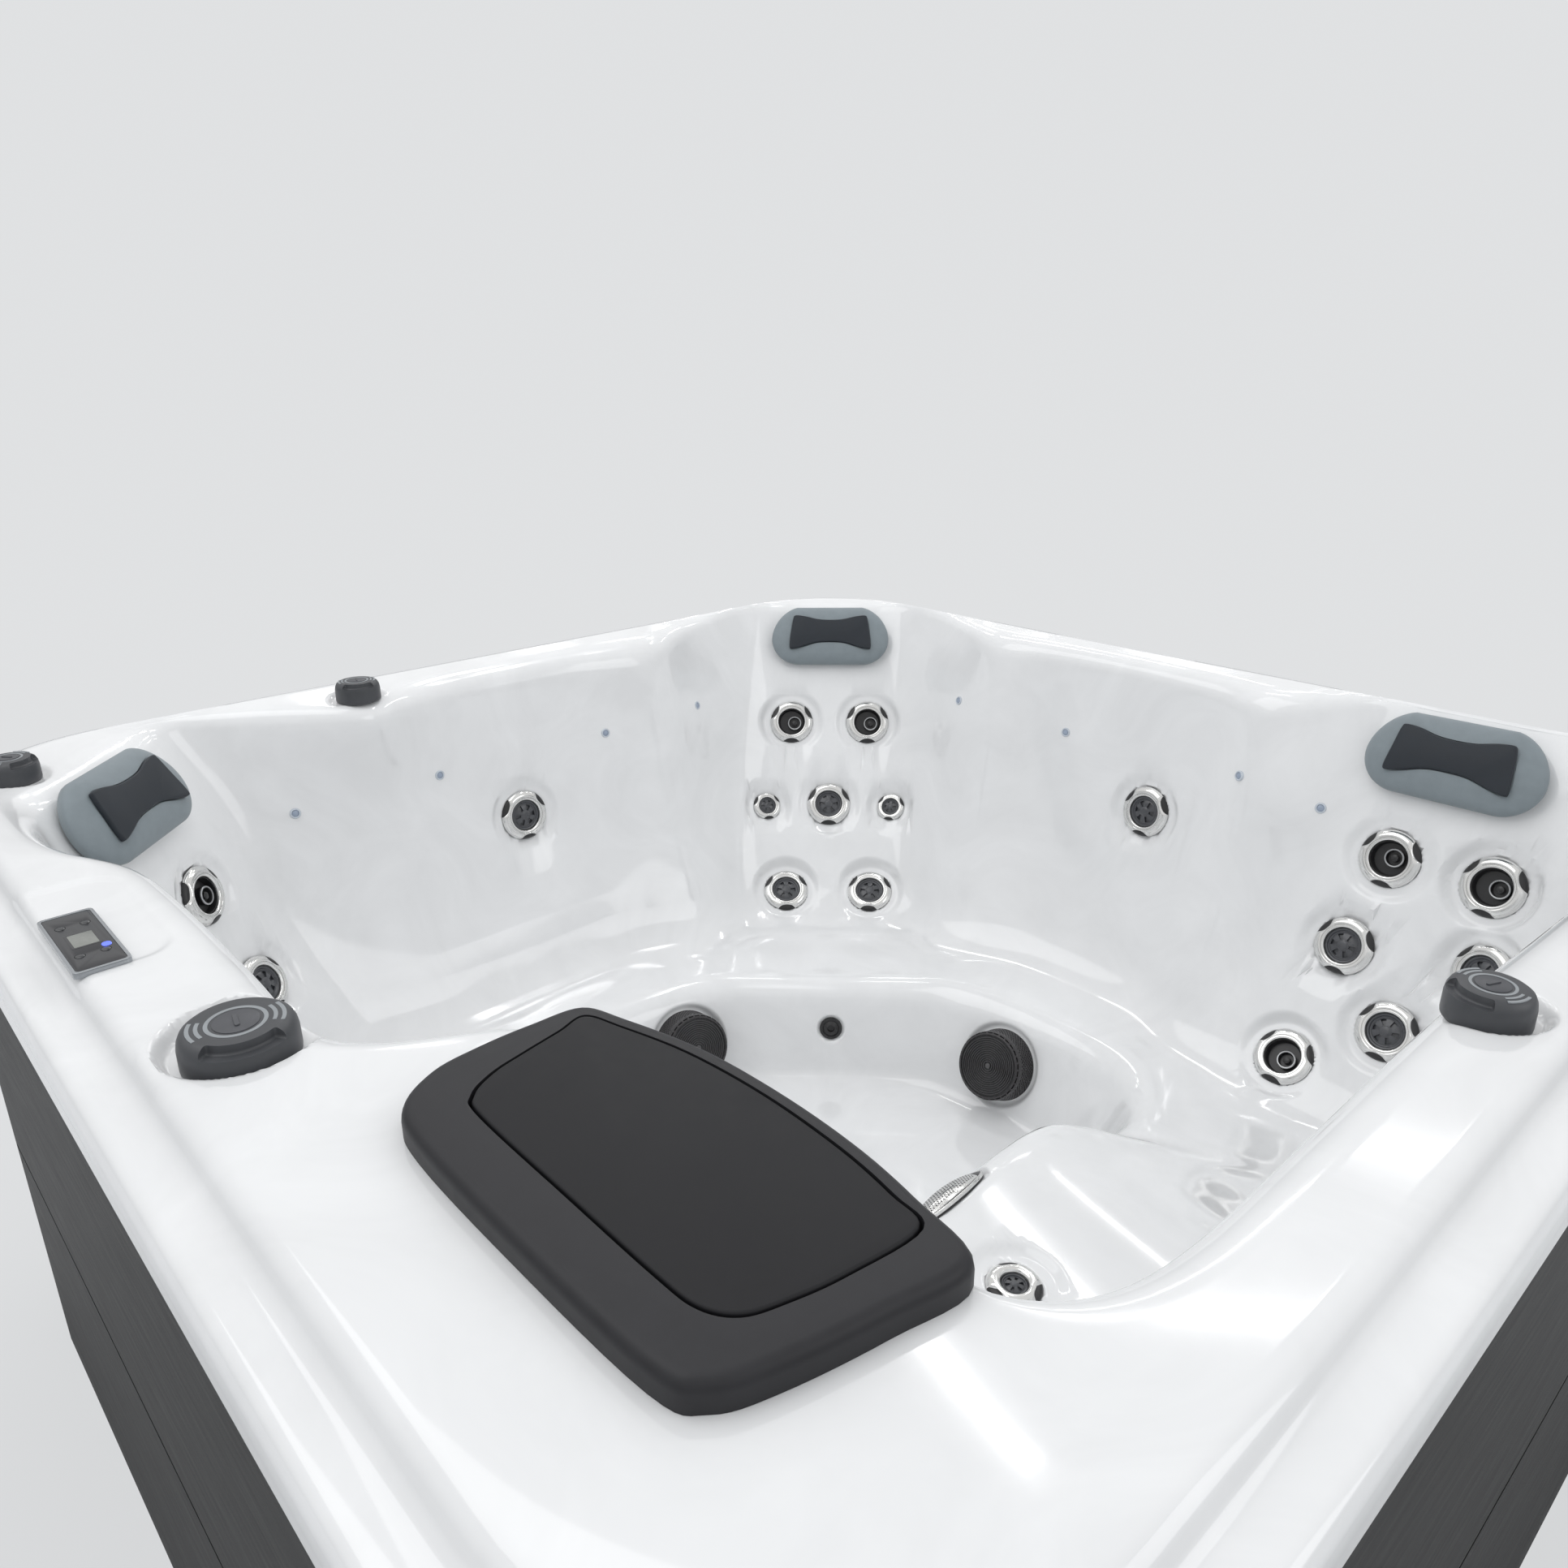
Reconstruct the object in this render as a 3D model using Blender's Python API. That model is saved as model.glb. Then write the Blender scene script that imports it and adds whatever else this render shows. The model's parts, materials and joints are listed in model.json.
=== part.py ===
"""A square hot tub: a moulded acrylic shell with corner seats and a lounge, on a framed cabinet.

The tub stands on z = 0 with its centre on the Z axis. The front, with the control panel, faces -Y.
All lengths are in metres.
"""

import math

import bmesh
import bpy
import numpy as np
from mathutils import Matrix, Vector

# Driving sizes of the tub
HALF_WIDTH = 1.0
RIM_HEIGHT = 0.9
CORNER_RADIUS = 0.30
CLEARANCE = 0.0003
RUNNING_GAP = 0.001
OVERRUN = 0.05

# Sizes of the moulded shell
LIP_DEPTH = 0.07
LIP_WALL = 0.009
SHELL_WALL = 0.018
LEDGE_WIDTH = 0.042
LEDGE_DROP = 0.022
STEP_RUN = 0.014
BACK_HOLLOW = 0.028
LIP_ROUND = 0.016
RIM_ROUND = 0.045
BLOCK_ROUND = 0.014
BLOCK_HEADING = -52.0
BLOCK_HALF_SPAN = 14.0
BLOCK_FADE = 9.0
SHOULDER_ROUND = 0.06
LUMBAR_ROUND = 0.10
SEAT_ROUND = 0.11
SEAT_EDGE_ROUND = 0.045
FOOTWELL_ROUND = 0.03
LUMBAR_SHARE = 0.5
MOST_TRIM_SHARE = 0.45
SECTORS = 72
CURVE_STEPS = 10
# Neighbouring fittings are cut in different groups, so that no two cutters of a group touch.
CUTTER_GROUPS = 3

# The ridge lines of the basin, seen from above and counter-clockwise from the right side. Each point
# holds its x and y as shares of the half width and its height as a share of the rim's height.
INNER_EDGE_SHARES = (
    (0.834, -0.30, 0.988), (0.834, -0.02, 0.988), (0.848, 0.25, 0.988), (0.862, 0.55, 0.988),
    (0.850, 0.76, 0.988), (0.790, 0.885, 0.986), (0.712, 0.934, 0.984), (0.620, 0.934, 0.984),
    (0.550, 0.934, 0.984), (0.480, 0.934, 0.984), (0.395, 0.934, 0.984), (0.320, 0.89, 0.984), (0.245, 0.852, 0.984), (0.140, 0.868, 0.984),
    (-0.10, 0.880, 0.984), (-0.28, 0.872, 0.984), (-0.37, 0.862, 0.984), (-0.48, 0.905, 0.984),
    (-0.61, 0.935, 0.984), (-0.720, 0.928, 0.984), (-0.776, 0.872, 0.984), (-0.824, 0.824, 0.984),
    (-0.872, 0.776, 0.984), (-0.928, 0.720, 0.984),
    (-0.935, 0.61, 0.984), (-0.905, 0.46, 0.984), (-0.845, 0.32, 0.984), (-0.862, 0.12, 0.984),
    (-0.860, -0.12, 0.984), (-0.840, -0.22, 0.982), (-0.795, -0.32, 0.975), (-0.84, -0.42, 0.982),
    (-0.89, -0.51, 0.984), (-0.930, -0.626, 0.984), (-0.885, -0.6695, 0.984), (-0.84, -0.713, 0.984),
    (-0.7825, -0.7686, 0.984), (-0.7249, -0.8242, 0.984),
    (-0.66, -0.872, 0.986), (-0.52, -0.885, 0.994), (-0.41, -0.862, 1.0), (-0.33, -0.818, 1.0),
    (-0.20, -0.807, 1.0), (0.0, -0.806, 1.0), (0.12, -0.81, 1.0), (0.19, -0.80, 1.0),
    (0.24, -0.76, 1.0), (0.30, -0.68, 1.0), (0.37, -0.632, 1.0), (0.50, -0.606, 1.0),
    (0.64, -0.608, 1.0), (0.765, -0.63, 1.0), (0.824, -0.565, 0.994), (0.834, -0.45, 0.988),
)
SHOULDER_SHARES = (
    (0.818, -0.20, 0.778), (0.824, 0.20, 0.778), (0.834, 0.56, 0.778), (0.80, 0.76, 0.80),
    (0.70, 0.855, 0.82), (0.62, 0.855, 0.82), (0.55, 0.855, 0.82), (0.48, 0.855, 0.82),
    (0.40, 0.855, 0.82), (0.31, 0.82, 0.81),
    (0.245, 0.805, 0.80), (0.13, 0.845, 0.785), (-0.10, 0.855, 0.778), (-0.27, 0.838, 0.79),
    (-0.345, 0.818, 0.81), (-0.46, 0.848, 0.83), (-0.58, 0.882, 0.84), (-0.665, 0.869, 0.844),
    (-0.721, 0.813, 0.844), (-0.767, 0.767, 0.844), (-0.813, 0.721, 0.844), (-0.869, 0.665, 0.844), (-0.882, 0.57, 0.84), (-0.85, 0.44, 0.82),
    (-0.805, 0.32, 0.80), (-0.83, 0.12, 0.785), (-0.835, -0.12, 0.778), (-0.83, -0.30, 0.778),
    (-0.845, -0.43, 0.79), (-0.8697, -0.5638, 0.82), (-0.8248, -0.6072, 0.82), (-0.7798, -0.6506, 0.82),
    (-0.7223, -0.7062, 0.82), (-0.6647, -0.7618, 0.82), (-0.59, -0.812, 0.80), (-0.50, -0.838, 0.78), (-0.40, -0.825, 0.778), (-0.25, -0.80, 0.778),
    (0.0, -0.797, 0.778), (0.13, -0.79, 0.778), (0.22, -0.74, 0.778), (0.29, -0.66, 0.778),
    (0.37, -0.615, 0.778), (0.50, -0.60, 0.778), (0.64, -0.60, 0.778), (0.75, -0.605, 0.778),
    (0.806, -0.53, 0.778), (0.816, -0.40, 0.778),
)
SEAT_BACK_SHARES = (
    (0.74, -0.20, 0.445), (0.74, 0.10, 0.42), (0.73, 0.35, 0.31), (0.70, 0.52, 0.284),
    (0.60, 0.615, 0.284), (0.46, 0.62, 0.29), (0.33, 0.635, 0.305), (0.23, 0.655, 0.315),
    (0.10, 0.70, 0.315), (-0.10, 0.70, 0.315), (-0.23, 0.665, 0.305), (-0.32, 0.65, 0.295),
    (-0.42, 0.655, 0.286), (-0.545, 0.545, 0.284), (-0.655, 0.42, 0.286), (-0.65, 0.32, 0.295),
    (-0.665, 0.23, 0.305), (-0.70, 0.10, 0.315), (-0.70, -0.10, 0.315), (-0.69, -0.30, 0.315),
    (-0.68, -0.43, 0.305), (-0.62, -0.56, 0.29), (-0.54, -0.64, 0.29), (-0.42, -0.69, 0.305),
    (-0.25, -0.70, 0.315), (0.0, -0.70, 0.315), (0.12, -0.68, 0.32), (0.22, -0.62, 0.335),
    (0.33, -0.57, 0.355), (0.50, -0.55, 0.38), (0.64, -0.545, 0.40), (0.71, -0.48, 0.42),
    (0.735, -0.36, 0.435),
)
SEAT_FRONT_SHARES = (
    (0.340, -0.20, 0.478), (0.330, 0.0, 0.482), (0.325, 0.11, 0.467), (0.32, 0.20, 0.41),
    (0.32, 0.29, 0.335), (0.312, 0.40, 0.302), (0.275, 0.485, 0.298), (0.18, 0.53, 0.298),
    (0.04, 0.538, 0.298), (-0.08, 0.525, 0.298), (-0.17, 0.495, 0.298), (-0.235, 0.445, 0.298),
    (-0.34, 0.34, 0.298), (-0.445, 0.235, 0.298), (-0.495, 0.17, 0.298), (-0.525, 0.08, 0.298),
    (-0.535, -0.04, 0.298), (-0.525, -0.16, 0.298), (-0.485, -0.27, 0.298), (-0.40, -0.36, 0.298),
    (-0.28, -0.43, 0.30), (-0.12, -0.47, 0.305), (0.06, -0.485, 0.31), (0.20, -0.48, 0.335),
    (0.29, -0.44, 0.40), (0.338, -0.36, 0.46),
)
FOOTWELL_SHARES = (
    (0.285, -0.2, 0.09), (0.28, 0.05, 0.09), (0.27, 0.2, 0.09), (0.256, 0.331, 0.09),
    (0.209, 0.417, 0.09), (0.103, 0.455, 0.09), (-0.041, 0.45, 0.09), (-0.145, 0.434, 0.09),
    (-0.207, 0.398, 0.09), (-0.306, 0.306, 0.09), (-0.398, 0.207, 0.09), (-0.434, 0.145, 0.09),
    (-0.45, 0.041, 0.09), (-0.455, -0.103, 0.09), (-0.419, -0.204, 0.09), (-0.331, -0.291, 0.09),
    (-0.2, -0.36, 0.09), (-0.05, -0.4, 0.09), (0.12, -0.41, 0.09), (0.23, -0.385, 0.09),
    (0.275, -0.31, 0.09),
)

# Hydrotherapy jets
JET_SIDES = 12
JET_FLANGE_RADIUS = 0.049
JET_RECESS_RADIUS = 0.0665
JET_RECESS_DEPTH = 0.008
JET_BARREL_RADIUS = 0.037
JET_BARREL_LENGTH = 0.045
JET_EDGE = 0.005
JET_CROWN = 0.010
JET_BOWL_RADIUS = 0.032
JET_BOWL_DEPTH = 0.008
JET_NOZZLE_RADIUS = 0.013
JET_NOZZLE_TOP = 0.002
JET_SCALLOP = 0.006
SMALL_JET_SHARE = 0.64
CALF_JET_SHARE = 0.70

# Each jet's name, its heading about the tub's centre in degrees and its height as a share of the rim's
JET_PLACE_SHARES = (
    ("far_jet_top_left", 139.9, 0.719),
    ("far_jet_top_right", 130.1, 0.719),
    ("far_jet_middle", 135.0, 0.533),
    ("far_jet_low_left", 141.6, 0.357),
    ("far_jet_low_right", 128.4, 0.357),
    ("back_left_jet", 182.2, 0.663),
    ("back_right_jet", 87.6, 0.681),
    ("lounge_jet_top_left", 59.3, 0.736),
    ("lounge_jet_top_right", 52.1, 0.736),
    ("lounge_jet_middle_left", 58.9, 0.568),
    ("lounge_jet_middle_right", 48.8, 0.602),
    ("lounge_jet_low_left", 56.4, 0.368),
    ("lounge_jet_low_right", 51.3, 0.463),
    ("left_jet_top_left", 231.0, 0.722),
    ("left_jet_top_right", 221.0, 0.722),
    ("left_jet_low_left", 233.0, 0.52),
    ("left_jet_low_right", 219.0, 0.528),
)
SMALL_JET_PLACE_SHARES = (
    ("far_jet_small_left", 143.6, 0.53),
    ("far_jet_small_right", 126.4, 0.53),
)
CALF_JET_HEADING = -19.0
CALF_JET_REACH = 0.527

# Footwell fittings
SUCTION_SIDES = 20
SUCTION_RADIUS = 0.068
SUCTION_HEIGHT = 0.055
SUCTION_TAPER = 0.004
SUCTION_EDGE = 0.006
SUCTION_FOOTPRINT = 0.03
SUCTION_SPIGOT_RADIUS = 0.028
SUCTION_SPIGOT_LENGTH = 0.05
SUCTION_RECESS_DEPTH = 0.006
SUCTION_RECESS_MARGIN = 0.008
SUCTION_PLACE_SHARES = (("suction_cover_left", 168.8, 0.187), ("suction_cover_right", 92.0, 0.187))
RETURN_RADIUS = 0.0225
RETURN_HEADING = 133.8
RETURN_HEIGHT_SHARE = 0.199
FOOT_JET_HEADING = -19.5
FOOT_JET_RECESS_DEPTH = 0.010
FOOT_JET_LENGTH = 0.16
FOOT_JET_WIDTH = 0.058
FOOT_JET_CROWN = 0.022
FOOT_JET_EDGE = 0.006
FOOT_JET_SPIGOT_RADIUS = 0.018
FOOT_JET_STEPS = 5

# Head pillows and their inserts
PILLOW_LENGTH = 0.271
PILLOW_HEIGHT = 0.145
PILLOW_THICKNESS = 0.046
PILLOW_SIDE = 0.020
PILLOW_CORNER_SHARE = 0.42
PILLOW_ARCH_SHARE = 0.16
PILLOW_STEPS = 40
PILLOW_RINGS = 5
PILLOW_MIDDLE_SHARE = 0.916
PILLOW_SPAN_SHARE = 0.4
PILLOW_CLEARANCE = 0.0005
INSERT_HALF_WIDTH_TOP = 0.086
INSERT_HALF_WIDTH_BOTTOM = 0.094
INSERT_HALF_HEIGHT = 0.043
INSERT_WAIST = 0.017
INSERT_THICKNESS = 0.009
INSERT_PROUD = 0.003
# Each pillow's name and the heading of its middle
PILLOW_HEADINGS = (("far", 135.0), ("lounge", 58.9), ("left", 225.0))

# Knobs
KNOB_SIDES = 24
KNOB_HEIGHT = 0.036
KNOB_EDGE = 0.004
KNOB_GRIP = 0.006
KNOB_DISH_DEPTH = 0.016
KNOB_DISH_MARGIN = 0.004
KNOB_STEM_RADIUS = 0.012
KNOB_STEM_LENGTH = 0.05
LARGE_KNOB_RADIUS = 0.050
SMALL_KNOB_RADIUS = 0.038
KNOB_PLACE_SHARES = (
    ("front_diverter_knob", 0.160, -0.872, LARGE_KNOB_RADIUS),
    ("right_diverter_knob", 0.876, -0.018, SMALL_KNOB_RADIUS),
    ("back_air_knob", -0.855, -0.318, SMALL_KNOB_RADIUS),
    ("left_air_knob", -0.795, -0.862, SMALL_KNOB_RADIUS),
)

# Control panel and its keys
PANEL_LENGTH = 0.152
PANEL_WIDTH = 0.053
PANEL_THICKNESS = 0.006
PANEL_CHAMFER = 0.003
PANEL_PLACE_SHARES = (-0.136, -0.9235)
KEY_RADIUS = 0.0065
KEY_HEIGHT = 0.004
KEY_PROUD = 0.0015
KEY_TRAVEL = 0.001
KEY_SPOT_SHARES = (
    ("key_jets", 0.25, 0.22),
    ("key_light", 0.25, -0.22),
    ("key_warmer", -0.27, 0.22),
    ("key_cooler", -0.27, -0.22),
)

# Skimmer: surround, lid, filter bucket, cartridge and weir flap
SURROUND_SHARES = (
    (0.338, -0.690), (0.338, -0.740), (0.345, -0.785), (0.372, -0.822), (0.420, -0.834), (0.555, -0.836),
    (0.700, -0.832), (0.735, -0.815), (0.752, -0.775), (0.768, -0.700), (0.775, -0.630), (0.710, -0.611),
    (0.640, -0.600), (0.555, -0.597), (0.470, -0.603), (0.390, -0.622), (0.345, -0.640),
)
LID_SHARES = (
    (0.370, -0.680), (0.378, -0.720), (0.386, -0.752), (0.402, -0.778), (0.430, -0.787), (0.555, -0.788),
    (0.690, -0.787), (0.708, -0.782), (0.722, -0.760), (0.731, -0.700), (0.735, -0.636), (0.700, -0.625),
    (0.640, -0.616), (0.555, -0.613), (0.470, -0.620), (0.400, -0.637), (0.364, -0.650),
)
SURROUND_HEIGHT = 0.024
SURROUND_ROUND = 0.006
LID_SEAT = 0.010
LID_SEAT_WIDTH = 0.006
LID_THICKNESS = 0.018
LID_ROUND = 0.003
LID_GAP = 0.0015
LID_LIFT = 0.12
BUCKET_CENTRE_SHARES = (0.56, -0.70)
BUCKET_SIDES = 28
BUCKET_RADIUS_SHARE = 0.075
BUCKET_RADIUS = BUCKET_RADIUS_SHARE * HALF_WIDTH
BUCKET_WALL = 0.003
BUCKET_FLANGE = 0.0035
BUCKET_FLANGE_THICKNESS = 0.004
BUCKET_DEPTH = 0.55
BUCKET_FLOOR = 0.006
BUCKET_OUTLET_RADIUS = 0.022
BUCKET_OUTLET_LENGTH = 0.04
WEIR_WIDTH = 0.130
WEIR_LOW_DROP = 0.215
WEIR_HIGH_DROP = 0.110
WEIR_MOUTH = 0.003
FLAP_THICKNESS = 0.005
FLAP_BACK_SET = 0.013
FLAP_SIDE_GAP = 0.0005
CARTRIDGE_RADIUS_SHARE = 0.064
CARTRIDGE_RADIUS = CARTRIDGE_RADIUS_SHARE * HALF_WIDTH
CARTRIDGE_PLEAT = 0.008
CARTRIDGE_PLEATS = 22
CARTRIDGE_BORE = 0.02
CARTRIDGE_HEIGHT = 0.29

# Cabinet, base and frame
CABINET_INSET = 0.02
CABINET_WALL = 0.018
CABINET_GROOVE = 0.006
CABINET_GROOVE_DEPTH = 0.004
CABINET_BAND_SHARE = 0.42
BASE_THICKNESS = 0.03
CORNER_STEPS = 10
FRAME_BAR = 0.04
FRAME_RAIL_HALF = 0.30
FRAME_POST_SPOT = 0.25
FRAME_CORNER_CUT = 0.42
FRAME_HEADROOM = 0.005
FLOOR_BLOCK_HALF = 0.20

# Pump, heater and pipes under the front bench
PUMP_PLACE_SHARES = (-0.17, -0.835)
PUMP_SIDES = 18
PUMP_MOTOR_RADIUS = 0.068
PUMP_MOTOR_LENGTH = 0.20
PUMP_HEAD_RADIUS = 0.078
PUMP_HEAD_LENGTH = 0.07
PUMP_PORT_RADIUS = 0.024
PUMP_PORT_LENGTH = 0.035
PUMP_FOOT_LENGTH = 0.16
PUMP_FOOT_WIDTH = 0.10
PUMP_FOOT_THICKNESS = 0.012
PACK_LENGTH = 0.32
PACK_WIDTH = 0.11
PACK_HEIGHT = 0.16
PACK_PLACE_SHARES = (0.24, -0.84)
HEATER_RADIUS = 0.030
PIPE_RADIUS = 0.024
PIPE_STEPS = 5

# Colours of the materials, linear
WHITE_ACRYLIC = (0.86, 0.87, 0.87)
CABINET_GREY = (0.085, 0.083, 0.080)
BLACK_PLASTIC = (0.012, 0.012, 0.013)
LID_CHARCOAL = (0.040, 0.040, 0.043)
PILLOW_BLUE = (0.165, 0.215, 0.245)
INSERT_SLATE = (0.028, 0.035, 0.043)
BRIGHT_METAL = (0.62, 0.60, 0.56)
KNOB_GREY = (0.035, 0.036, 0.040)
FILTER_WHITE = (0.78, 0.80, 0.82)
FRAME_WOOD = (0.42, 0.30, 0.17)


def clear_scene():
    """Removes every object that the file starts with."""
    for obj in list(bpy.data.objects):
        bpy.data.objects.remove(obj, do_unlink=True)


def finish(name, colour, roughness, metallic=0.0):
    """Returns a plain Principled material."""
    material = bpy.data.materials.new(name)
    material.use_nodes = True
    shader = material.node_tree.nodes["Principled BSDF"]
    shader.inputs["Base Color"].default_value = (*colour, 1.0)
    shader.inputs["Roughness"].default_value = roughness
    shader.inputs["Metallic"].default_value = metallic
    return material


def add_object(name, vertices, faces, material=None, matrix=None):
    """Makes an object from points and faces, with its origin where the matrix puts it."""
    mesh = bpy.data.meshes.new(name)
    mesh.from_pydata([tuple(v) for v in vertices], [], [tuple(f) for f in faces])
    mesh.validate()
    obj = bpy.data.objects.new(name, mesh)
    if material:
        mesh.materials.append(material)
    if matrix:
        obj.matrix_world = matrix
    bpy.context.scene.collection.objects.link(obj)
    return obj


def smooth(obj, angle=35.0):
    """Shades the round faces of an object smooth and keeps its sharp edges."""
    obj.data.shade_smooth()
    obj.data.set_sharp_from_angle(angle=math.radians(angle))
    return obj


def as_cutter(obj):
    """Marks an object as a cutter, which isn't part of the tub."""
    obj.hide_render = True
    obj.display_type = "WIRE"
    return obj


def combine(obj, other, operation):
    """Adds a Boolean of the other object, which becomes a hidden helper."""
    modifier = obj.modifiers.new(operation.title(), "BOOLEAN")
    modifier.operation = operation
    modifier.object = as_cutter(other)
    return obj


def joined_mesh(pieces):
    """Puts several (points, faces) shapes into one list of points and one of faces."""
    points, faces = [], []
    for more_points, more_faces in pieces:
        start = len(points)
        points.extend(more_points)
        faces.extend(tuple(i + start for i in face) for face in more_faces)
    return points, faces


def moved(shape, matrix):
    """The shape with its points carried by the matrix."""
    points, faces = shape
    return [matrix @ Vector(p) for p in points], faces


def block(low, high):
    """A box between two corners."""
    points = [(x, y, z) for z in (low[2], high[2]) for y in (low[1], high[1]) for x in (low[0], high[0])]
    faces = [(0, 2, 3, 1), (4, 5, 7, 6), (0, 1, 5, 4), (2, 6, 7, 3), (0, 4, 6, 2), (1, 3, 7, 5)]
    return points, faces


def lathe(profile, sides, pull=None):
    """Turns (radius, height) points about Z. pull(step, ring) gives an extra radius at a point."""
    points, rings = [], []
    for ring, (radius, height) in enumerate(profile):
        if radius == 0:
            rings.append([len(points)])
            points.append((0.0, 0.0, height))
            continue
        rings.append(list(range(len(points), len(points) + sides)))
        for step in range(sides):
            turn = 2 * math.pi * step / sides
            reach = radius + (pull(step, ring) if pull else 0.0)
            points.append((reach * math.cos(turn), reach * math.sin(turn), height))
    return points, stitched(rings)


def stitched(rings):
    """Faces between neighbouring closed rings; a ring of one point is a pole."""
    faces = []
    for low, high in zip(rings, rings[1:]):
        count = max(len(low), len(high))
        for i in range(count):
            j = (i + 1) % count
            if len(low) == 1:
                faces.append((low[0], high[j], high[i]))
            elif len(high) == 1:
                faces.append((low[i], low[j], high[0]))
            else:
                faces.append((low[i], low[j], high[j], high[i]))
    return faces


def plate(outline, low, high):
    """An upright plate over a counter-clockwise outline of (x, y) points."""
    count = len(outline)
    points = [(x, y, low) for x, y in outline] + [(x, y, high) for x, y in outline]
    faces = [tuple(reversed(range(count))), tuple(range(count, 2 * count))]
    faces += [(i, (i + 1) % count, count + (i + 1) % count, count + i) for i in range(count)]
    return points, faces


def crowned_plate(outline, low, high, rounding):
    """A plate whose upper edge is rounded by a chamfer of the given size."""
    inner = offset_outline(outline, -rounding)
    count = len(outline)
    levels = ((outline, low), (outline, high - rounding), (inner, high))
    points = [(x, y, z) for line, z in levels for x, y in line]
    faces = [tuple(reversed(range(count))), tuple(range(2 * count, 3 * count))]
    for level in range(2):
        base = level * count
        for i in range(count):
            j = (i + 1) % count
            faces.append((base + i, base + j, base + count + j, base + count + i))
    return points, faces


def offset_outline(outline, distance):
    """Moves each side of a counter-clockwise outline outwards by the distance."""
    count = len(outline)
    result = []
    for i in range(count):
        before, here, after = (Vector(outline[k % count]) for k in (i - 1, i, i + 1))
        first, second = (here - before).normalized(), (after - here).normalized()
        normal = Vector((first.y + second.y, -first.x - second.x)).normalized()
        along = normal.dot(Vector((first.y, -first.x)))
        result.append(tuple(here + normal * (distance / along)))
    return result


def sized(shares):
    """Turns (x, y) shares of the half width into metres."""
    return [(x * HALF_WIDTH, y * HALF_WIDTH) for x, y in shares]


def rounded_square(half, radius, steps=CORNER_STEPS):
    """The outline of a square with round corners."""
    outline = []
    for quarter in range(4):
        start = quarter * math.pi / 2
        sign_x, sign_y = (1, -1, -1, 1)[quarter], (1, 1, -1, -1)[quarter]
        for step in range(steps + 1):
            turn = start + math.pi / 2 * step / steps
            x = sign_x * (half - radius) + radius * math.cos(turn)
            y = sign_y * (half - radius) + radius * math.sin(turn)
            outline.append((x, y))
    return outline


# The shell's form


def closed_curve(shares):
    """A smooth closed curve through the points, in metres."""
    here = np.array(shares) * (HALF_WIDTH, HALF_WIDTH, RIM_HEIGHT)
    before, after, later = np.roll(here, 1, 0), np.roll(here, -1, 0), np.roll(here, -2, 0)
    t = (np.arange(CURVE_STEPS) / CURVE_STEPS)[None, :, None]
    a, b, c, d = (v[:, None, :] for v in (before, here, after, later))
    curve = 2 * b + (c - a) * t + (2 * a - 5 * b + 4 * c - d) * t**2 + (3 * b - a - 3 * c + d) * t**3
    return (curve / 2).reshape(-1, 3)


def ridge(shares, headings):
    """The (reach, height) of a ridge line at each heading about the tub's centre."""
    curve = closed_curve(shares)
    around = np.arctan2(curve[:, 1], curve[:, 0])
    order = np.argsort(around)
    reach = np.hypot(curve[:, 0], curve[:, 1])
    full_turn = 2 * math.pi
    return np.stack(
        [
            np.interp(headings, around[order], reach[order], period=full_turn),
            np.interp(headings, around[order], curve[order, 2], period=full_turn),
        ],
        axis=1,
    )


def square_ring(inset, height, headings):
    """The (reach, height) of the tub's rounded square, moved in by the inset."""
    half, radius = HALF_WIDTH - inset, CORNER_RADIUS - inset
    c, s = np.abs(np.cos(headings)), np.abs(np.sin(headings))
    flat = half / np.maximum(c, s)
    middle = half - radius
    along = middle * (c + s)
    arc = along + np.sqrt(np.maximum(along**2 - 2 * middle**2 + radius**2, 0))
    reach = np.where(flat * np.minimum(c, s) <= middle, flat, arc)
    return np.stack([reach, np.full(len(headings), height)], axis=1)


def section_corners(headings):
    """The corners of the shell's section at each heading, from the lip to the middle of the floor."""
    ledge = RIM_HEIGHT - LEDGE_DROP
    inner, shoulder, back, front, foot = (
        ridge(shares, headings)
        for shares in (
            INNER_EDGE_SHARES, SHOULDER_SHARES, SEAT_BACK_SHARES, SEAT_FRONT_SHARES, FOOTWELL_SHARES
        )
    )
    lumbar = shoulder + (back - shoulder) * LUMBAR_SHARE
    lumbar[:, 0] += BACK_HOLLOW
    middle = np.stack([np.zeros(len(headings)), foot[:, 1]], axis=1)
    return np.stack(
        [
            square_ring(0, RIM_HEIGHT - LIP_DEPTH, headings),
            square_ring(0, ledge, headings),
            square_ring(LEDGE_WIDTH, ledge, headings),
            square_ring(LEDGE_WIDTH + STEP_RUN, RIM_HEIGHT, headings),
            inner, shoulder, lumbar, back, front, foot, middle,
        ],
        axis=1,
    )


def rim_rounding(headings):
    """The rounding of the rim's inner edge, which is tighter along the filter's block."""
    away = np.abs((np.degrees(headings) - BLOCK_HEADING + 180) % 360 - 180)
    return BLOCK_ROUND + (RIM_ROUND - BLOCK_ROUND) * np.clip((away - BLOCK_HALF_SPAN) / BLOCK_FADE, 0, 1)


def roundings(headings):
    """The rounding of each corner of the section at each heading."""
    fixed = (
        0, LIP_ROUND, 0, 0, 0, SHOULDER_ROUND, LUMBAR_ROUND, SEAT_ROUND, SEAT_EDGE_ROUND,
        FOOTWELL_ROUND, 0,
    )
    table = np.tile(np.array(fixed, float)[:, None], len(headings))
    table[RIM_CORNER] = rim_rounding(headings)
    return table


RIM_CORNER = 4
EDGE_CORNER = 8
# How many points round each corner of the section. The hidden side leaves out the ledge's corners.
TOP_POINTS = (1, 2, 1, 1, 3, 1, 1, 3, 3, 2, 1)
UNDER_POINTS = (1, 1, 0, 0, 1, 1, 1, 3, 2, 2, 1)


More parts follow.
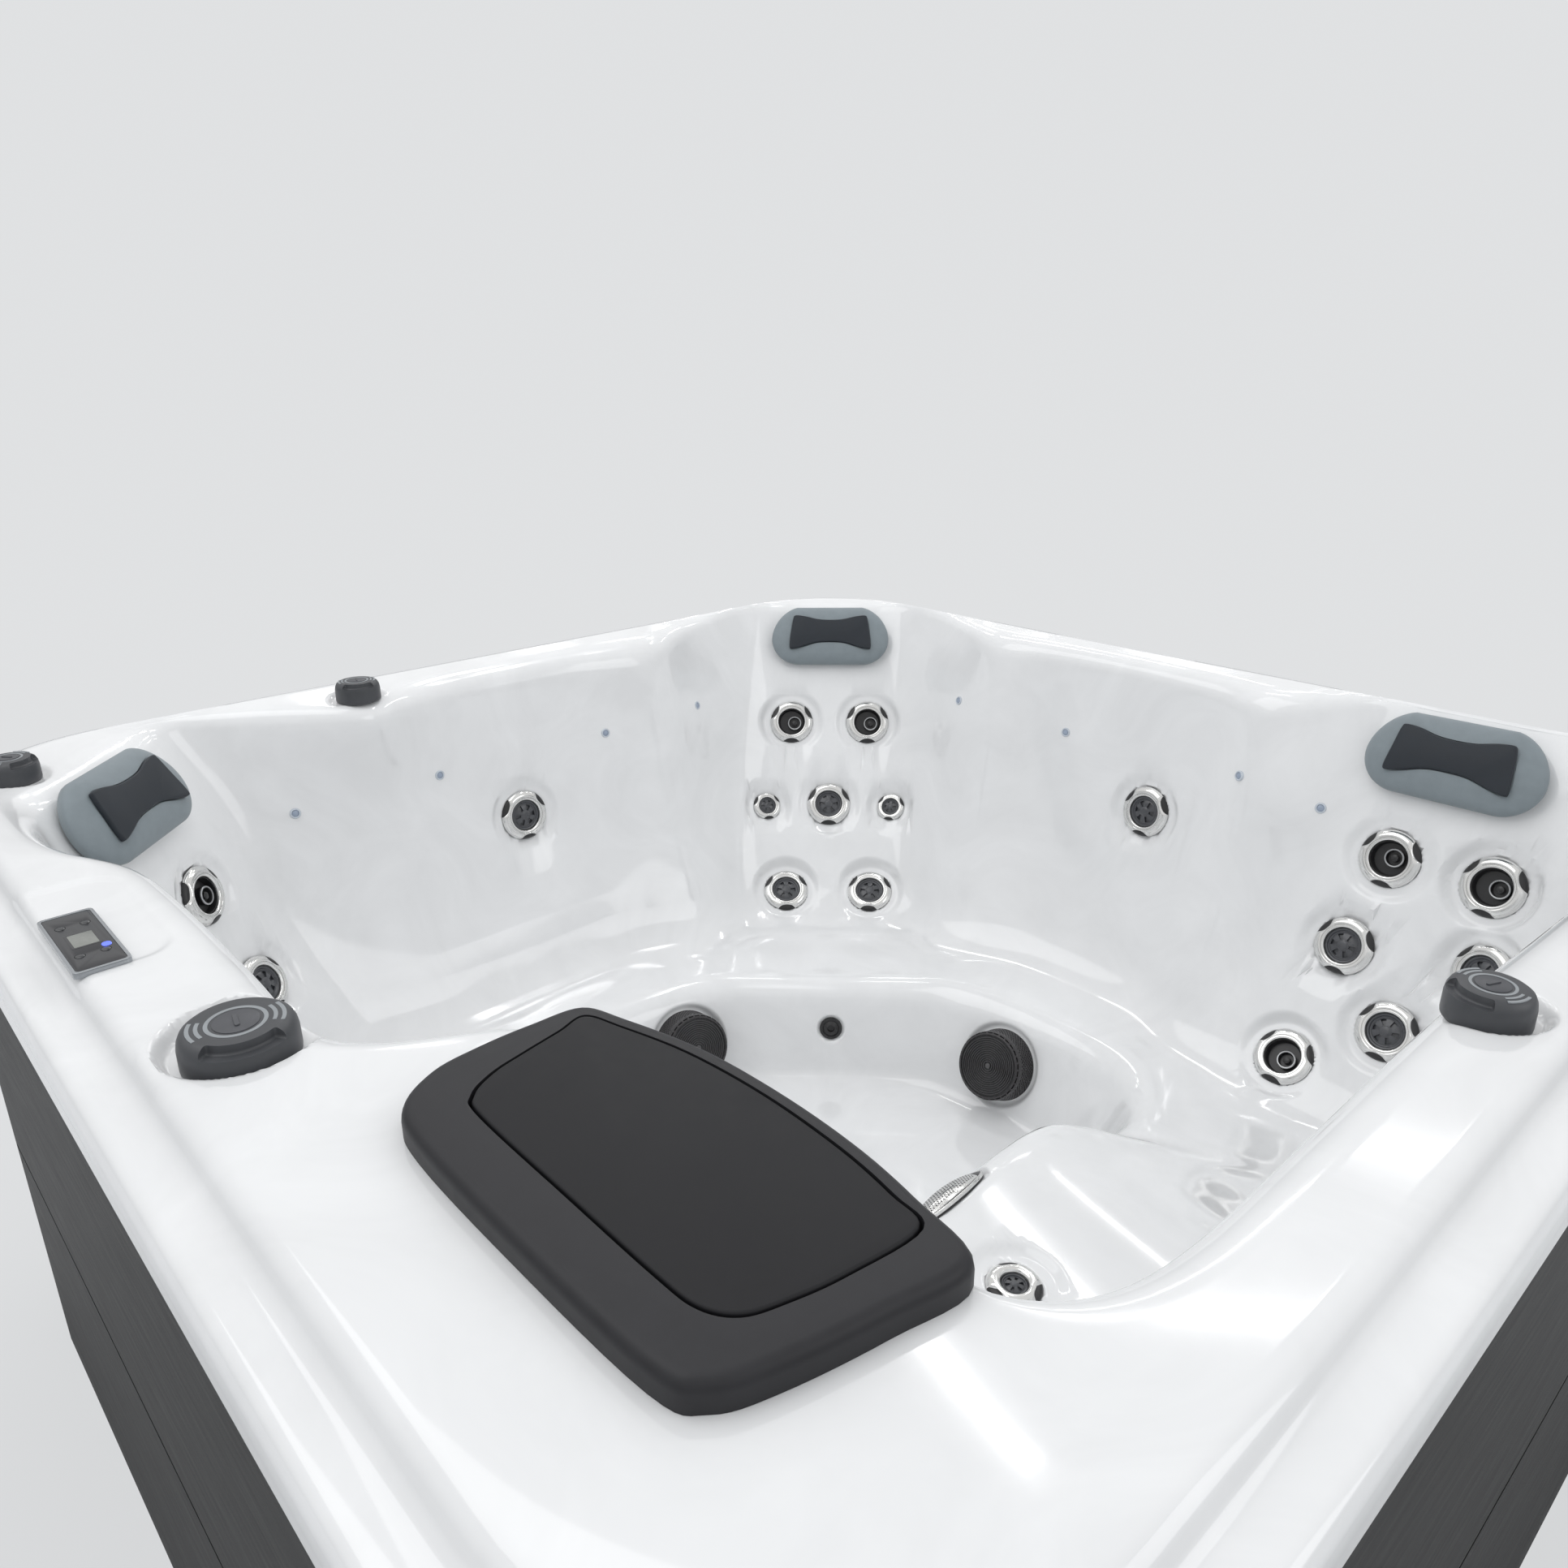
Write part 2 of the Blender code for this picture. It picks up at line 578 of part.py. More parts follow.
def rounded_section(headings, counts):
    """The section at each heading with its corners rounded, as (reach, height) points."""
    corners = section_corners(headings)
    largest = roundings(headings)
    rings = []
    for k, count in enumerate(counts):
        if count == 0:
            continue
        here = corners[:, k]
        if count == 1:
            rings.append(here)
            continue
        before, after = corners[:, k - 1] - here, corners[:, k + 1] - here
        length_before = np.linalg.norm(before, axis=1)
        length_after = np.linalg.norm(after, axis=1)
        trim = np.minimum(largest[k], MOST_TRIM_SHARE * np.minimum(length_before, length_after))
        start = here + before * (trim / length_before)[:, None]
        end = here + after * (trim / length_after)[:, None]
        for t in np.linspace(0, 1, count):
            rings.append((1 - t) ** 2 * start + 2 * t * (1 - t) * here + t**2 * end)
    return np.stack(rings, axis=1)


def thickened(section):
    """The section moved to the hidden side of the wall: less at the lip, the full wall elsewhere."""
    step = np.diff(section, axis=1)
    step /= np.linalg.norm(step, axis=2)[:, :, None]
    first = np.concatenate([step[:, :1], step], axis=1)
    last = np.concatenate([step, step[:, -1:]], axis=1)
    mean = first + last
    mean /= np.linalg.norm(mean, axis=2)[:, :, None]
    normal = np.stack([-mean[:, :, 1], mean[:, :, 0]], axis=2)
    along = (normal * np.stack([-first[:, :, 1], first[:, :, 0]], axis=2)).sum(axis=2)
    wall = np.full(section.shape[1], SHELL_WALL)
    wall[:2] = LIP_WALL
    return section + normal * (wall / along)[:, :, None]


def shell_headings():
    """The headings of the shell's sections: evenly spread, with one more at each end of a pillow."""
    headings = list(np.arange(SECTORS) * 2 * math.pi / SECTORS)
    for name, heading in PILLOW_HEADINGS:
        frame = pillow_frame(heading)
        for side in (-PILLOW_LENGTH / 2, PILLOW_LENGTH / 2):
            end = frame @ Vector((side, 0, 0))
            headings.append(math.atan2(end.y, end.x) % (2 * math.pi))
    return np.array(sorted(headings))


def shell_mesh():
    """The shell as a closed skin: the moulded face, the hidden face and the lip's lower edge."""
    headings = shell_headings()
    faces_in = rounded_section(headings, TOP_POINTS)
    faces_out = thickened(rounded_section(headings, UNDER_POINTS))
    faces_out[:, 0, 1] = faces_in[:, 0, 1]
    faces_out[:, -1, 0] = 0
    points, rings = [], []
    for section in (faces_out[:, ::-1], faces_in):
        for k in range(section.shape[1]):
            ring = section[:, k]
            if not ring[:, 0].any():
                rings.append([len(points)])
                points.append((0.0, 0.0, ring[:, 1].mean()))
                continue
            rings.append(list(range(len(points), len(points) + len(headings))))
            points.extend(zip(ring[:, 0] * np.cos(headings), ring[:, 0] * np.sin(headings), ring[:, 1]))
    return points, stitched(rings)


def basin_section(heading):
    """One section of the moulded face, from the rim's inner edge to the middle of the floor."""
    section = rounded_section(np.array([heading]), TOP_POINTS)[0]
    return section[sum(TOP_POINTS[:RIM_CORNER]) :]


def wall_point(heading, height):
    """The point of the basin's wall at a heading and a height."""
    section = basin_section(heading)
    reach = np.interp(-height, -np.minimum.accumulate(section[:, 1]), section[:, 0])
    return Vector((reach * math.cos(heading), reach * math.sin(heading), height))


def bench_point(heading, reach):
    """The point of the bench at a heading and a distance from the tub's axis."""
    section = basin_section(heading)[::-1]
    height = np.interp(reach, np.maximum.accumulate(section[:, 0]), section[:, 1])
    return Vector((reach * math.cos(heading), reach * math.sin(heading), height))


def edge_point(heading, step):
    """A point of the bench's rounded front edge: 0 is its middle, -1 its upper end and 1 its lower end."""
    section = basin_section(heading)
    reach, height = section[sum(TOP_POINTS[RIM_CORNER:EDGE_CORNER]) + TOP_POINTS[EDGE_CORNER] // 2 + step]
    return Vector((reach * math.cos(heading), reach * math.sin(heading), height))


def frame_at(point, across, along):
    """A matrix at the point: Z stands on the surface, X runs level across it."""
    normal = across.cross(along).normalized()
    level = Vector((-normal.y, normal.x, 0)).normalized()
    up = normal.cross(level)
    rotation = Matrix((level, up, normal)).transposed().to_4x4()
    return Matrix.Translation(point) @ rotation


def wall_frame(heading_degrees, height_share, footprint):
    """The frame of a fitting on the wall, square to the wall's mean plane under the fitting."""
    heading, height = math.radians(heading_degrees), height_share * RIM_HEIGHT
    point = wall_point(heading, height)
    turn = footprint / Vector(point.xy).length
    across = wall_point(heading + turn, height) - wall_point(heading - turn, height)
    along = wall_point(heading, height + footprint) - wall_point(heading, height - footprint)
    return frame_at(point, along, across)


def bench_frame(heading_degrees, reach, footprint):
    """The frame of a fitting on the bench."""
    heading = math.radians(heading_degrees)
    turn = footprint / reach
    across = bench_point(heading + turn, reach) - bench_point(heading - turn, reach)
    along = bench_point(heading, reach + footprint) - bench_point(heading, reach - footprint)
    return frame_at(bench_point(heading, reach), along, across)


# Jets and fittings in the shell


def jet_profile(scale):
    """The turned profile of a jet, from the barrel's end to the nozzle's tip."""
    heights = [
        (0, -JET_BARREL_LENGTH),
        (JET_BARREL_RADIUS, -JET_BARREL_LENGTH),
        (JET_BARREL_RADIUS, 0),
        (JET_FLANGE_RADIUS, 0),
        (JET_FLANGE_RADIUS, JET_EDGE),
        (JET_BOWL_RADIUS, JET_CROWN),
        (JET_BOWL_RADIUS, -JET_BOWL_DEPTH),
        (JET_NOZZLE_RADIUS, -JET_BOWL_DEPTH),
        (JET_NOZZLE_RADIUS, JET_NOZZLE_TOP),
        (0, JET_NOZZLE_TOP),
    ]
    return [(radius * scale, height * scale) for radius, height in heights]


def jet_seat(frame):
    """The seat of a jet: the floor of its round recess in the shell."""
    return frame @ Matrix.Translation((0, 0, -JET_RECESS_DEPTH))


def make_jet(name, frame, scale, material):
    """A jet whose bezel turns about its own axis; three scallops are cut in the bezel's edge."""

    def scallop(step, ring):
        return -JET_SCALLOP * scale if ring in (3, 4) and step % (JET_SIDES // 3) == 0 else 0.0

    seat = jet_seat(frame) @ Matrix.Translation((0, 0, CLEARANCE))
    return smooth(add_object(name, *lathe(jet_profile(scale), JET_SIDES, scallop), material, seat))


def stepped_cutter(frame, wide, wide_depth, narrow, narrow_depth, sides):
    """A round recess with a bore through its floor."""
    profile = [
        (0, -narrow_depth),
        (narrow, -narrow_depth),
        (narrow, -wide_depth),
        (wide, -wide_depth),
        (wide, OVERRUN),
        (0, OVERRUN),
    ]
    return moved(lathe(profile, sides), frame)


def jet_places():
    """Each jet's name, frame and scale."""
    places = [
        (name, wall_frame(heading, height, JET_FLANGE_RADIUS), 1.0)
        for name, heading, height in JET_PLACE_SHARES
    ]
    places += [
        (name, wall_frame(heading, height, JET_FLANGE_RADIUS * SMALL_JET_SHARE), SMALL_JET_SHARE)
        for name, heading, height in SMALL_JET_PLACE_SHARES
    ]
    calf = bench_frame(CALF_JET_HEADING, CALF_JET_REACH * HALF_WIDTH, JET_FLANGE_RADIUS * CALF_JET_SHARE)
    places.append(("calf_jet", calf, CALF_JET_SHARE))
    return places


def jet_bore(scale):
    """The corner radius of a jet's bore, whose flats clear the barrel's corners as the jet turns."""
    return (JET_BARREL_RADIUS * scale + RUNNING_GAP) / math.cos(math.pi / JET_SIDES)


def jet_cutters():
    """The recess and bore of each jet."""
    return [
        stepped_cutter(
            frame,
            JET_RECESS_RADIUS * scale,
            JET_RECESS_DEPTH,
            jet_bore(scale),
            JET_RECESS_DEPTH + JET_BARREL_LENGTH,
            JET_SIDES,
        )
        for name, frame, scale in jet_places()
    ]


def suction_places():
    """Each suction cover's name and frame."""
    return [
        (name, wall_frame(heading, height, SUCTION_FOOTPRINT))
        for name, heading, height in SUCTION_PLACE_SHARES
    ]


def make_suction_cover(name, frame, material):
    """A round drum, narrower towards its face, on a spigot that passes through the footwell's wall."""
    face = SUCTION_RADIUS - SUCTION_TAPER
    profile = [
        (0, -SUCTION_SPIGOT_LENGTH),
        (SUCTION_SPIGOT_RADIUS, -SUCTION_SPIGOT_LENGTH),
        (SUCTION_SPIGOT_RADIUS, 0),
        (SUCTION_RADIUS, 0),
        (face, SUCTION_HEIGHT - SUCTION_EDGE),
        (face - SUCTION_EDGE, SUCTION_HEIGHT),
        (0, SUCTION_HEIGHT),
    ]
    seat = frame @ Matrix.Translation((0, 0, CLEARANCE - SUCTION_RECESS_DEPTH))
    return smooth(add_object(name, *lathe(profile, SUCTION_SIDES), material, seat))


def return_frame():
    """The frame of the return fitting on the footwell's far wall."""
    return wall_frame(RETURN_HEADING, RETURN_HEIGHT_SHARE, RETURN_RADIUS)


def make_return_fitting(material):
    """A small eyeball fitting that returns heated water to the footwell."""
    bore = RETURN_RADIUS / 3
    profile = [
        (0, -SUCTION_SPIGOT_LENGTH),
        (RETURN_RADIUS / 2, -SUCTION_SPIGOT_LENGTH),
        (RETURN_RADIUS / 2, 0),
        (RETURN_RADIUS, 0),
        (RETURN_RADIUS * 5 / 6, JET_EDGE),
        (bore, JET_EDGE),
        (bore, 0),
        (0, 0),
    ]
    seat = return_frame() @ Matrix.Translation((0, 0, CLEARANCE - SUCTION_RECESS_DEPTH))
    return smooth(add_object("return_fitting", *lathe(profile, JET_SIDES), material, seat))


def foot_jet_frame():
    """The frame of the foot jet, on the rounded edge between the lounge and the footwell."""
    heading = math.radians(FOOT_JET_HEADING)
    point = edge_point(heading, 0)
    turn = FOOT_JET_WIDTH / 2 / Vector(point.xy).length
    across = edge_point(heading + turn, 0) - edge_point(heading - turn, 0)
    along = edge_point(heading, -1) - edge_point(heading, 1)
    return frame_at(point, along, across)


def stadium(length, width, steps):
    """The outline of a bar with round ends along X."""
    outline = []
    for end in (1, -1):
        for step in range(steps + 1):
            turn = math.pi * (step / steps - 1 / 2) + (0 if end > 0 else math.pi)
            x = end * (length - width) / 2 + width / 2 * math.cos(turn)
            outline.append((x, width / 2 * math.sin(turn)))
    return outline


def make_foot_jet(material):
    """A domed oval plate, with a spigot through the wall behind it."""
    outer = stadium(FOOT_JET_LENGTH, FOOT_JET_WIDTH, FOOT_JET_STEPS)
    count = len(outer)
    levels = ((1, 0), (1, FOOT_JET_EDGE), (3 / 4, FOOT_JET_CROWN * 4 / 5), (1 / 3, FOOT_JET_CROWN))
    points = [(x * share, y * share, z) for share, z in levels for x, y in outer]
    rings = [list(range(k * count, (k + 1) * count)) for k in range(len(levels))]
    faces = [tuple(reversed(rings[0])), tuple(rings[-1])] + stitched(rings)
    seat = foot_jet_frame() @ Matrix.Translation((0, 0, CLEARANCE - FOOT_JET_RECESS_DEPTH))
    plate_object = add_object("foot_jet", points, faces, material, seat)
    spigot_profile = [
        (0, -SUCTION_SPIGOT_LENGTH),
        (FOOT_JET_SPIGOT_RADIUS, -SUCTION_SPIGOT_LENGTH),
        (FOOT_JET_SPIGOT_RADIUS, FOOT_JET_EDGE / 2),
        (0, FOOT_JET_EDGE / 2),
    ]
    spigot = add_object("foot_jet_spigot", *lathe(spigot_profile, JET_SIDES), None, seat)
    return smooth(combine(plate_object, spigot, "UNION"))


def fitting_cutters():
    """The recesses and bores of the footwell's fittings."""
    depth = SUCTION_RECESS_DEPTH
    through = depth + SUCTION_SPIGOT_LENGTH
    cutters = [
        stepped_cutter(
            frame, SUCTION_RADIUS + SUCTION_RECESS_MARGIN, depth,
            SUCTION_SPIGOT_RADIUS + RUNNING_GAP, through, SUCTION_SIDES,
        )
        for name, frame in suction_places()
    ]
    cutters.append(
        stepped_cutter(
            return_frame(), RETURN_RADIUS + RUNNING_GAP, depth,
            RETURN_RADIUS / 2 + RUNNING_GAP, through, JET_SIDES,
        )
    )
    seat = stadium(FOOT_JET_LENGTH + 2 * RUNNING_GAP, FOOT_JET_WIDTH + 2 * RUNNING_GAP, FOOT_JET_STEPS)
    cutters.append(moved(plate(seat, -FOOT_JET_RECESS_DEPTH, OVERRUN), foot_jet_frame()))
    return cutters


def foot_jet_bore():
    """The bore for the foot jet's spigot."""
    radius = FOOT_JET_SPIGOT_RADIUS + RUNNING_GAP
    depth = FOOT_JET_RECESS_DEPTH + SUCTION_SPIGOT_LENGTH
    return moved(
        lathe([(0, -depth), (radius, -depth), (radius, OVERRUN), (0, OVERRUN)], JET_SIDES),
        foot_jet_frame(),
    )


# Rim fittings


def rim_matrix(x_share, y_share, height):
    """An upright frame over a point of the rim."""
    return Matrix.Translation((x_share * HALF_WIDTH, y_share * HALF_WIDTH, height))


def knob_dish_floor():
    """The height of the floor of each knob's dish."""
    return RIM_HEIGHT - KNOB_DISH_DEPTH


def make_knob(name, x_share, y_share, radius, material):
    """A knob on a stem, with finger grips in its side; it turns about the stem."""

    def grip(step, ring):
        return -KNOB_GRIP if ring in (3, 4) and step % 6 == 0 else 0.0

    profile = [
        (0, -KNOB_STEM_LENGTH),
        (KNOB_STEM_RADIUS, -KNOB_STEM_LENGTH),
        (KNOB_STEM_RADIUS, 0),
        (radius, 0),
        (radius, KNOB_HEIGHT - KNOB_EDGE),
        (radius - KNOB_EDGE, KNOB_HEIGHT),
        (0, KNOB_HEIGHT),
    ]
    seat = rim_matrix(x_share, y_share, knob_dish_floor() + CLEARANCE)
    return smooth(add_object(name, *lathe(profile, KNOB_SIDES, grip), material, seat))


def knob_cutters():
    """The round dish and the stem's hole of each knob."""
    return [
        stepped_cutter(
            rim_matrix(x_share, y_share, RIM_HEIGHT),
            radius + KNOB_DISH_MARGIN,
            KNOB_DISH_DEPTH,
            KNOB_STEM_RADIUS + RUNNING_GAP,
            KNOB_DISH_DEPTH + KNOB_STEM_LENGTH,
            KNOB_SIDES,
        )
        for name, x_share, y_share, radius in KNOB_PLACE_SHARES
    ]


def key_spots():
    """Each key's name and its place on the control panel."""
    return [(name, x * PANEL_LENGTH, y * PANEL_WIDTH) for name, x, y in KEY_SPOT_SHARES]


def make_control_panel(material):
    """A bevelled plate with a pocket for each key."""
    half_x, half_y = PANEL_LENGTH / 2, PANEL_WIDTH / 2
    outline = [(half_x, -half_y), (half_x, half_y), (-half_x, half_y), (-half_x, -half_y)]
    panel = add_object(
        "control_panel",
        *crowned_plate(outline, 0, PANEL_THICKNESS, PANEL_CHAMFER),
        material,
        rim_matrix(*PANEL_PLACE_SHARES, RIM_HEIGHT + CLEARANCE),
    )
    pocket = KEY_RADIUS + CLEARANCE
    floor = PANEL_THICKNESS + KEY_PROUD - KEY_HEIGHT - KEY_TRAVEL - CLEARANCE
    pockets = [
        moved(
            lathe([(0, floor), (pocket, floor), (pocket, OVERRUN), (0, OVERRUN)], KNOB_SIDES // 2),
            Matrix.Translation((x, y, 0)),
        )
        for name, x, y in key_spots()
    ]
    return combine(panel, add_object("key_pockets", *joined_mesh(pockets), None, panel.matrix_world), "DIFFERENCE")


def make_keys(material):
    """The round keys of the control panel; each travels down by the key travel."""
    low = PANEL_THICKNESS + KEY_PROUD - KEY_HEIGHT
    high = low + KEY_HEIGHT
    seat = rim_matrix(*PANEL_PLACE_SHARES, RIM_HEIGHT + CLEARANCE)
    for name, x, y in key_spots():
        profile = [(0, 0), (KEY_RADIUS, 0), (KEY_RADIUS, high - low), (0, high - low)]
        place = seat @ Matrix.Translation((x, y, low))
        smooth(add_object(name, *lathe(profile, KNOB_SIDES // 2), material, place))


# Skimmer


def make_surround(material):
    """The fixed dark frame on the rim that carries the filter's lid."""
    low, high = RIM_HEIGHT + CLEARANCE, RIM_HEIGHT + SURROUND_HEIGHT
    surround = add_object(
        "skimmer_surround", *crowned_plate(sized(SURROUND_SHARES), low, high, SURROUND_ROUND), material
    )
    lid = sized(LID_SHARES)
    seat = plate(offset_outline(lid, LID_GAP), RIM_HEIGHT + LID_SEAT, high + OVERRUN)
    well = plate(offset_outline(lid, -LID_SEAT_WIDTH), low - OVERRUN, high + OVERRUN)
    combine(surround, add_object("lid_seat_cutter", *seat), "DIFFERENCE")
    combine(surround, add_object("lid_well_cutter", *well), "DIFFERENCE")
    return surround


def make_lid(material):
    """The lid over the filter, which lifts straight off its seat."""
    low = RIM_HEIGHT + LID_SEAT + CLEARANCE
    shape = crowned_plate(sized(LID_SHARES), low, low + LID_THICKNESS, LID_ROUND)
    return add_object("filter_lid", *shape, material)


def bucket_centre():
    """The upright axis of the filter's bucket."""
    return Vector((*sized([BUCKET_CENTRE_SHARES])[0], 0))


def weir_heights():
    """The lower and upper edge of the weir's opening."""
    return RIM_HEIGHT - WEIR_LOW_DROP, RIM_HEIGHT - WEIR_HIGH_DROP


def weir_mouth():
    """The y at which the weir's duct opens into the basin."""
    centre = bucket_centre()
    heading = math.atan2(centre.y, centre.x)
    wall = wall_point(heading, sum(weir_heights()) / 2)
    return wall.y + WEIR_MOUTH


def weir_box(margin, start, end):
    """A box across the weir's opening, wider than the opening by the margin on each side."""
    x = bucket_centre().x
    bottom, top = weir_heights()
    low = (x - WEIR_WIDTH / 2 - margin, start, bottom - margin)
    high = (x + WEIR_WIDTH / 2 + margin, end, top + margin)
    return block(low, high)


def make_bucket(material):
    """The filter's bucket: an open cylinder with an outlet, and the weir's duct on its basin side."""
    centre = bucket_centre()
    top = RIM_HEIGHT + CLEARANCE + BUCKET_FLANGE_THICKNESS
    bottom = top - BUCKET_DEPTH
    outlet = bottom - BUCKET_OUTLET_LENGTH
    body = [
        (0, outlet),
        (BUCKET_OUTLET_RADIUS, outlet),
        (BUCKET_OUTLET_RADIUS, bottom),
        (BUCKET_RADIUS, bottom),
        (BUCKET_RADIUS, RIM_HEIGHT + CLEARANCE),
        (BUCKET_RADIUS + BUCKET_FLANGE, RIM_HEIGHT + CLEARANCE),
        (BUCKET_RADIUS + BUCKET_FLANGE, top),
        (0, top),
    ]
    bucket = add_object("filter_bucket", *lathe(body, BUCKET_SIDES), material, Matrix.Translation(centre))
    mouth = weir_mouth()
    duct = add_object("duct_body", *weir_box(BUCKET_WALL, centre.y, mouth))
    combine(bucket, duct, "UNION")
    bore = [
        (0, bottom + BUCKET_FLOOR),
        (BUCKET_RADIUS - BUCKET_WALL, bottom + BUCKET_FLOOR),
        (BUCKET_RADIUS - BUCKET_WALL, top + OVERRUN),
        (0, top + OVERRUN),
    ]
    drain_radius = BUCKET_OUTLET_RADIUS - BUCKET_WALL
    drain = [
        (0, outlet - OVERRUN),
        (drain_radius, outlet - OVERRUN),
        (drain_radius, top),
        (0, top),
    ]
    place = Matrix.Translation(centre)
    combine(bucket, add_object("bucket_bore", *lathe(bore, BUCKET_SIDES), None, place), "DIFFERENCE")
    combine(bucket, add_object("bucket_drain", *lathe(drain, JET_SIDES), None, place), "DIFFERENCE")
    combine(bucket, add_object("duct_bore", *weir_box(0, centre.y, mouth + OVERRUN)), "DIFFERENCE")
    return bucket


def make_flap(material):
    """The weir's flap, hinged along its lower edge; it tips back towards the bucket."""
    half = WEIR_WIDTH / 2 - FLAP_SIDE_GAP
    bottom, top = weir_heights()
    height = top - bottom - 3 * RUNNING_GAP
    knuckle = FLAP_THICKNESS / 2
    low = (-half, -knuckle, -knuckle)
    high = (half, knuckle, height - knuckle)
    centre = Vector((bucket_centre().x, weir_mouth() - FLAP_BACK_SET, bottom + 2 * RUNNING_GAP + knuckle))
    return add_object("weir_flap", *block(low, high), material, Matrix.Translation(centre))


def make_cartridge(material):
    """A pleated filter cartridge with an open core, standing in the bucket."""
    sides = 2 * CARTRIDGE_PLEATS
    base = RIM_HEIGHT + CLEARANCE + BUCKET_FLANGE_THICKNESS - BUCKET_DEPTH + BUCKET_FLOOR + CLEARANCE

    def pleat(step, ring):
        return -CARTRIDGE_PLEAT * (step % 2) if ring in (1, 2) else 0.0

    profile = [
        (CARTRIDGE_BORE, 0),
        (CARTRIDGE_RADIUS, 0),
        (CARTRIDGE_RADIUS, CARTRIDGE_HEIGHT),
        (CARTRIDGE_BORE, CARTRIDGE_HEIGHT),
    ]
    points, faces = lathe(profile, sides, pleat)
    last = 3 * sides
    faces += [(last + i, last + (i + 1) % sides, (i + 1) % sides, i) for i in range(sides)]
    place = Matrix.Translation(bucket_centre() + Vector((0, 0, base)))
    return add_object("filter_cartridge", points, faces, material, place)


def skimmer_cutters():
    """The well for the bucket and the window for the weir's duct."""
    centre = bucket_centre()
    radius = BUCKET_RADIUS + RUNNING_GAP
    low, high = RIM_HEIGHT - RIM_ROUND - SHELL_WALL, RIM_HEIGHT + OVERRUN
    well = moved(
        lathe([(0, low), (radius, low), (radius, high), (0, high)], BUCKET_SIDES),
        Matrix.Translation(centre),
    )
    mouth = weir_mouth()
    window = weir_box(BUCKET_WALL + RUNNING_GAP, mouth - OVERRUN, mouth + OVERRUN)
    return [well, window]


# Pillows


def pillow_outline(grow=0.0):
    """The pillow seen from the front: a flat lower side, round ends and an arched upper side."""
    half_x, half_y = PILLOW_LENGTH / 2 + grow, PILLOW_HEIGHT / 2 + grow
    radius = PILLOW_CORNER_SHARE * PILLOW_HEIGHT
    outline = []
    for step in range(PILLOW_STEPS):
        turn = 2 * math.pi * step / PILLOW_STEPS
        c, s = math.cos(turn), math.sin(turn)
        x = math.copysign(half_x - radius, c) + radius * c
        y = math.copysign(half_y - radius, s) + radius * s
        if y > 0:
            y -= PILLOW_ARCH_SHARE * PILLOW_HEIGHT * (x / half_x) ** 2
        outline.append((x, y))
    return outline


def pillow_frame(heading_degrees):
    """The frame at a pillow's back, a clearance off the wall: Z points out of the wall."""
    heading, height = math.radians(heading_degrees), PILLOW_MIDDLE_SHARE * RIM_HEIGHT
    middle = wall_point(heading, height)
    side, rise = PILLOW_LENGTH * PILLOW_SPAN_SHARE, PILLOW_HEIGHT * PILLOW_SPAN_SHARE
    turn = side / Vector(middle.xy).length
    across = wall_point(heading + turn, height) - wall_point(heading - turn, height)
    along = wall_point(heading, height + rise / 2) - wall_point(heading, height - rise)
    frame = frame_at(middle, along, across)
    out = frame.to_3x3() @ Vector((0, 0, 1))
    lift = max(buried_depth(frame @ Vector((x, y, 0)), out) for x, y in pillow_outline(-PILLOW_SIDE / 2))
    return frame @ Matrix.Translation((0, 0, lift + PILLOW_CLEARANCE))


def buried_depth(point, out):
    """How far the point lies behind the wall, along the direction that points out of it."""
    heading = math.atan2(point.y, point.x)
    reach = Vector(point.xy).length
    wall = Vector(wall_point(heading, point.z).xy).length
    inwards = -(out.x * point.x + out.y * point.y) / reach
    slope = Vector((inwards, out.z)).normalized()
    return (reach - wall) * slope.x


def make_pillow(name, frame, material):
    """A crowned head pillow with drawn-in sides and a pocket for its insert."""
    outer = pillow_outline()
    count = len(outer)
    levels = [(1 - PILLOW_SIDE / PILLOW_HEIGHT, 0.0), (1.0, PILLOW_SIDE)]
    for ring in range(1, PILLOW_RINGS):
        turn = math.pi / 2 * ring / PILLOW_RINGS
        rise = PILLOW_SIDE + (PILLOW_THICKNESS - PILLOW_SIDE) * math.sin(turn)
        levels.append((math.cos(turn) ** (2 / 3), rise))
    points = [(x * share, y * share, z) for share, z in levels for x, y in outer]
    points.append((0, 0, PILLOW_THICKNESS))
    rings = [list(range(k * count, (k + 1) * count)) for k in range(len(levels))]
    faces = [tuple(reversed(rings[0]))] + stitched(rings + [[len(points) - 1]])
    pillow = add_object(name, points, faces, material, frame)
    pocket = plate(insert_outline(CLEARANCE), pocket_floor(), PILLOW_THICKNESS + OVERRUN)
    return smooth(combine(pillow, add_object(name + "_pocket", *pocket, None, frame), "DIFFERENCE"))


def pocket_floor():
    """The height of the floor of the insert's pocket over the pillow's back."""
    return PILLOW_THICKNESS + INSERT_PROUD - INSERT_THICKNESS


def insert_outline(grow):
    """The insert's waisted outline, like a bow tie."""
    low, high, height = INSERT_HALF_WIDTH_BOTTOM + grow, INSERT_HALF_WIDTH_TOP + grow, INSERT_HALF_HEIGHT + grow
    dip = INSERT_WAIST
    right = [
        (low * 1 / 3, -height + dip * 8 / 9),
        (low * 2 / 3, -height + dip * 1 / 3),
        (low, -height),
        ((low + high) / 2, 0),
        (high, height * 5 / 6),
        (high * 2 / 3, height - dip * 1 / 2),
        (high * 1 / 3, height - dip * 8 / 9),
    ]
    left = [(-x, y) for x, y in reversed(right)]
    return [(0, -height + dip)] + right + [(0, height - dip)] + left


def make_insert(name, frame, material):
    """The darker insert in a pillow's pocket."""
    low = pocket_floor() + CLEARANCE
    shape = crowned_plate(insert_outline(-CLEARANCE), low, low + INSERT_THICKNESS, CLEARANCE * 10)
    return add_object(name, *shape, material, frame)


# Cabinet, base and frame


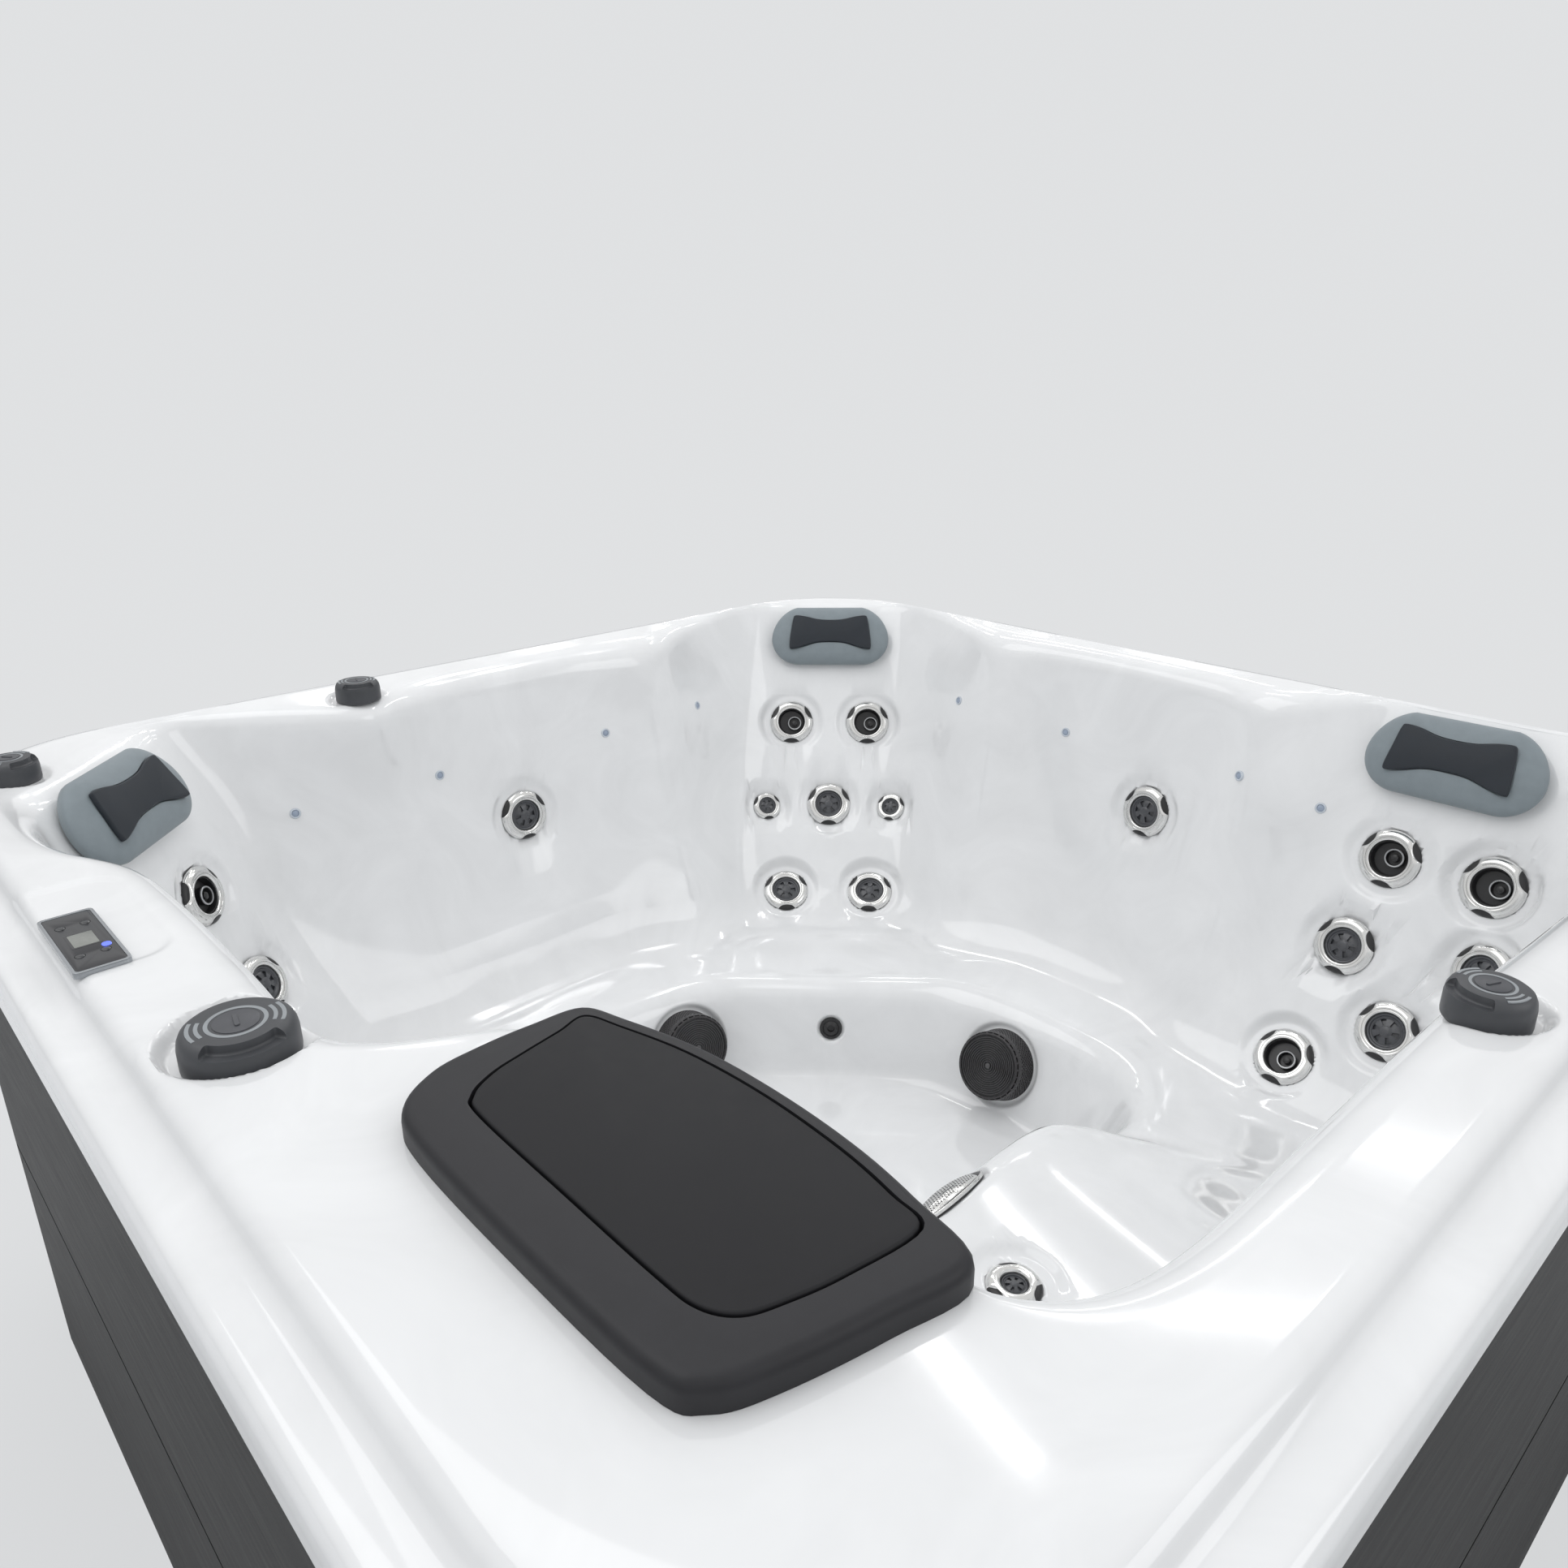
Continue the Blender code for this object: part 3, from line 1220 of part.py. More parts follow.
def make_base(material):
    """The moulded pan that the tub stands on."""
    outline = rounded_square(HALF_WIDTH - CABINET_INSET, CORNER_RADIUS - CABINET_INSET)
    return add_object("base_pan", *plate(outline, 0, BASE_THICKNESS), material)


def cabinet_levels():
    """The lower and upper end of the cabinet's panels."""
    return BASE_THICKNESS + CLEARANCE, RIM_HEIGHT - LEDGE_DROP - 2 * SHELL_WALL


def band_heights():
    """The lower and upper edge of the groove between the cabinet's two bands."""
    low, high = cabinet_levels()
    middle = low + (high - low) * CABINET_BAND_SHARE
    return middle - CABINET_GROOVE / 2, middle + CABINET_GROOVE / 2


def make_side_panel(name, turn, material):
    """A flat side panel with a groove between its two bands, turned to its side of the tub."""
    low, high = cabinet_levels()
    groove_low, groove_high = band_heights()
    outer = HALF_WIDTH - CABINET_INSET
    inner = outer - CABINET_WALL
    groove = outer - CABINET_GROOVE_DEPTH
    profile = [
        (outer, low), (outer, groove_low), (groove, groove_low), (groove, groove_high),
        (outer, groove_high), (outer, high), (inner, high), (inner, low),
    ]
    half = HALF_WIDTH - CORNER_RADIUS - RUNNING_GAP / 2
    count = len(profile)
    points = [(y, -x, z) for y in (-half, half) for x, z in profile]
    faces = [tuple(range(count)), tuple(reversed(range(count, 2 * count)))]
    faces += [(i, count + i, count + (i + 1) % count, (i + 1) % count) for i in range(count)]
    obj = add_object(name, points, faces, material, Matrix.Rotation(turn, 4, "Z"))
    face_out(obj)
    return obj


def make_corner_panel(name, turn, material):
    """A quarter-round corner panel with the same bands."""
    low, high = cabinet_levels()
    groove_low, groove_high = band_heights()
    outer = CORNER_RADIUS - CABINET_INSET
    levels = [
        (outer, low), (outer, groove_low), (outer - CABINET_GROOVE_DEPTH, groove_low),
        (outer - CABINET_GROOVE_DEPTH, groove_high), (outer, groove_high), (outer, high),
        (outer - CABINET_WALL, high), (outer - CABINET_WALL, low),
    ]
    gap = RUNNING_GAP / 2 / outer
    count = len(levels)
    centre = HALF_WIDTH - CORNER_RADIUS
    points = []
    for step in range(CORNER_STEPS + 1):
        angle = gap + (math.pi / 2 - 2 * gap) * step / CORNER_STEPS
        for radius, z in levels:
            points.append((centre + radius * math.cos(angle), centre + radius * math.sin(angle), z))
    last = CORNER_STEPS * count
    faces = [tuple(range(count)), tuple(last + i for i in reversed(range(count)))]
    for step in range(CORNER_STEPS):
        base = step * count
        for i in range(count):
            j = (i + 1) % count
            faces.append((base + i, base + count + i, base + count + j, base + j))
    obj = add_object(name, points, faces, material, Matrix.Rotation(turn, 4, "Z"))
    face_out(obj)
    return smooth(obj)


def face_out(obj):
    """Turns every face of a closed mesh outwards."""
    mesh = bmesh.new()
    mesh.from_mesh(obj.data)
    bmesh.ops.recalc_face_normals(mesh, faces=mesh.faces)
    mesh.to_mesh(obj.data)
    mesh.free()


def make_frame(material):
    """The support frame: a base ring with its corners cut, posts, and a top rail under each side."""
    outer = HALF_WIDTH - CABINET_INSET - CABINET_WALL - CLEARANCE
    inner = outer - FRAME_BAR
    low = BASE_THICKNESS + CLEARANCE
    high = RIM_HEIGHT - LEDGE_DROP - LIP_WALL - FRAME_HEADROOM
    ring = add_object("support_frame", *plate(cut_square(outer), low, low + FRAME_BAR), material)
    hole = add_object("frame_hole", *plate(cut_square(inner), low - OVERRUN, low + OVERRUN * 2))
    combine(ring, hole, "DIFFERENCE")
    sides = []
    for quarter in range(4):
        turn = Matrix.Rotation(quarter * math.pi / 2, 4, "Z")
        rail = ((inner, -FRAME_RAIL_HALF, high - FRAME_BAR), (outer, FRAME_RAIL_HALF, high))
        posts = [
            (
                (inner + RUNNING_GAP, spot - FRAME_BAR / 2, low + FRAME_BAR / 2),
                (outer - RUNNING_GAP, spot + FRAME_BAR / 2, high - FRAME_BAR / 2),
            )
            for spot in (-FRAME_POST_SPOT, FRAME_POST_SPOT)
        ]
        for corners in [rail, *posts]:
            sides.append(moved(block(*corners), turn))
    for number, shape in enumerate(sides):
        combine(ring, add_object(f"frame_member_{number}", *shape), "UNION")
    return ring


def cut_square(half):
    """A square outline with its corners cut off."""
    cut = half - FRAME_CORNER_CUT
    return [
        (half, -cut), (half, cut), (cut, half), (-cut, half),
        (-half, cut), (-half, -cut), (-cut, -half), (cut, -half),
    ]


def make_floor_block(material):
    """The block between the base pan and the footwell's floor."""
    floor = FOOTWELL_SHARES[0][2] * RIM_HEIGHT - SHELL_WALL
    half = FLOOR_BLOCK_HALF
    low = (-half, -half, BASE_THICKNESS + CLEARANCE)
    return add_object("floor_block", *block(low, (half, half, floor - CLEARANCE)), material)


# Pump, heater and pipes


def make_pump(material):
    """A pump on its foot: motor, wet end, inlet along X and outlet upwards."""
    x, y = sized([PUMP_PLACE_SHARES])[0]
    axis = BASE_THICKNESS + CLEARANCE + PUMP_HEAD_RADIUS + PUMP_FOOT_THICKNESS
    head_start = PUMP_MOTOR_LENGTH
    head_end = head_start + PUMP_HEAD_LENGTH
    profile = [
        (0, 0),
        (PUMP_MOTOR_RADIUS, 0),
        (PUMP_MOTOR_RADIUS, head_start),
        (PUMP_HEAD_RADIUS, head_start),
        (PUMP_HEAD_RADIUS, head_end),
        (PUMP_PORT_RADIUS, head_end),
        (PUMP_PORT_RADIUS, head_end + PUMP_PORT_LENGTH),
        (0, head_end + PUMP_PORT_LENGTH),
    ]
    place = Matrix.Translation((x, y, axis))
    lying = Matrix.Rotation(-math.pi / 2, 4, "Y")
    pump = add_object("circulation_pump", *lathe(profile, PUMP_SIDES), material, place @ lying)
    low = BASE_THICKNESS + CLEARANCE
    foot_x = x - PUMP_MOTOR_LENGTH / 2
    foot = block(
        (foot_x - PUMP_FOOT_LENGTH / 2, y - PUMP_FOOT_WIDTH / 2, low),
        (foot_x + PUMP_FOOT_LENGTH / 2, y + PUMP_FOOT_WIDTH / 2, axis - PUMP_MOTOR_RADIUS / 2),
    )
    combine(pump, add_object("pump_foot", *foot), "UNION")
    outlet_x = x - head_start - PUMP_HEAD_LENGTH / 2
    riser = lathe(
        [
            (0, axis),
            (PUMP_PORT_RADIUS, axis),
            (PUMP_PORT_RADIUS, axis + PUMP_HEAD_RADIUS + PUMP_PORT_LENGTH),
            (0, axis + PUMP_HEAD_RADIUS + PUMP_PORT_LENGTH),
        ],
        PUMP_SIDES,
    )
    riser_object = add_object("pump_riser", *moved(riser, Matrix.Translation((outlet_x, y, 0))))
    return smooth(combine(pump, riser_object, "UNION"))


def make_control_pack(material):
    """The sealed electrical pack with the heater's tube along its top."""
    x, y = sized([PACK_PLACE_SHARES])[0]
    low = BASE_THICKNESS + CLEARANCE
    high = low + PACK_HEIGHT
    body = block(
        (x - PACK_LENGTH / 2, y - PACK_WIDTH / 2, low), (x + PACK_LENGTH / 2, y + PACK_WIDTH / 2, high)
    )
    pack = add_object("heater_pack", *body, material)
    reach = PACK_LENGTH / 2 + PUMP_PORT_LENGTH
    tube = lathe([(0, -reach), (HEATER_RADIUS, -reach), (HEATER_RADIUS, reach), (0, reach)], PUMP_SIDES)
    lying = Matrix.Translation((x, y, high)) @ Matrix.Rotation(math.pi / 2, 4, "Y")
    combine(pack, add_object("heater_tube", *moved(tube, lying)), "UNION")
    modifier = pack.modifiers.new("Edges", "BEVEL")
    modifier.width = PANEL_CHAMFER
    modifier.limit_method = "ANGLE"
    modifier.angle_limit = math.radians(80)
    return pack


# Assembly


def make_shell(material):
    """The moulded shell with the openings for everything that is fitted in it."""
    shell = add_object("acrylic_shell", *shell_mesh(), material)
    cutters = jet_cutters() + fitting_cutters() + knob_cutters() + skimmer_cutters()
    for turn in range(CUTTER_GROUPS):
        group = joined_mesh(cutters[turn::CUTTER_GROUPS])
        combine(shell, add_object("shell_cutters", *group), "DIFFERENCE")
    combine(shell, add_object("foot_jet_bore", *foot_jet_bore()), "DIFFERENCE")
    return smooth(shell)


def make_fittings():
    """The jets and the footwell's fittings."""
    metal = finish("bright_bezel", BRIGHT_METAL, 0.18, 1.0)
    black = finish("black_fitting", BLACK_PLASTIC, 0.35)
    for name, frame, scale in jet_places():
        make_jet(name, frame, scale, metal)
    for name, frame in suction_places():
        make_suction_cover(name, frame, black)
    make_return_fitting(black)
    make_foot_jet(metal)


def make_rim_pieces():
    """The knobs, the control panel, its keys and the pillows."""
    knob = finish("knob_charcoal", KNOB_GREY, 0.45)
    for name, x_share, y_share, radius in KNOB_PLACE_SHARES:
        make_knob(name, x_share, y_share, radius, knob)
    make_control_panel(finish("panel_gloss", BLACK_PLASTIC, 0.12))
    make_keys(finish("key_grey", KNOB_GREY, 0.3))
    pillow = finish("pillow_blue_grey", PILLOW_BLUE, 0.6)
    insert = finish("insert_slate", INSERT_SLATE, 0.55)
    for name, heading in PILLOW_HEADINGS:
        frame = pillow_frame(heading)
        make_pillow(name + "_pillow", frame, pillow)
        make_insert(name + "_pillow_insert", frame, insert)


def make_skimmer():
    """The filter's surround, lid, bucket, cartridge and flap."""
    charcoal = finish("lid_charcoal", LID_CHARCOAL, 0.45)
    black = finish("bucket_black", BLACK_PLASTIC, 0.4)
    make_surround(charcoal)
    make_lid(charcoal)
    make_bucket(black)
    make_flap(black)
    make_cartridge(finish("filter_media", FILTER_WHITE, 0.9))


def make_cabinet():
    """The base, the frame, the panels and what stands inside them."""
    grey = finish("cabinet_grey", CABINET_GREY, 0.55)
    black = finish("base_black", BLACK_PLASTIC, 0.6)
    make_base(black)
    make_frame(finish("frame_timber", FRAME_WOOD, 0.7))
    make_floor_block(black)
    for quarter, side in enumerate(("front", "right", "back", "left")):
        make_side_panel(side + "_panel", quarter * math.pi / 2, grey)
    for quarter, corner in enumerate(("right", "far", "left", "near")):
        make_corner_panel(corner + "_corner_panel", quarter * math.pi / 2, grey)
    make_pump(black)
    make_control_pack(finish("pack_grey", CABINET_GREY, 0.5))


clear_scene()
make_shell(finish("white_acrylic", WHITE_ACRYLIC, 0.08))
make_fittings()
make_rim_pieces()
make_skimmer()
make_cabinet()
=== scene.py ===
"""The looks of a square acrylic hot tub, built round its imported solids.

The tub stands on z = 0 with its centre on the Z axis and its control panel towards -Y.
All lengths are in metres.
"""

import json
import logging
import math
from collections.abc import Callable, Iterable, Sequence
from dataclasses import dataclass
from enum import Enum

import bmesh
import bpy
import numpy as np
from mathutils import Matrix, Vector


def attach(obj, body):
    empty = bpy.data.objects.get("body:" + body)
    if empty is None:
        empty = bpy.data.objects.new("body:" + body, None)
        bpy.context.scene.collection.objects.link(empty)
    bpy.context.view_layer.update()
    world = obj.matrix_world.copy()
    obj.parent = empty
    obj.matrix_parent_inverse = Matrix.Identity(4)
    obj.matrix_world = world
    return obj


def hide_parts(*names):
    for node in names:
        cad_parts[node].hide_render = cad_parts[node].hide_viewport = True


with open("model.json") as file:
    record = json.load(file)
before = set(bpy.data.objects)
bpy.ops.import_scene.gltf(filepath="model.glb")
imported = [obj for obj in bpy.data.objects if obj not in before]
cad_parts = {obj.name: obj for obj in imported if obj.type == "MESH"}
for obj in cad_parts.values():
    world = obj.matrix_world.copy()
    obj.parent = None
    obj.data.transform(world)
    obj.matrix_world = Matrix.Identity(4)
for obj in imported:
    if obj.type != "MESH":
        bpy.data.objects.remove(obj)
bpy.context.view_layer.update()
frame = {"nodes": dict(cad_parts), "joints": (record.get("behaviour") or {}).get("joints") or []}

LOG = logging.getLogger("hot_tub")
BODY = "tub"
FULL_TURN = 2 * math.pi
CLEARANCE = 0.0003
Point = tuple[float, float]
Colour = tuple[float, float, float]
Piece = bpy.types.Object
Face = bpy.types.MeshPolygon
Node = bpy.types.Node


# Finishes


class Pattern(Enum):
    """How a finish varies over a surface."""

    MOTTLED = "mottled"
    MARBLED = "marbled"
    GRAINED = "grained"
    WOVEN = "woven"


STRETCH = {Pattern.GRAINED: (1.0, 1.0, 14.0), Pattern.WOVEN: (1.0, 1.0, 0.12)}


def feed(node: Node, inputs: dict[str | int, object]) -> Node:
    """Sets a node's inputs, and links those that are given another node's output.

    Args:
        node: The node.
        inputs: A value or an output for each input's name or number.

    Returns:
        The node.
    """
    for key, value in inputs.items():
        if isinstance(value, bpy.types.NodeSocket):
            node.id_data.links.new(value, node.inputs[key])
        else:
            node.inputs[key].default_value = value
    return node


def add_node(tree: bpy.types.NodeTree, kind: str, inputs: dict[str | int, object] | None = None) -> Node:
    """Adds a shader node and feeds its inputs.

    Args:
        tree: The node tree that gets it.
        kind: Its type, without the word ShaderNode.
        inputs: A value or another node's output for each input's name or number.

    Returns:
        The node.
    """
    return feed(tree.nodes.new("ShaderNode" + kind), inputs or {})


@dataclass(frozen=True)
class Finish:
    """A surface finish made of procedural nodes on Object coordinates."""

    name: str
    colour: Colour
    roughness: float
    metallic: float = 0.0
    coat: float = 0.0
    sheen: float = 0.0
    specular: float = 0.5
    pattern: Pattern = Pattern.MOTTLED
    scale: float = 60.0
    variation: float = 0.06
    relief: float = 0.00004
    relief_scale: float = 900.0
    glow: float = 0.0

    def material(self) -> bpy.types.Material:
        """Returns the material of this finish, made on first use."""
        found = bpy.data.materials.get("tub_" + self.name)
        return found or self._build()

    def _build(self) -> bpy.types.Material:
        """Makes the material.

        Returns:
            The new material.
        """
        material = bpy.data.materials.new("tub_" + self.name)
        material.use_nodes = True
        tree = material.node_tree
        mapping = add_node(tree, "Mapping", {
            "Vector": add_node(tree, "TexCoord").outputs["Object"],
            "Scale": STRETCH.get(self.pattern, (1.0, 1.0, 1.0)),
        }).outputs["Vector"]
        veins = {"Distortion": 1.6, "Roughness": 0.62} if self.pattern is Pattern.MARBLED else {}
        noise = {"Vector": mapping, "Scale": self.scale, "Detail": 4.0}
        pattern = add_node(tree, "TexNoise", noise | veins).outputs["Fac"]
        ramp = add_node(tree, "ValToRGB", {"Fac": pattern})
        low, high = ramp.color_ramp.elements
        low.position, high.position = 0.30, 0.70
        low.color = (*(c * (1 - self.variation) for c in self.colour), 1.0)
        high.color = (*(min(c * (1 + self.variation), 1.0) for c in self.colour), 1.0)
        spread = add_node(tree, "MapRange", {
            "Value": pattern, "To Min": self.roughness * 0.85, "To Max": min(self.roughness * 1.2, 1.0),
        })
        shader = feed(tree.nodes["Principled BSDF"], {
            "Metallic": self.metallic, "Coat Weight": self.coat, "Coat Roughness": 0.04, "Sheen Weight": self.sheen,
            "Specular IOR Level": self.specular, "Base Color": ramp.outputs["Color"],
            "Roughness": spread.outputs["Result"],
        })
        if self.relief:
            grain = add_node(tree, "TexNoise", {"Vector": mapping, "Scale": self.relief_scale, "Detail": 2.0})
            bump = add_node(tree, "Bump", {"Height": grain.outputs["Fac"], "Strength": 0.5, "Distance": self.relief})
            feed(shader, {"Normal": bump.outputs["Normal"]})
        if self.glow:
            feed(shader, {"Emission Color": (*self.colour, 1.0), "Emission Strength": self.glow})
        return material


ACRYLIC = Finish(
    "acrylic", (0.805, 0.812, 0.818), 0.10, coat=0.6, pattern=Pattern.MARBLED, scale=5.0, variation=0.035, relief=0.0
)
STEEL = Finish("steel", (0.74, 0.74, 0.73), 0.13, metallic=1.0, scale=30.0, variation=0.03, relief=0.00001)
RING_GREY = Finish("ring_grey", (0.42, 0.43, 0.44), 0.28, metallic=0.6, variation=0.04)
BLACK = Finish("black_plastic", (0.016, 0.016, 0.017), 0.32, variation=0.10, relief=0.00003)
COVER = Finish("cover_black", (0.042, 0.040, 0.042), 0.42, specular=0.35, variation=0.10, relief=0.00003)
# Painted highlight: the suction covers' rings get a lighter grey than the drum, standing in for light on their ridge
# tops.
GRILLE_HIGHLIGHT = Finish("grille_grey", (0.085, 0.083, 0.086), 0.40, specular=0.4, variation=0.10, relief=0.00003)
SPIDER = Finish("spider_grey", (0.060, 0.063, 0.070), 0.28, coat=0.2, variation=0.10)
KNOB = Finish("knob_charcoal", (0.056, 0.059, 0.065), 0.42, variation=0.07, relief=0.00005)
MARK = Finish("mark_grey", (0.28, 0.30, 0.315), 0.45, variation=0.04)
SURROUND = Finish(
    "surround_charcoal", (0.024, 0.024, 0.027), 0.46, specular=0.30, variation=0.08, relief=0.00006, relief_scale=1200.0
)
LID = Finish(
    "lid_charcoal", (0.0145, 0.0145, 0.0165), 0.48, specular=0.22, variation=0.08, relief=0.00006, relief_scale=1200.0
)
PILLOW = Finish("pillow_blue_grey", (0.205, 0.242, 0.262), 0.56, sheen=0.15, variation=0.05, relief=0.00010)
INSERT = Finish("insert_slate", (0.017, 0.022, 0.029), 0.52, specular=0.35, sheen=0.06, variation=0.08, relief=0.00008)
PANEL = Finish("panel_gloss", (0.018, 0.019, 0.023), 0.12, coat=0.15, variation=0.05, relief=0.0)
BEZEL_GREY = Finish("bezel_grey", (0.34, 0.36, 0.38), 0.22, metallic=0.6, coat=0.3, variation=0.04)
SCREEN = Finish("screen_grey", (0.21, 0.22, 0.20), 0.22, coat=0.5, scale=200.0, variation=0.06, relief=0.0)
KEY = Finish("key_grey", (0.030, 0.032, 0.036), 0.16, coat=0.2, variation=0.06)
BLUE_LIGHT = Finish("blue_light", (0.10, 0.15, 0.85), 0.30, variation=0.03, relief=0.0, glow=0.8)
KNOB_DISC = Finish("knob_disc", (0.070, 0.073, 0.082), 0.40, variation=0.07, relief=0.00005)
LIGHT_RING = Finish("light_ring", (0.55, 0.60, 0.66), 0.18, coat=0.5, variation=0.04, relief=0.0)
LENS = Finish("lens", (0.30, 0.36, 0.46), 0.10, coat=0.8, variation=0.05, relief=0.0)
CABINET = Finish(
    "cabinet_grey", (0.019, 0.0192, 0.0188), 0.46, specular=0.12, pattern=Pattern.GRAINED, scale=9.0, variation=0.10,
    relief=0.00008,
)
BASE = Finish("base_black", (0.014, 0.014, 0.014), 0.55, variation=0.10, relief=0.0001)
TIMBER = Finish("timber", (0.42, 0.29, 0.16), 0.65, pattern=Pattern.GRAINED, scale=14.0, variation=0.25)
CLOTH = Finish("filter_cloth", (0.76, 0.79, 0.82), 0.85, pattern=Pattern.WOVEN, scale=300.0, relief=0.0002)
PACK = Finish("pack_grey", (0.20, 0.21, 0.22), 0.45, variation=0.06, relief=0.00008)


# Work at the bench: operators as by hand


def deselect_all() -> None:
    """Leaves edit mode and selects nothing."""
    if bpy.context.mode != "OBJECT":
        bpy.ops.object.mode_set(mode="OBJECT")
    bpy.ops.object.select_all(action="DESELECT")


def activate(piece: Piece) -> None:
    """Selects one piece alone and makes it the active one."""
    deselect_all()
    bpy.context.view_layer.objects.active = piece
    piece.select_set(True)


def named(piece: Piece, name: str) -> Piece:
    """Names a piece and its mesh."""
    piece.name = piece.data.name = name
    return piece


def moved(x: float = 0.0, y: float = 0.0, z: float = 0.0) -> Matrix:
    """Returns a plain move."""
    return Matrix.Translation((x, y, z))


def extrude(height: float) -> None:
    """Extrudes the picked faces along Z."""
    bpy.ops.mesh.extrude_region_move(TRANSFORM_OT_translate={"value": (0, 0, height)})


def taper(share: float, height: float) -> None:
    """Scales what is picked about the Z axis."""
    bpy.ops.transform.resize(value=(share, share, 1), center_override=(0, 0, height))


def edit(piece: Piece, mode: str = "VERT") -> None:
    """Opens one piece in edit mode.

    Args:
        piece: The piece to open.
        mode: VERT, EDGE or FACE selection.
    """
    activate(piece)
    bpy.ops.object.mode_set(mode="EDIT")
    bpy.ops.mesh.select_mode(type=mode)


def close_edit() -> None:
    """Goes back to object mode."""
    bpy.ops.object.mode_set(mode="OBJECT")


def pick_faces(piece: Piece, chosen: Callable[[Face], bool]) -> None:
    """Selects faces by their place or normal and opens the piece on them.

    Args:
        piece: The piece whose faces are picked.
        chosen: Says for a face whether it is wanted.
    """
    edit(piece, "FACE")
    bpy.ops.mesh.select_all(action="DESELECT")
    close_edit()
    for face in piece.data.polygons:
        face.select = bool(chosen(face))
    bpy.ops.object.mode_set(mode="EDIT")


def face_outwards(piece: Piece) -> None:
    """Merges doubled points and turns every face outwards.

    Args:
        piece: A closed piece.
    """
    edit(piece)
    bpy.ops.mesh.select_all(action="SELECT")
    bpy.ops.mesh.remove_doubles(threshold=0.000001)
    bpy.ops.mesh.normals_make_consistent(inside=False)
    if bmesh.from_edit_mesh(piece.data).calc_volume(signed=True) < 0:
        bpy.ops.mesh.flip_normals()
    close_edit()


def smooth(piece: Piece, degrees: float = 40.0) -> Piece:
    """Shades a piece smooth and keeps its sharp edges.

    Args:
        piece: The piece to shade.
        degrees: Edges sharper than this stay sharp.

    Returns:
        The piece.
    """
    piece.data.shade_smooth()
    piece.data.set_sharp_from_angle(angle=math.radians(degrees))
    return piece


def apply_modifier(piece: Piece, kind: str, **settings: object) -> None:
    """Adds a modifier with these settings and applies it.

    Args:
        piece: The piece that gets it.
        kind: The modifier's type.
        **settings: Its properties.
    """
    activate(piece)
    modifier = piece.modifiers.new(kind.title(), kind)
    for name, value in settings.items():
        setattr(modifier, name, value)
    bpy.ops.object.modifier_apply(modifier=modifier.name)


def soften(piece: Piece, width: float, segments: int = 3, degrees: float = 35.0) -> None:
    """Rounds the sharp edges of a piece.

    Args:
        piece: The piece to round.
        width: The width of the rounding.
        segments: How many faces it has across.
        degrees: Edges sharper than this are rounded.
    """
    apply_modifier(
        piece, "BEVEL", width=width, segments=segments, limit_method="ANGLE",
        angle_limit=math.radians(degrees), harden_normals=False,
    )


def turned(name: str, profile: Sequence[Point], sides: int = 64, ring: bool = False) -> Piece:
    """Draws a profile round the Z axis: a circle is extruded and scaled from point to point.

    Args:
        name: The piece's name.
        profile: (radius, height) points; the last may have radius 0, which closes it in a pole.
        sides: How many faces it has round it.
        ring: Whether the profile closes on its first point, as for a ring with a hole.

    Returns:
        The closed piece.
    """
    deselect_all()
    radius, height = profile[0]
    bpy.ops.mesh.primitive_circle_add(vertices=sides, radius=radius, location=(0, 0, 0))
    piece = named(bpy.context.object, name)
    piece.data.transform(moved(z=height))
    edit(piece)
    bpy.ops.mesh.select_all(action="SELECT")
    if not ring:
        bpy.ops.mesh.edge_face_add()
        bpy.ops.mesh.select_mode(type="EDGE")
        bpy.ops.mesh.region_to_loop()
    for next_radius, next_height in [*profile[1:], *(profile[:1] if ring else [])]:
        bpy.ops.mesh.extrude_edges_move(TRANSFORM_OT_translate={"value": (0, 0, next_height - height)})
        if next_radius == 0:
            bpy.ops.mesh.select_mode(type="VERT")
            bpy.ops.mesh.merge(type="CENTER")
            break
        share = next_radius / radius
        taper(share, next_height)
        radius, height = next_radius, next_height
    else:
        if not ring:
            bpy.ops.mesh.edge_face_add()
    close_edit()
    face_outwards(piece)
    return smooth(piece)


def raised(name: str, outline: Sequence[Point], low: float, high: float) -> Piece:
    """Raises a flat outline into an upright plate.

    Args:
        name: The piece's name.
        outline: (x, y) points in order.
        low: The height of its underside.
        high: The height of its top.

    Returns:
        The closed plate.
    """
    deselect_all()
    bpy.ops.mesh.primitive_circle_add(vertices=len(outline), radius=1.0, fill_type="NGON")
    piece = named(bpy.context.object, name)
    for vertex, (x, y) in zip(piece.data.vertices, outline):
        vertex.co = (x, y, low)
    edit(piece, "FACE")
    bpy.ops.mesh.select_all(action="SELECT")
    extrude(high - low)
    close_edit()
    face_outwards(piece)
    return piece


def block(name: str, low: Sequence[float], high: Sequence[float]) -> Piece:
    """Makes a box between two corners.

    Args:
        name: The piece's name.
        low: Its lowest corner.
        high: Its highest corner.

    Returns:
        The box.
    """
    outline = [(low[0], low[1]), (high[0], low[1]), (high[0], high[1]), (low[0], high[1])]
    return raised(name, outline, low[2], high[2])


def cut(piece: Piece, cutter: Piece) -> None:
    """Cuts one piece out of another and throws the cutter away.

    Args:
        piece: The piece that is cut.
        cutter: The piece that is taken out of it.
    """
    apply_modifier(piece, "BOOLEAN", operation="DIFFERENCE", solver="EXACT", object=cutter)
    bpy.data.objects.remove(cutter, do_unlink=True)


def place(piece: Piece, matrix: Matrix) -> Piece:
    """Carries a piece's mesh to its place; its object stays at the origin.

    Args:
        piece: The piece to carry.
        matrix: Where it goes.

    Returns:
        The piece.
    """
    piece.data.transform(matrix)
    piece.data.update()
    return piece


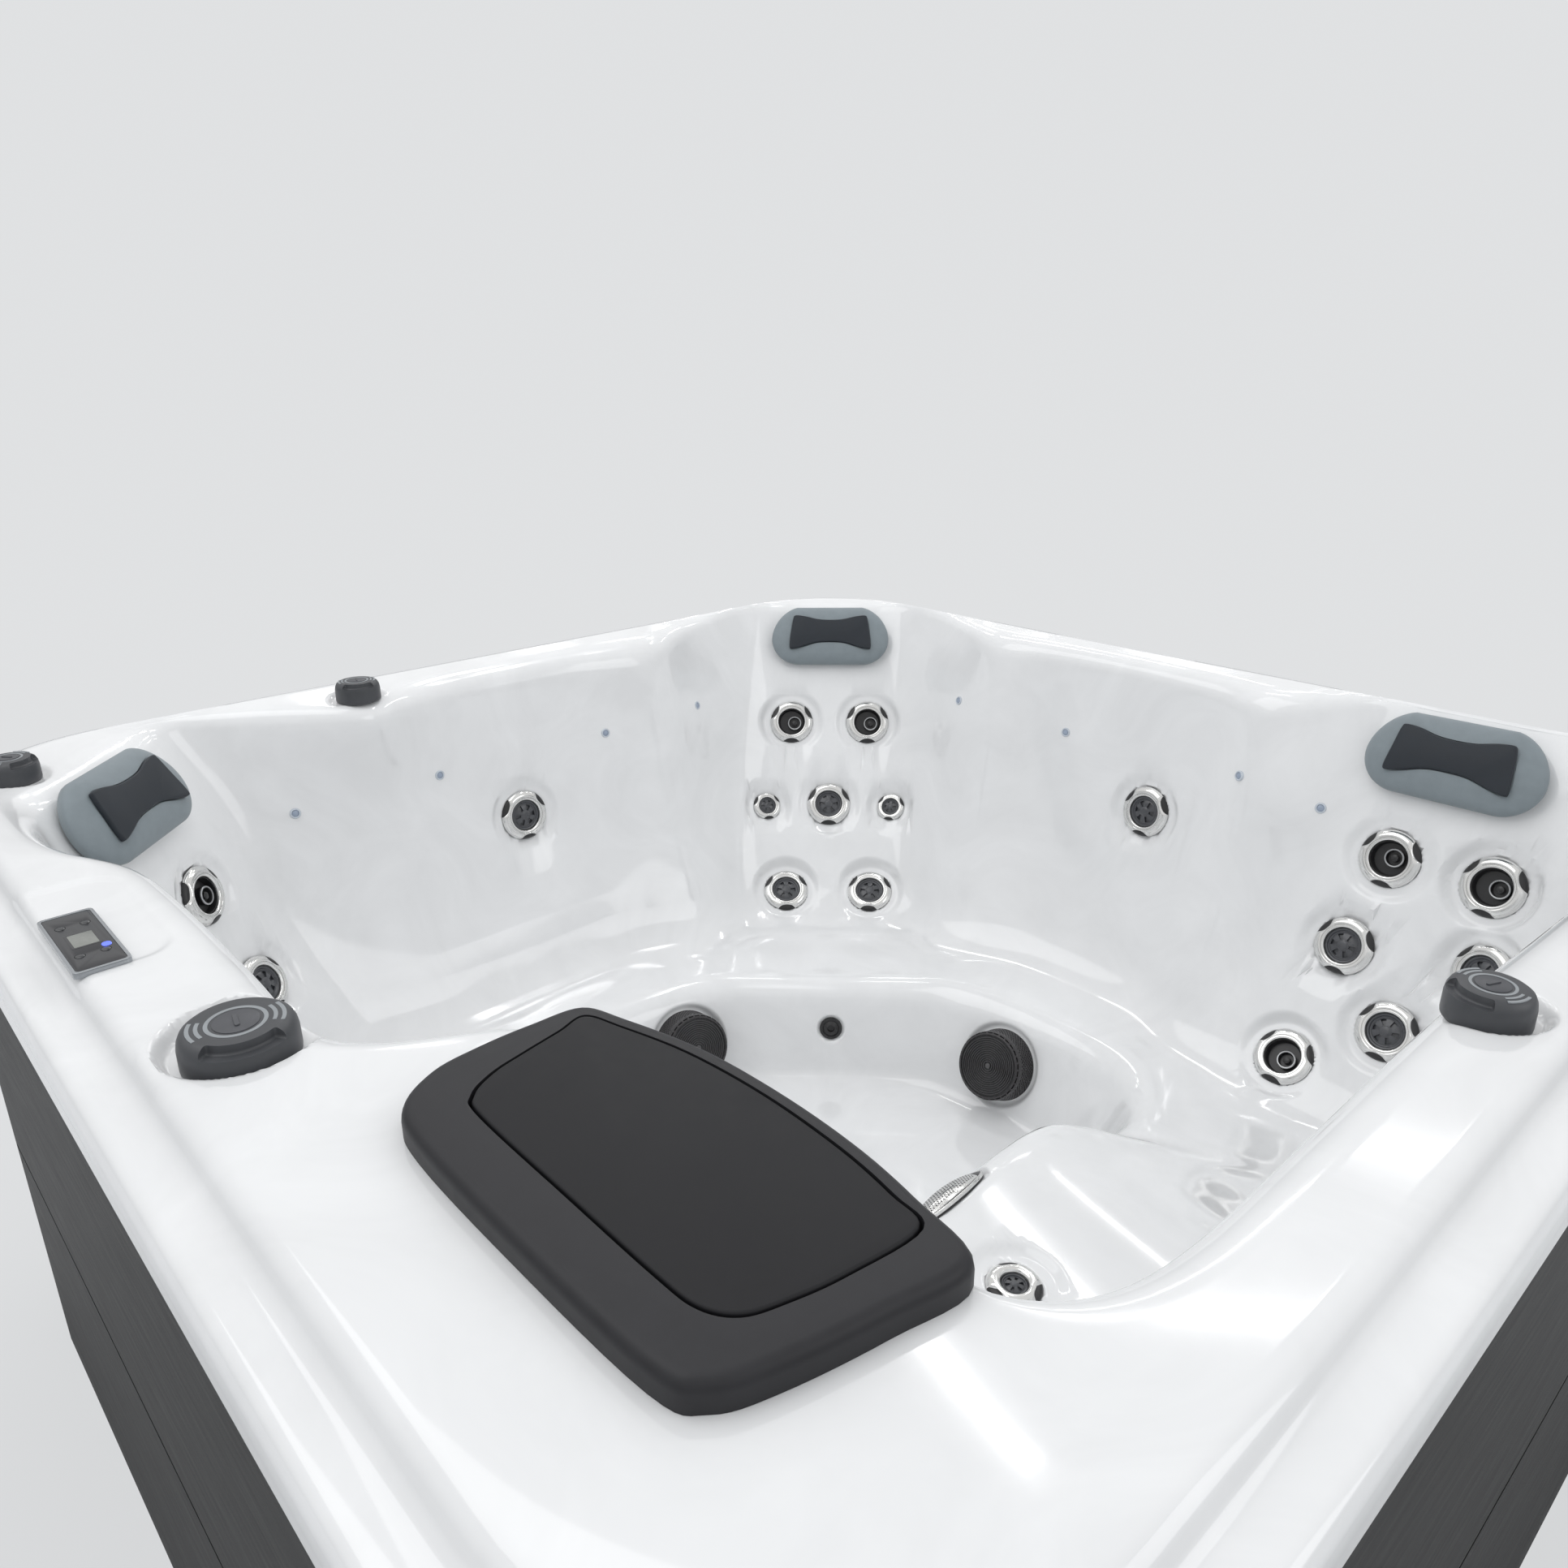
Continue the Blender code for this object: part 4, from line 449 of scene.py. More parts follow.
def copied(piece: Piece, name: str, matrix: Matrix) -> Piece:
    """Copies a piece with a mesh of its own and carries the copy to its place.

    Args:
        piece: The piece to copy.
        name: The copy's name.
        matrix: Where the copy goes.

    Returns:
        The copy.
    """
    twin = piece.copy()
    twin.data = piece.data.copy()
    bpy.context.scene.collection.objects.link(named(twin, name))
    return place(twin, matrix)


def discard(pieces: Iterable[Piece]) -> None:
    """Removes the patterns that only copies were made from.

    Args:
        pieces: The pieces to remove.
    """
    for piece in pieces:
        bpy.data.objects.remove(piece, do_unlink=True)


def joined(name: str, pieces: Sequence[Piece]) -> Piece:
    """Joins pieces into one object.

    Args:
        name: The new piece's name.
        pieces: The pieces to join.

    Returns:
        The joined piece.
    """
    deselect_all()
    for piece in pieces:
        piece.select_set(True)
    bpy.context.view_layer.objects.active = pieces[0]
    bpy.ops.object.join()
    return named(pieces[0], name)


def dress(
    piece: Piece, finish: Finish, body: str = BODY, replaces: str | None = None
) -> Piece:
    """Gives a piece its finish and the body that it rides on.

    Args:
        piece: The finished piece.
        finish: Its finish.
        body: The body that carries it.
        replaces: The CAD node that it stands for, if any.

    Returns:
        The piece.
    """
    piece.data.materials.clear()
    piece.data.materials.append(finish.material())
    if replaces:
        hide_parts(replaces)
    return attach(piece, body)


def round_outline(half_x: float, half_y: float, radius: float, steps: int = 8) -> list[Point]:
    """Draws a rectangle with round corners, counter-clockwise.

    Args:
        half_x: Half its length.
        half_y: Half its width.
        radius: Its corners' radius.
        steps: Points round each corner.

    Returns:
        The outline's points.
    """
    outline = []
    for quarter, (sx, sy) in enumerate(((1, 1), (-1, 1), (-1, -1), (1, -1))):
        for step in range(steps + 1):
            turn = math.pi / 2 * (quarter + step / steps)
            outline.append(
                (sx * (half_x - radius) + radius * math.cos(turn), sy * (half_y - radius) + radius * math.sin(turn))
            )
    return outline


def curved_outline(points: Sequence[Point], steps: int = 5) -> list[Point]:
    """Draws a smooth closed line through the points.

    Args:
        points: The points in order.
        steps: How many pieces each stretch is cut into.

    Returns:
        The outline's points.
    """
    here = np.array(points, float)
    before, after, later = np.roll(here, 1, 0), np.roll(here, -1, 0), np.roll(here, -2, 0)
    t = (np.arange(steps) / steps)[None, :, None]
    a, b, c, d = (v[:, None, :] for v in (before, here, after, later))
    curve = (2 * b + (c - a) * t + (2 * a - 5 * b + 4 * c - d) * t**2 + (3 * b - a - 3 * c + d) * t**3) / 2
    return [tuple(p) for p in curve.reshape(-1, here.shape[1])]


def grown(outline: Sequence[Point], distance: float) -> list[Point]:
    """Stretches an outline about its middle until its box is this much wider on each side.

    Args:
        outline: The outline's points.
        distance: How far each side of its box moves out; negative moves it in.

    Returns:
        The new outline.
    """
    points = np.array(outline, float)
    low, high = points.min(axis=0), points.max(axis=0)
    middle, half = (low + high) / 2, (high - low) / 2
    return [tuple(p) for p in middle + (points - middle) * (half + distance) / half]


def seat_frame(point: Sequence[float], out: Sequence[float]) -> Matrix:
    """Makes a frame whose Z points out of a surface and whose X runs level across it.

    Args:
        point: The frame's origin.
        out: The direction out of the surface.

    Returns:
        The frame.
    """
    normal = Vector(out).normalized()
    level = Vector((-normal.y, normal.x, 0)).normalized()
    up = normal.cross(level)
    return Matrix.Translation(Vector(point)) @ Matrix((level, up, normal)).transposed().to_4x4()


# The moulded shell


@dataclass(frozen=True)
class Rail:
    """A ridge line of the basin: its x and y as shares of the half width, its height as a share of the rim's."""

    points: tuple[tuple[float, float, float], ...]


INNER_EDGE = Rail((
    (0.834, -0.30, 0.988), (0.834, -0.02, 0.988), (0.848, 0.25, 0.988), (0.862, 0.55, 0.988),
    (0.850, 0.76, 0.988), (0.790, 0.885, 0.986), (0.712, 0.934, 0.984), (0.620, 0.934, 0.984),
    (0.550, 0.934, 0.984), (0.480, 0.934, 0.984), (0.395, 0.934, 0.984), (0.320, 0.89, 0.984),
    (0.245, 0.852, 0.984), (0.140, 0.868, 0.984), (-0.10, 0.880, 0.984), (-0.28, 0.872, 0.984),
    (-0.37, 0.862, 0.984), (-0.48, 0.905, 0.984), (-0.61, 0.935, 0.984), (-0.720, 0.928, 0.984),
    (-0.776, 0.872, 0.984), (-0.824, 0.824, 0.984), (-0.872, 0.776, 0.984), (-0.928, 0.720, 0.984),
    (-0.935, 0.61, 0.984), (-0.905, 0.46, 0.984), (-0.845, 0.32, 0.984), (-0.862, 0.12, 0.984),
    (-0.860, -0.12, 0.984), (-0.840, -0.22, 0.982), (-0.795, -0.32, 0.975), (-0.84, -0.42, 0.982),
    (-0.89, -0.51, 0.984), (-0.930, -0.626, 0.984), (-0.885, -0.6695, 0.984), (-0.84, -0.713, 0.984),
    (-0.7825, -0.7686, 0.984), (-0.7249, -0.8242, 0.984), (-0.66, -0.872, 0.986), (-0.52, -0.885, 0.994),
    (-0.41, -0.862, 1.0), (-0.33, -0.818, 1.0), (-0.20, -0.807, 1.0), (0.0, -0.806, 1.0),
    (0.12, -0.81, 1.0), (0.19, -0.80, 1.0), (0.24, -0.76, 1.0), (0.30, -0.68, 1.0),
    (0.37, -0.632, 1.0), (0.50, -0.606, 1.0), (0.64, -0.608, 1.0), (0.765, -0.63, 1.0),
    (0.824, -0.565, 0.994), (0.834, -0.45, 0.988),
))
SHOULDER = Rail((
    (0.818, -0.20, 0.778), (0.824, 0.20, 0.778), (0.834, 0.56, 0.778), (0.80, 0.76, 0.80),
    (0.70, 0.855, 0.82), (0.62, 0.855, 0.82), (0.55, 0.855, 0.82), (0.48, 0.855, 0.82),
    (0.40, 0.855, 0.82), (0.31, 0.82, 0.81), (0.245, 0.805, 0.80), (0.13, 0.845, 0.785),
    (-0.10, 0.855, 0.778), (-0.27, 0.838, 0.79), (-0.345, 0.818, 0.81), (-0.46, 0.848, 0.83),
    (-0.58, 0.882, 0.84), (-0.665, 0.869, 0.844), (-0.721, 0.813, 0.844), (-0.767, 0.767, 0.844),
    (-0.813, 0.721, 0.844), (-0.869, 0.665, 0.844), (-0.882, 0.57, 0.84), (-0.85, 0.44, 0.82),
    (-0.805, 0.32, 0.80), (-0.83, 0.12, 0.785), (-0.835, -0.12, 0.778), (-0.83, -0.30, 0.778),
    (-0.845, -0.43, 0.79), (-0.8697, -0.5638, 0.82), (-0.8248, -0.6072, 0.82), (-0.7798, -0.6506, 0.82),
    (-0.7223, -0.7062, 0.82), (-0.6647, -0.7618, 0.82), (-0.59, -0.812, 0.80), (-0.50, -0.838, 0.78),
    (-0.40, -0.825, 0.778), (-0.25, -0.80, 0.778), (0.0, -0.797, 0.778), (0.13, -0.79, 0.778),
    (0.22, -0.74, 0.778), (0.29, -0.66, 0.778), (0.37, -0.615, 0.778), (0.50, -0.60, 0.778),
    (0.64, -0.60, 0.778), (0.75, -0.605, 0.778), (0.806, -0.53, 0.778), (0.816, -0.40, 0.778),
))
SEAT_BACK = Rail((
    (0.74, -0.20, 0.445), (0.74, 0.10, 0.42), (0.73, 0.35, 0.31), (0.70, 0.52, 0.284),
    (0.60, 0.615, 0.284), (0.46, 0.62, 0.29), (0.33, 0.635, 0.305), (0.23, 0.655, 0.315),
    (0.10, 0.70, 0.315), (-0.10, 0.70, 0.315), (-0.23, 0.665, 0.305), (-0.32, 0.65, 0.295),
    (-0.42, 0.655, 0.286), (-0.545, 0.545, 0.284), (-0.655, 0.42, 0.286), (-0.65, 0.32, 0.295),
    (-0.665, 0.23, 0.305), (-0.70, 0.10, 0.315), (-0.70, -0.10, 0.315), (-0.69, -0.30, 0.315),
    (-0.68, -0.43, 0.305), (-0.62, -0.56, 0.29), (-0.54, -0.64, 0.29), (-0.42, -0.69, 0.305),
    (-0.25, -0.70, 0.315), (0.0, -0.70, 0.315), (0.12, -0.68, 0.32), (0.22, -0.62, 0.335),
    (0.33, -0.57, 0.355), (0.50, -0.55, 0.38), (0.64, -0.545, 0.40), (0.71, -0.48, 0.42), (0.735, -0.36, 0.435),
))
SEAT_FRONT = Rail((
    (0.340, -0.20, 0.478), (0.330, 0.0, 0.482), (0.325, 0.11, 0.467), (0.32, 0.20, 0.41),
    (0.32, 0.29, 0.335), (0.312, 0.40, 0.302), (0.275, 0.485, 0.298), (0.18, 0.53, 0.298),
    (0.04, 0.538, 0.298), (-0.08, 0.525, 0.298), (-0.17, 0.495, 0.298), (-0.235, 0.445, 0.298),
    (-0.34, 0.34, 0.298), (-0.445, 0.235, 0.298), (-0.495, 0.17, 0.298), (-0.525, 0.08, 0.298),
    (-0.535, -0.04, 0.298), (-0.525, -0.16, 0.298), (-0.485, -0.27, 0.298), (-0.40, -0.36, 0.298),
    (-0.28, -0.43, 0.30), (-0.12, -0.47, 0.305), (0.06, -0.485, 0.31), (0.20, -0.48, 0.335),
    (0.29, -0.44, 0.40), (0.338, -0.36, 0.46),
))
FOOTWELL = Rail((
    (0.285, -0.2, 0.09), (0.28, 0.05, 0.09), (0.27, 0.2, 0.09), (0.256, 0.331, 0.09),
    (0.209, 0.417, 0.09), (0.103, 0.455, 0.09), (-0.041, 0.45, 0.09), (-0.145, 0.434, 0.09),
    (-0.207, 0.398, 0.09), (-0.306, 0.306, 0.09), (-0.398, 0.207, 0.09), (-0.434, 0.145, 0.09),
    (-0.45, 0.041, 0.09), (-0.455, -0.103, 0.09), (-0.419, -0.204, 0.09), (-0.331, -0.291, 0.09),
    (-0.2, -0.36, 0.09), (-0.05, -0.4, 0.09), (0.12, -0.41, 0.09), (0.23, -0.385, 0.09), (0.275, -0.31, 0.09),
))


@dataclass(frozen=True)
class Band:
    """One corner of the shell's section: its rounding, and how finely it and the stretch after it are cut."""

    rounding: float
    round_points: int
    pieces_after: int


@dataclass(frozen=True)
class ShellForm:
    """The moulded face of the shell as sections at headings about the tub's axis."""

    half_width: float = 1.0
    rim_height: float = 0.9
    corner_radius: float = 0.30
    lip_depth: float = 0.07
    ledge_width: float = 0.042
    ledge_drop: float = 0.022
    step_run: float = 0.014
    back_hollow: float = 0.028
    rim_round: float = 0.045
    block_round: float = 0.014
    block_heading: float = -52.0
    block_half_span: float = 14.0
    block_fade: float = 9.0
    most_trim: float = 0.45
    rim_corner: int = 4
    edge_corner: int = 8
    bands: tuple[Band, ...] = (
        Band(0.0, 1, 2), Band(0.016, 4, 2), Band(0.010, 3, 1), Band(0.012, 3, 10), Band(0.045, 8, 6),
        Band(0.06, 4, 9), Band(0.10, 4, 9), Band(0.11, 8, 11), Band(0.045, 7, 8), Band(0.03, 6, 9), Band(0.0, 1, 0),
    )

    def ridge(self, rail: Rail, headings: np.ndarray, steps: int) -> np.ndarray:
        """Finds a rail's place at each heading.

        Args:
            rail: The rail.
            headings: Headings in radians.
            steps: How finely the rail is drawn.

        Returns:
            (reach, height) at each heading.
        """
        half = self.half_width
        curve = np.array(curved_outline([(x * half, y * half, z * self.rim_height) for x, y, z in rail.points], steps))
        around = np.arctan2(curve[:, 1], curve[:, 0])
        order = np.argsort(around)
        reach = np.hypot(curve[:, 0], curve[:, 1])
        found = (np.interp(headings, around[order], v[order], period=FULL_TURN) for v in (reach, curve[:, 2]))
        return np.stack(list(found), axis=1)

    def square_ring(self, inset: float, height: float, headings: np.ndarray) -> np.ndarray:
        """Finds the tub's rounded square at each heading.

        Args:
            inset: How far it is moved in.
            height: Its height.
            headings: Headings in radians.

        Returns:
            (reach, height) at each heading.
        """
        half, radius = self.half_width - inset, self.corner_radius - inset
        c, s = np.abs(np.cos(headings)), np.abs(np.sin(headings))
        flat = half / np.maximum(c, s)
        middle = half - radius
        along = middle * (c + s)
        arc = along + np.sqrt(np.maximum(along**2 - 2 * middle**2 + radius**2, 0))
        reach = np.where(flat * np.minimum(c, s) <= middle, flat, arc)
        return np.stack([reach, np.full(len(headings), height)], axis=1)

    def corners(self, headings: np.ndarray, steps: int) -> np.ndarray:
        """Finds the section's corners, from the lip to the middle of the floor.

        Args:
            headings: Headings in radians.
            steps: How finely the rails are drawn.

        Returns:
            (reach, height) of each corner at each heading.
        """
        ledge = self.rim_height - self.ledge_drop
        rails = (INNER_EDGE, SHOULDER, SEAT_BACK, SEAT_FRONT, FOOTWELL)
        inner, shoulder, back, front, foot = (self.ridge(rail, headings, steps) for rail in rails)
        lumbar = (shoulder + back) / 2
        lumbar[:, 0] += self.back_hollow
        middle = np.stack([np.zeros(len(headings)), foot[:, 1]], axis=1)
        rim = [
            self.square_ring(0, self.rim_height - self.lip_depth, headings),
            self.square_ring(0, ledge, headings),
            self.square_ring(self.ledge_width, ledge, headings),
            self.square_ring(self.ledge_width + self.step_run, self.rim_height, headings),
        ]
        return np.stack([*rim, inner, shoulder, lumbar, back, front, foot, middle], axis=1)

    def rounding(self, corner: int, headings: np.ndarray) -> np.ndarray:
        """Finds how far a corner is rounded; the rim's inner edge is tighter along the filter's block.

        Args:
            corner: The corner's number.
            headings: Headings in radians.

        Returns:
            The rounding at each heading.
        """
        if corner != self.rim_corner:
            return np.full(len(headings), self.bands[corner].rounding)
        away = np.abs((np.degrees(headings) - self.block_heading + 180) % 360 - 180)
        share = np.clip((away - self.block_half_span) / self.block_fade, 0, 1)
        return self.block_round + (self.rim_round - self.block_round) * share

    def section(self, headings: np.ndarray, steps: int = 40, finer: int = 1) -> np.ndarray:
        """Rounds the section's corners.

        Args:
            headings: Headings in radians.
            steps: How finely the rails are drawn.
            finer: How many rows stand in place of one.

        Returns:
            (reach, height) of each row at each heading.
        """
        corners = self.corners(headings, steps)
        rows: list[np.ndarray] = []
        last = None
        for k, band in enumerate(self.bands):
            here = corners[:, k]
            start = end = here
            if band.round_points > 1:
                before, after = corners[:, k - 1] - here, corners[:, k + 1] - here
                long_before, long_after = (np.linalg.norm(v, axis=1) for v in (before, after))
                trim = np.minimum(self.rounding(k, headings), self.most_trim * np.minimum(long_before, long_after))
                start = here + before * (trim / long_before)[:, None]
                end = here + after * (trim / long_after)[:, None]
            if last is not None:
                pieces = self.bands[k - 1].pieces_after * finer
                rows += [last + (start - last) * j / pieces for j in range(1, pieces)]
            pieces = max(band.round_points - 1, 0) * finer
            rows.append(start)
            for t in (j / pieces for j in range(1, pieces + 1)):
                rows.append((1 - t) ** 2 * start + 2 * t * (1 - t) * here + t**2 * end)
            last = end
        return np.stack(rows, axis=1)

    def cad_wall(self, heading: float, height: float) -> Vector:
        """Finds the point of the basin's wall where the solids have it.

        Args:
            heading: Its heading in radians.
            height: Its height.

        Returns:
            The point.
        """
        section = self.section(np.array([heading]), steps=10)[0]
        basin = section[self.row_of(self.rim_corner) :]
        reach = np.interp(-height, -np.minimum.accumulate(basin[:, 1]), basin[:, 0])
        return Vector((reach * math.cos(heading), reach * math.sin(heading), height))

    def cad_edge(self, heading: float, step: int) -> Vector:
        """Finds a point of the seats' rounded front edge where the solids have it.

        Args:
            heading: Its heading in radians.
            step: -1 for the rounding's upper end, 0 for its middle, 1 for its lower end.

        Returns:
            The point.
        """
        half = self.bands[self.edge_corner].round_points // 2
        row = self.row_of(self.edge_corner) + half * (1 + step)
        reach, height = self.section(np.array([heading]), steps=10)[0][row]
        return Vector((reach * math.cos(heading), reach * math.sin(heading), height))

    def row_of(self, corner: int) -> int:
        """Returns the first row of a corner's rounding."""
        return sum(band.round_points + band.pieces_after - 1 for band in self.bands[:corner])


@dataclass(frozen=True)
class Recess:
    """A shallow recess pressed into the shell's face, in a frame whose XY plane is its floor."""

    frame: Matrix
    half_x: float
    half_y: float
    corner: float
    soft_out: float = 0.011
    soft_in: float = 0.006
    height: float = 0.03

    @classmethod
    def round(cls, frame_of: Matrix, radius: float, *soft: float, height: float = 0.03) -> "Recess":
        """Returns a round recess."""
        return cls(frame_of, radius, radius, radius, *soft, height=height)

    def local(self, points: np.ndarray) -> np.ndarray:
        """Returns the points in the recess's frame."""
        inverse = np.array(self.frame.inverted())
        return points @ inverse[:3, :3].T + inverse[:3, 3]

    def outside(self, local: np.ndarray) -> np.ndarray:
        """Measures how far points are outside the recess's outline.

        Args:
            local: Points in the recess's frame.

        Returns:
            Their distances, negative inside.
        """
        x = np.abs(local[:, 0]) - self.half_x + self.corner
        y = np.abs(local[:, 1]) - self.half_y + self.corner
        return np.hypot(np.maximum(x, 0), np.maximum(y, 0)) + np.minimum(np.maximum(x, y), 0) - self.corner

    def press(self, points: np.ndarray) -> None:
        """Presses the points down onto the recess's floor, softly at its edge.

        Args:
            points: The points, changed in place.
        """
        to_world = np.array(self.frame)
        local = self.local(points)
        near = (self.outside(local) < self.soft_out) & (np.abs(local[:, 2]) < self.height)
        local = local[near]
        share = np.clip((self.soft_out - self.outside(local)) / (self.soft_out + self.soft_in), 0, 1)
        share = share * share * (3 - 2 * share)
        local[:, 2] -= share * np.maximum(local[:, 2], 0)
        points[near] = local @ to_world[:3, :3].T + to_world[:3, 3]


@dataclass
class Shell:
    """The white acrylic shell: rim, seats, lounge and footwell, with a recess for every fitting."""

    form: ShellForm
    recesses: list[Recess]
    sectors: int = 384
    finer: int = 4
    blur: float = 1.2
    wall: float = 0.027
    lip_wall: float = 0.009
    hidden_stride: int = 6
    well_radius: float = 0.0762
    well_spot: Point = (0.56, -0.70)
    window_width: float = 0.138
    window_heights: Point = (0.6815, 0.7935)
    window_depth: float = 0.16
    well_heights: Point = (-0.15, 0.05)
    refined: tuple[Point, ...] = ((1.0, 0.016), (0.016, 0.013))

    def table(self) -> np.ndarray:
        """Evaluates the form finely and smooths it a little along the headings.

        Returns:
            (reach, height) by heading and row.
        """
        count = self.sectors * self.finer
        headings = np.arange(count) * FULL_TURN / count
        table = self.form.section(headings, finer=self.finer)
        rim = self.form.row_of(self.form.rim_corner) * self.finer
        spread = self.blur * self.finer
        reach = int(4 * spread)
        weights = np.exp(-0.5 * (np.arange(-reach, reach + 1) / spread) ** 2)
        weights /= weights.sum()
        smoothed = sum(w * np.roll(table, k - reach, axis=0) for k, w in enumerate(weights))
        table[:, rim:] = smoothed[:, rim:]
        return table

    @staticmethod
    def ring_points(reach: np.ndarray, height: np.ndarray, headings: np.ndarray) -> list[tuple[float, float, float]]:
        """Returns the points at these reaches and heights, one for each heading."""
        return list(zip(reach * np.cos(headings), reach * np.sin(headings), height))

    def skin(self, table: np.ndarray) -> Piece:
        """Lofts the moulded face and the hidden face into one closed piece.

        Args:
            table: The finely evaluated form.

        Returns:
            The shell before it is refined; its points carry their row of the table.
        """
        front = table[:: self.finer, :: self.finer]
        headings = np.arange(self.sectors) * FULL_TURN / self.sectors
        mesh = bmesh.new()
        row_layer = mesh.verts.layers.float.new("row")

        def ring(k: int, points: list[tuple[float, float, float]]) -> list[bmesh.types.BMVert]:
            """Adds a ring of points of this row."""
            made = [mesh.verts.new(p) for p in points]
            for vertex in made:
                vertex[row_layer] = k
            return made

        def stitch(one: list[bmesh.types.BMVert], two: list[bmesh.types.BMVert]) -> None:
            """Joins two rings with faces."""
            for i in range(self.sectors):
                j = (i + 1) % self.sectors
                mesh.faces.new((one[i], one[j], two[j], two[i]))

        rows = [
            ring(k * self.finer, self.ring_points(front[:, k, 0], front[:, k, 1], headings))
            for k in range(front.shape[1] - 1)
        ]
        for one, two in zip(rows, rows[1:]):
            stitch(one, two)
        self._fan(mesh, rows[-1], float(front[:, -1, 1].mean()), row_layer, (front.shape[1] - 1) * self.finer)
        back = self._hidden(front)
        hidden = [ring(-1, self.ring_points(back[:, k, 0], back[:, k, 1], headings)) for k in range(back.shape[1])]
        stitch(hidden[0], rows[0])
        for one, two in zip(hidden, hidden[1:]):
            stitch(two, one)
        self._fan(mesh, hidden[-1], float(back[:, -1, 1].mean()), row_layer, -1)
        bmesh.ops.recalc_face_normals(mesh, faces=mesh.faces)
        made = bpy.data.meshes.new("moulded_shell")
        mesh.to_mesh(made)
        mesh.free()
        shell = bpy.data.objects.new("moulded_shell", made)
        bpy.context.scene.collection.objects.link(shell)
        return shell

    def _fan(self, mesh: bmesh.types.BMesh, ring: list, height: float, layer: object, row: int) -> None:
        """Closes a ring with a fan round the tub's axis.

        Args:
            mesh: The mesh that gets it.
            ring: The ring's points.
            height: The height of the middle.
            layer: The layer that holds each point's row.
            row: The middle's row.
        """
        middle = mesh.verts.new((0, 0, height))
        middle[layer] = row
        for i in range(self.sectors):
            mesh.faces.new((ring[i], ring[(i + 1) % self.sectors], middle))

    def _hidden(self, front: np.ndarray) -> np.ndarray:
        """Moves a thinned section to the hidden side of the wall.

        Args:
            front: (reach, height) of the moulded face by heading and row.

        Returns:
            (reach, height) of the hidden face.
        """
        first = self.form.row_of(self.form.rim_corner) - 4
        rows = [0, self.form.row_of(1), *range(first, front.shape[1] - 2, self.hidden_stride), front.shape[1] - 2]
        thin = front[:, rows]
        step = np.diff(thin, axis=1)
        step /= np.linalg.norm(step, axis=2)[:, :, None]
        before = np.concatenate([step[:, :1], step], axis=1)
        mean = before + np.concatenate([step, step[:, -1:]], axis=1)
        mean /= np.linalg.norm(mean, axis=2)[:, :, None]
        normal = np.stack([-mean[:, :, 1], mean[:, :, 0]], axis=2)
        along = (normal * np.stack([-before[:, :, 1], before[:, :, 0]], axis=2)).sum(axis=2)
        wall = np.full(len(rows), self.wall)
        wall[:2] = self.lip_wall
        back = thin + normal * (wall / np.maximum(along, 0.5))[:, :, None]
        back[:, 0, 1] = front[:, 0, 1]
        return back

    def refine(self, shell: Piece, wanted: Callable[[np.ndarray], np.ndarray]) -> None:
        """Cuts chosen faces of the moulded side into four.

        Args:
            shell: The shell.
            wanted: Says for face middles whether each is refined.
        """
        mesh = shell.data
        middles = np.empty(len(mesh.polygons) * 3)
        mesh.polygons.foreach_get("center", middles)
        chosen = wanted(middles.reshape(-1, 3))
        rows = mesh.attributes["row"].data
        chosen &= np.array([rows[face.vertices[0]].value >= 0 for face in mesh.polygons])
        pick_faces(shell, lambda face: chosen[face.index])
        bpy.ops.mesh.subdivide(number_cuts=1, ngon=False, quadcorner="INNERVERT")
        close_edit()

    def settle(self, shell: Piece, table: np.ndarray) -> None:
        """Puts every point of the moulded side back on the form, then presses the recesses in.

        Args:
            shell: The refined shell.
            table: The finely evaluated form.
        """
        mesh = shell.data
        count = len(mesh.vertices)
        points = np.empty(count * 3)
        mesh.vertices.foreach_get("co", points)
        points = points.reshape(-1, 3)
        rows = np.empty(count)
        mesh.attributes["row"].data.foreach_get("value", rows)
        front = (rows >= 0) & (rows < table.shape[1] - 1 - self.finer / 2)
        here = points[front]
        turn = np.arctan2(here[:, 1], here[:, 0]) % FULL_TURN
        across = turn / FULL_TURN * len(table)
        i = np.floor(across).astype(int)
        part_i = (across - i)[:, None]
        j = np.minimum(np.floor(rows[front]).astype(int), table.shape[1] - 2)
        part_j = (rows[front] - j)[:, None]
        i, after = i % len(table), (i + 1) % len(table)
        low = table[i, j] * (1 - part_i) + table[after, j] * part_i
        high = table[i, j + 1] * (1 - part_i) + table[after, j + 1] * part_i
        found = low * (1 - part_j) + high * part_j
        points[front] = np.stack([found[:, 0] * np.cos(turn), found[:, 0] * np.sin(turn), found[:, 1]], axis=1)
        face = points[rows >= 0]
        for recess in self.recesses:
            recess.press(face)
        points[rows >= 0] = face
        mesh.vertices.foreach_set("co", points.reshape(-1))
        mesh.update()

    def near(self, low: float, high: float) -> Callable[[np.ndarray], np.ndarray]:
        """Makes a test for points near the edges of the recesses.

        Args:
            low: How far inside an outline still counts.
            high: How far outside it still counts.

        Returns:
            The test.
        """

        def test(points: np.ndarray) -> np.ndarray:
            """Says for each point whether it is near an edge."""
            found = np.zeros(len(points), bool)
            for recess in self.recesses:
                local = recess.local(points)
                away = recess.outside(local)
                found |= (away < high) & (away > -low) & (np.abs(local[:, 2]) < recess.height)
            return found

        return test

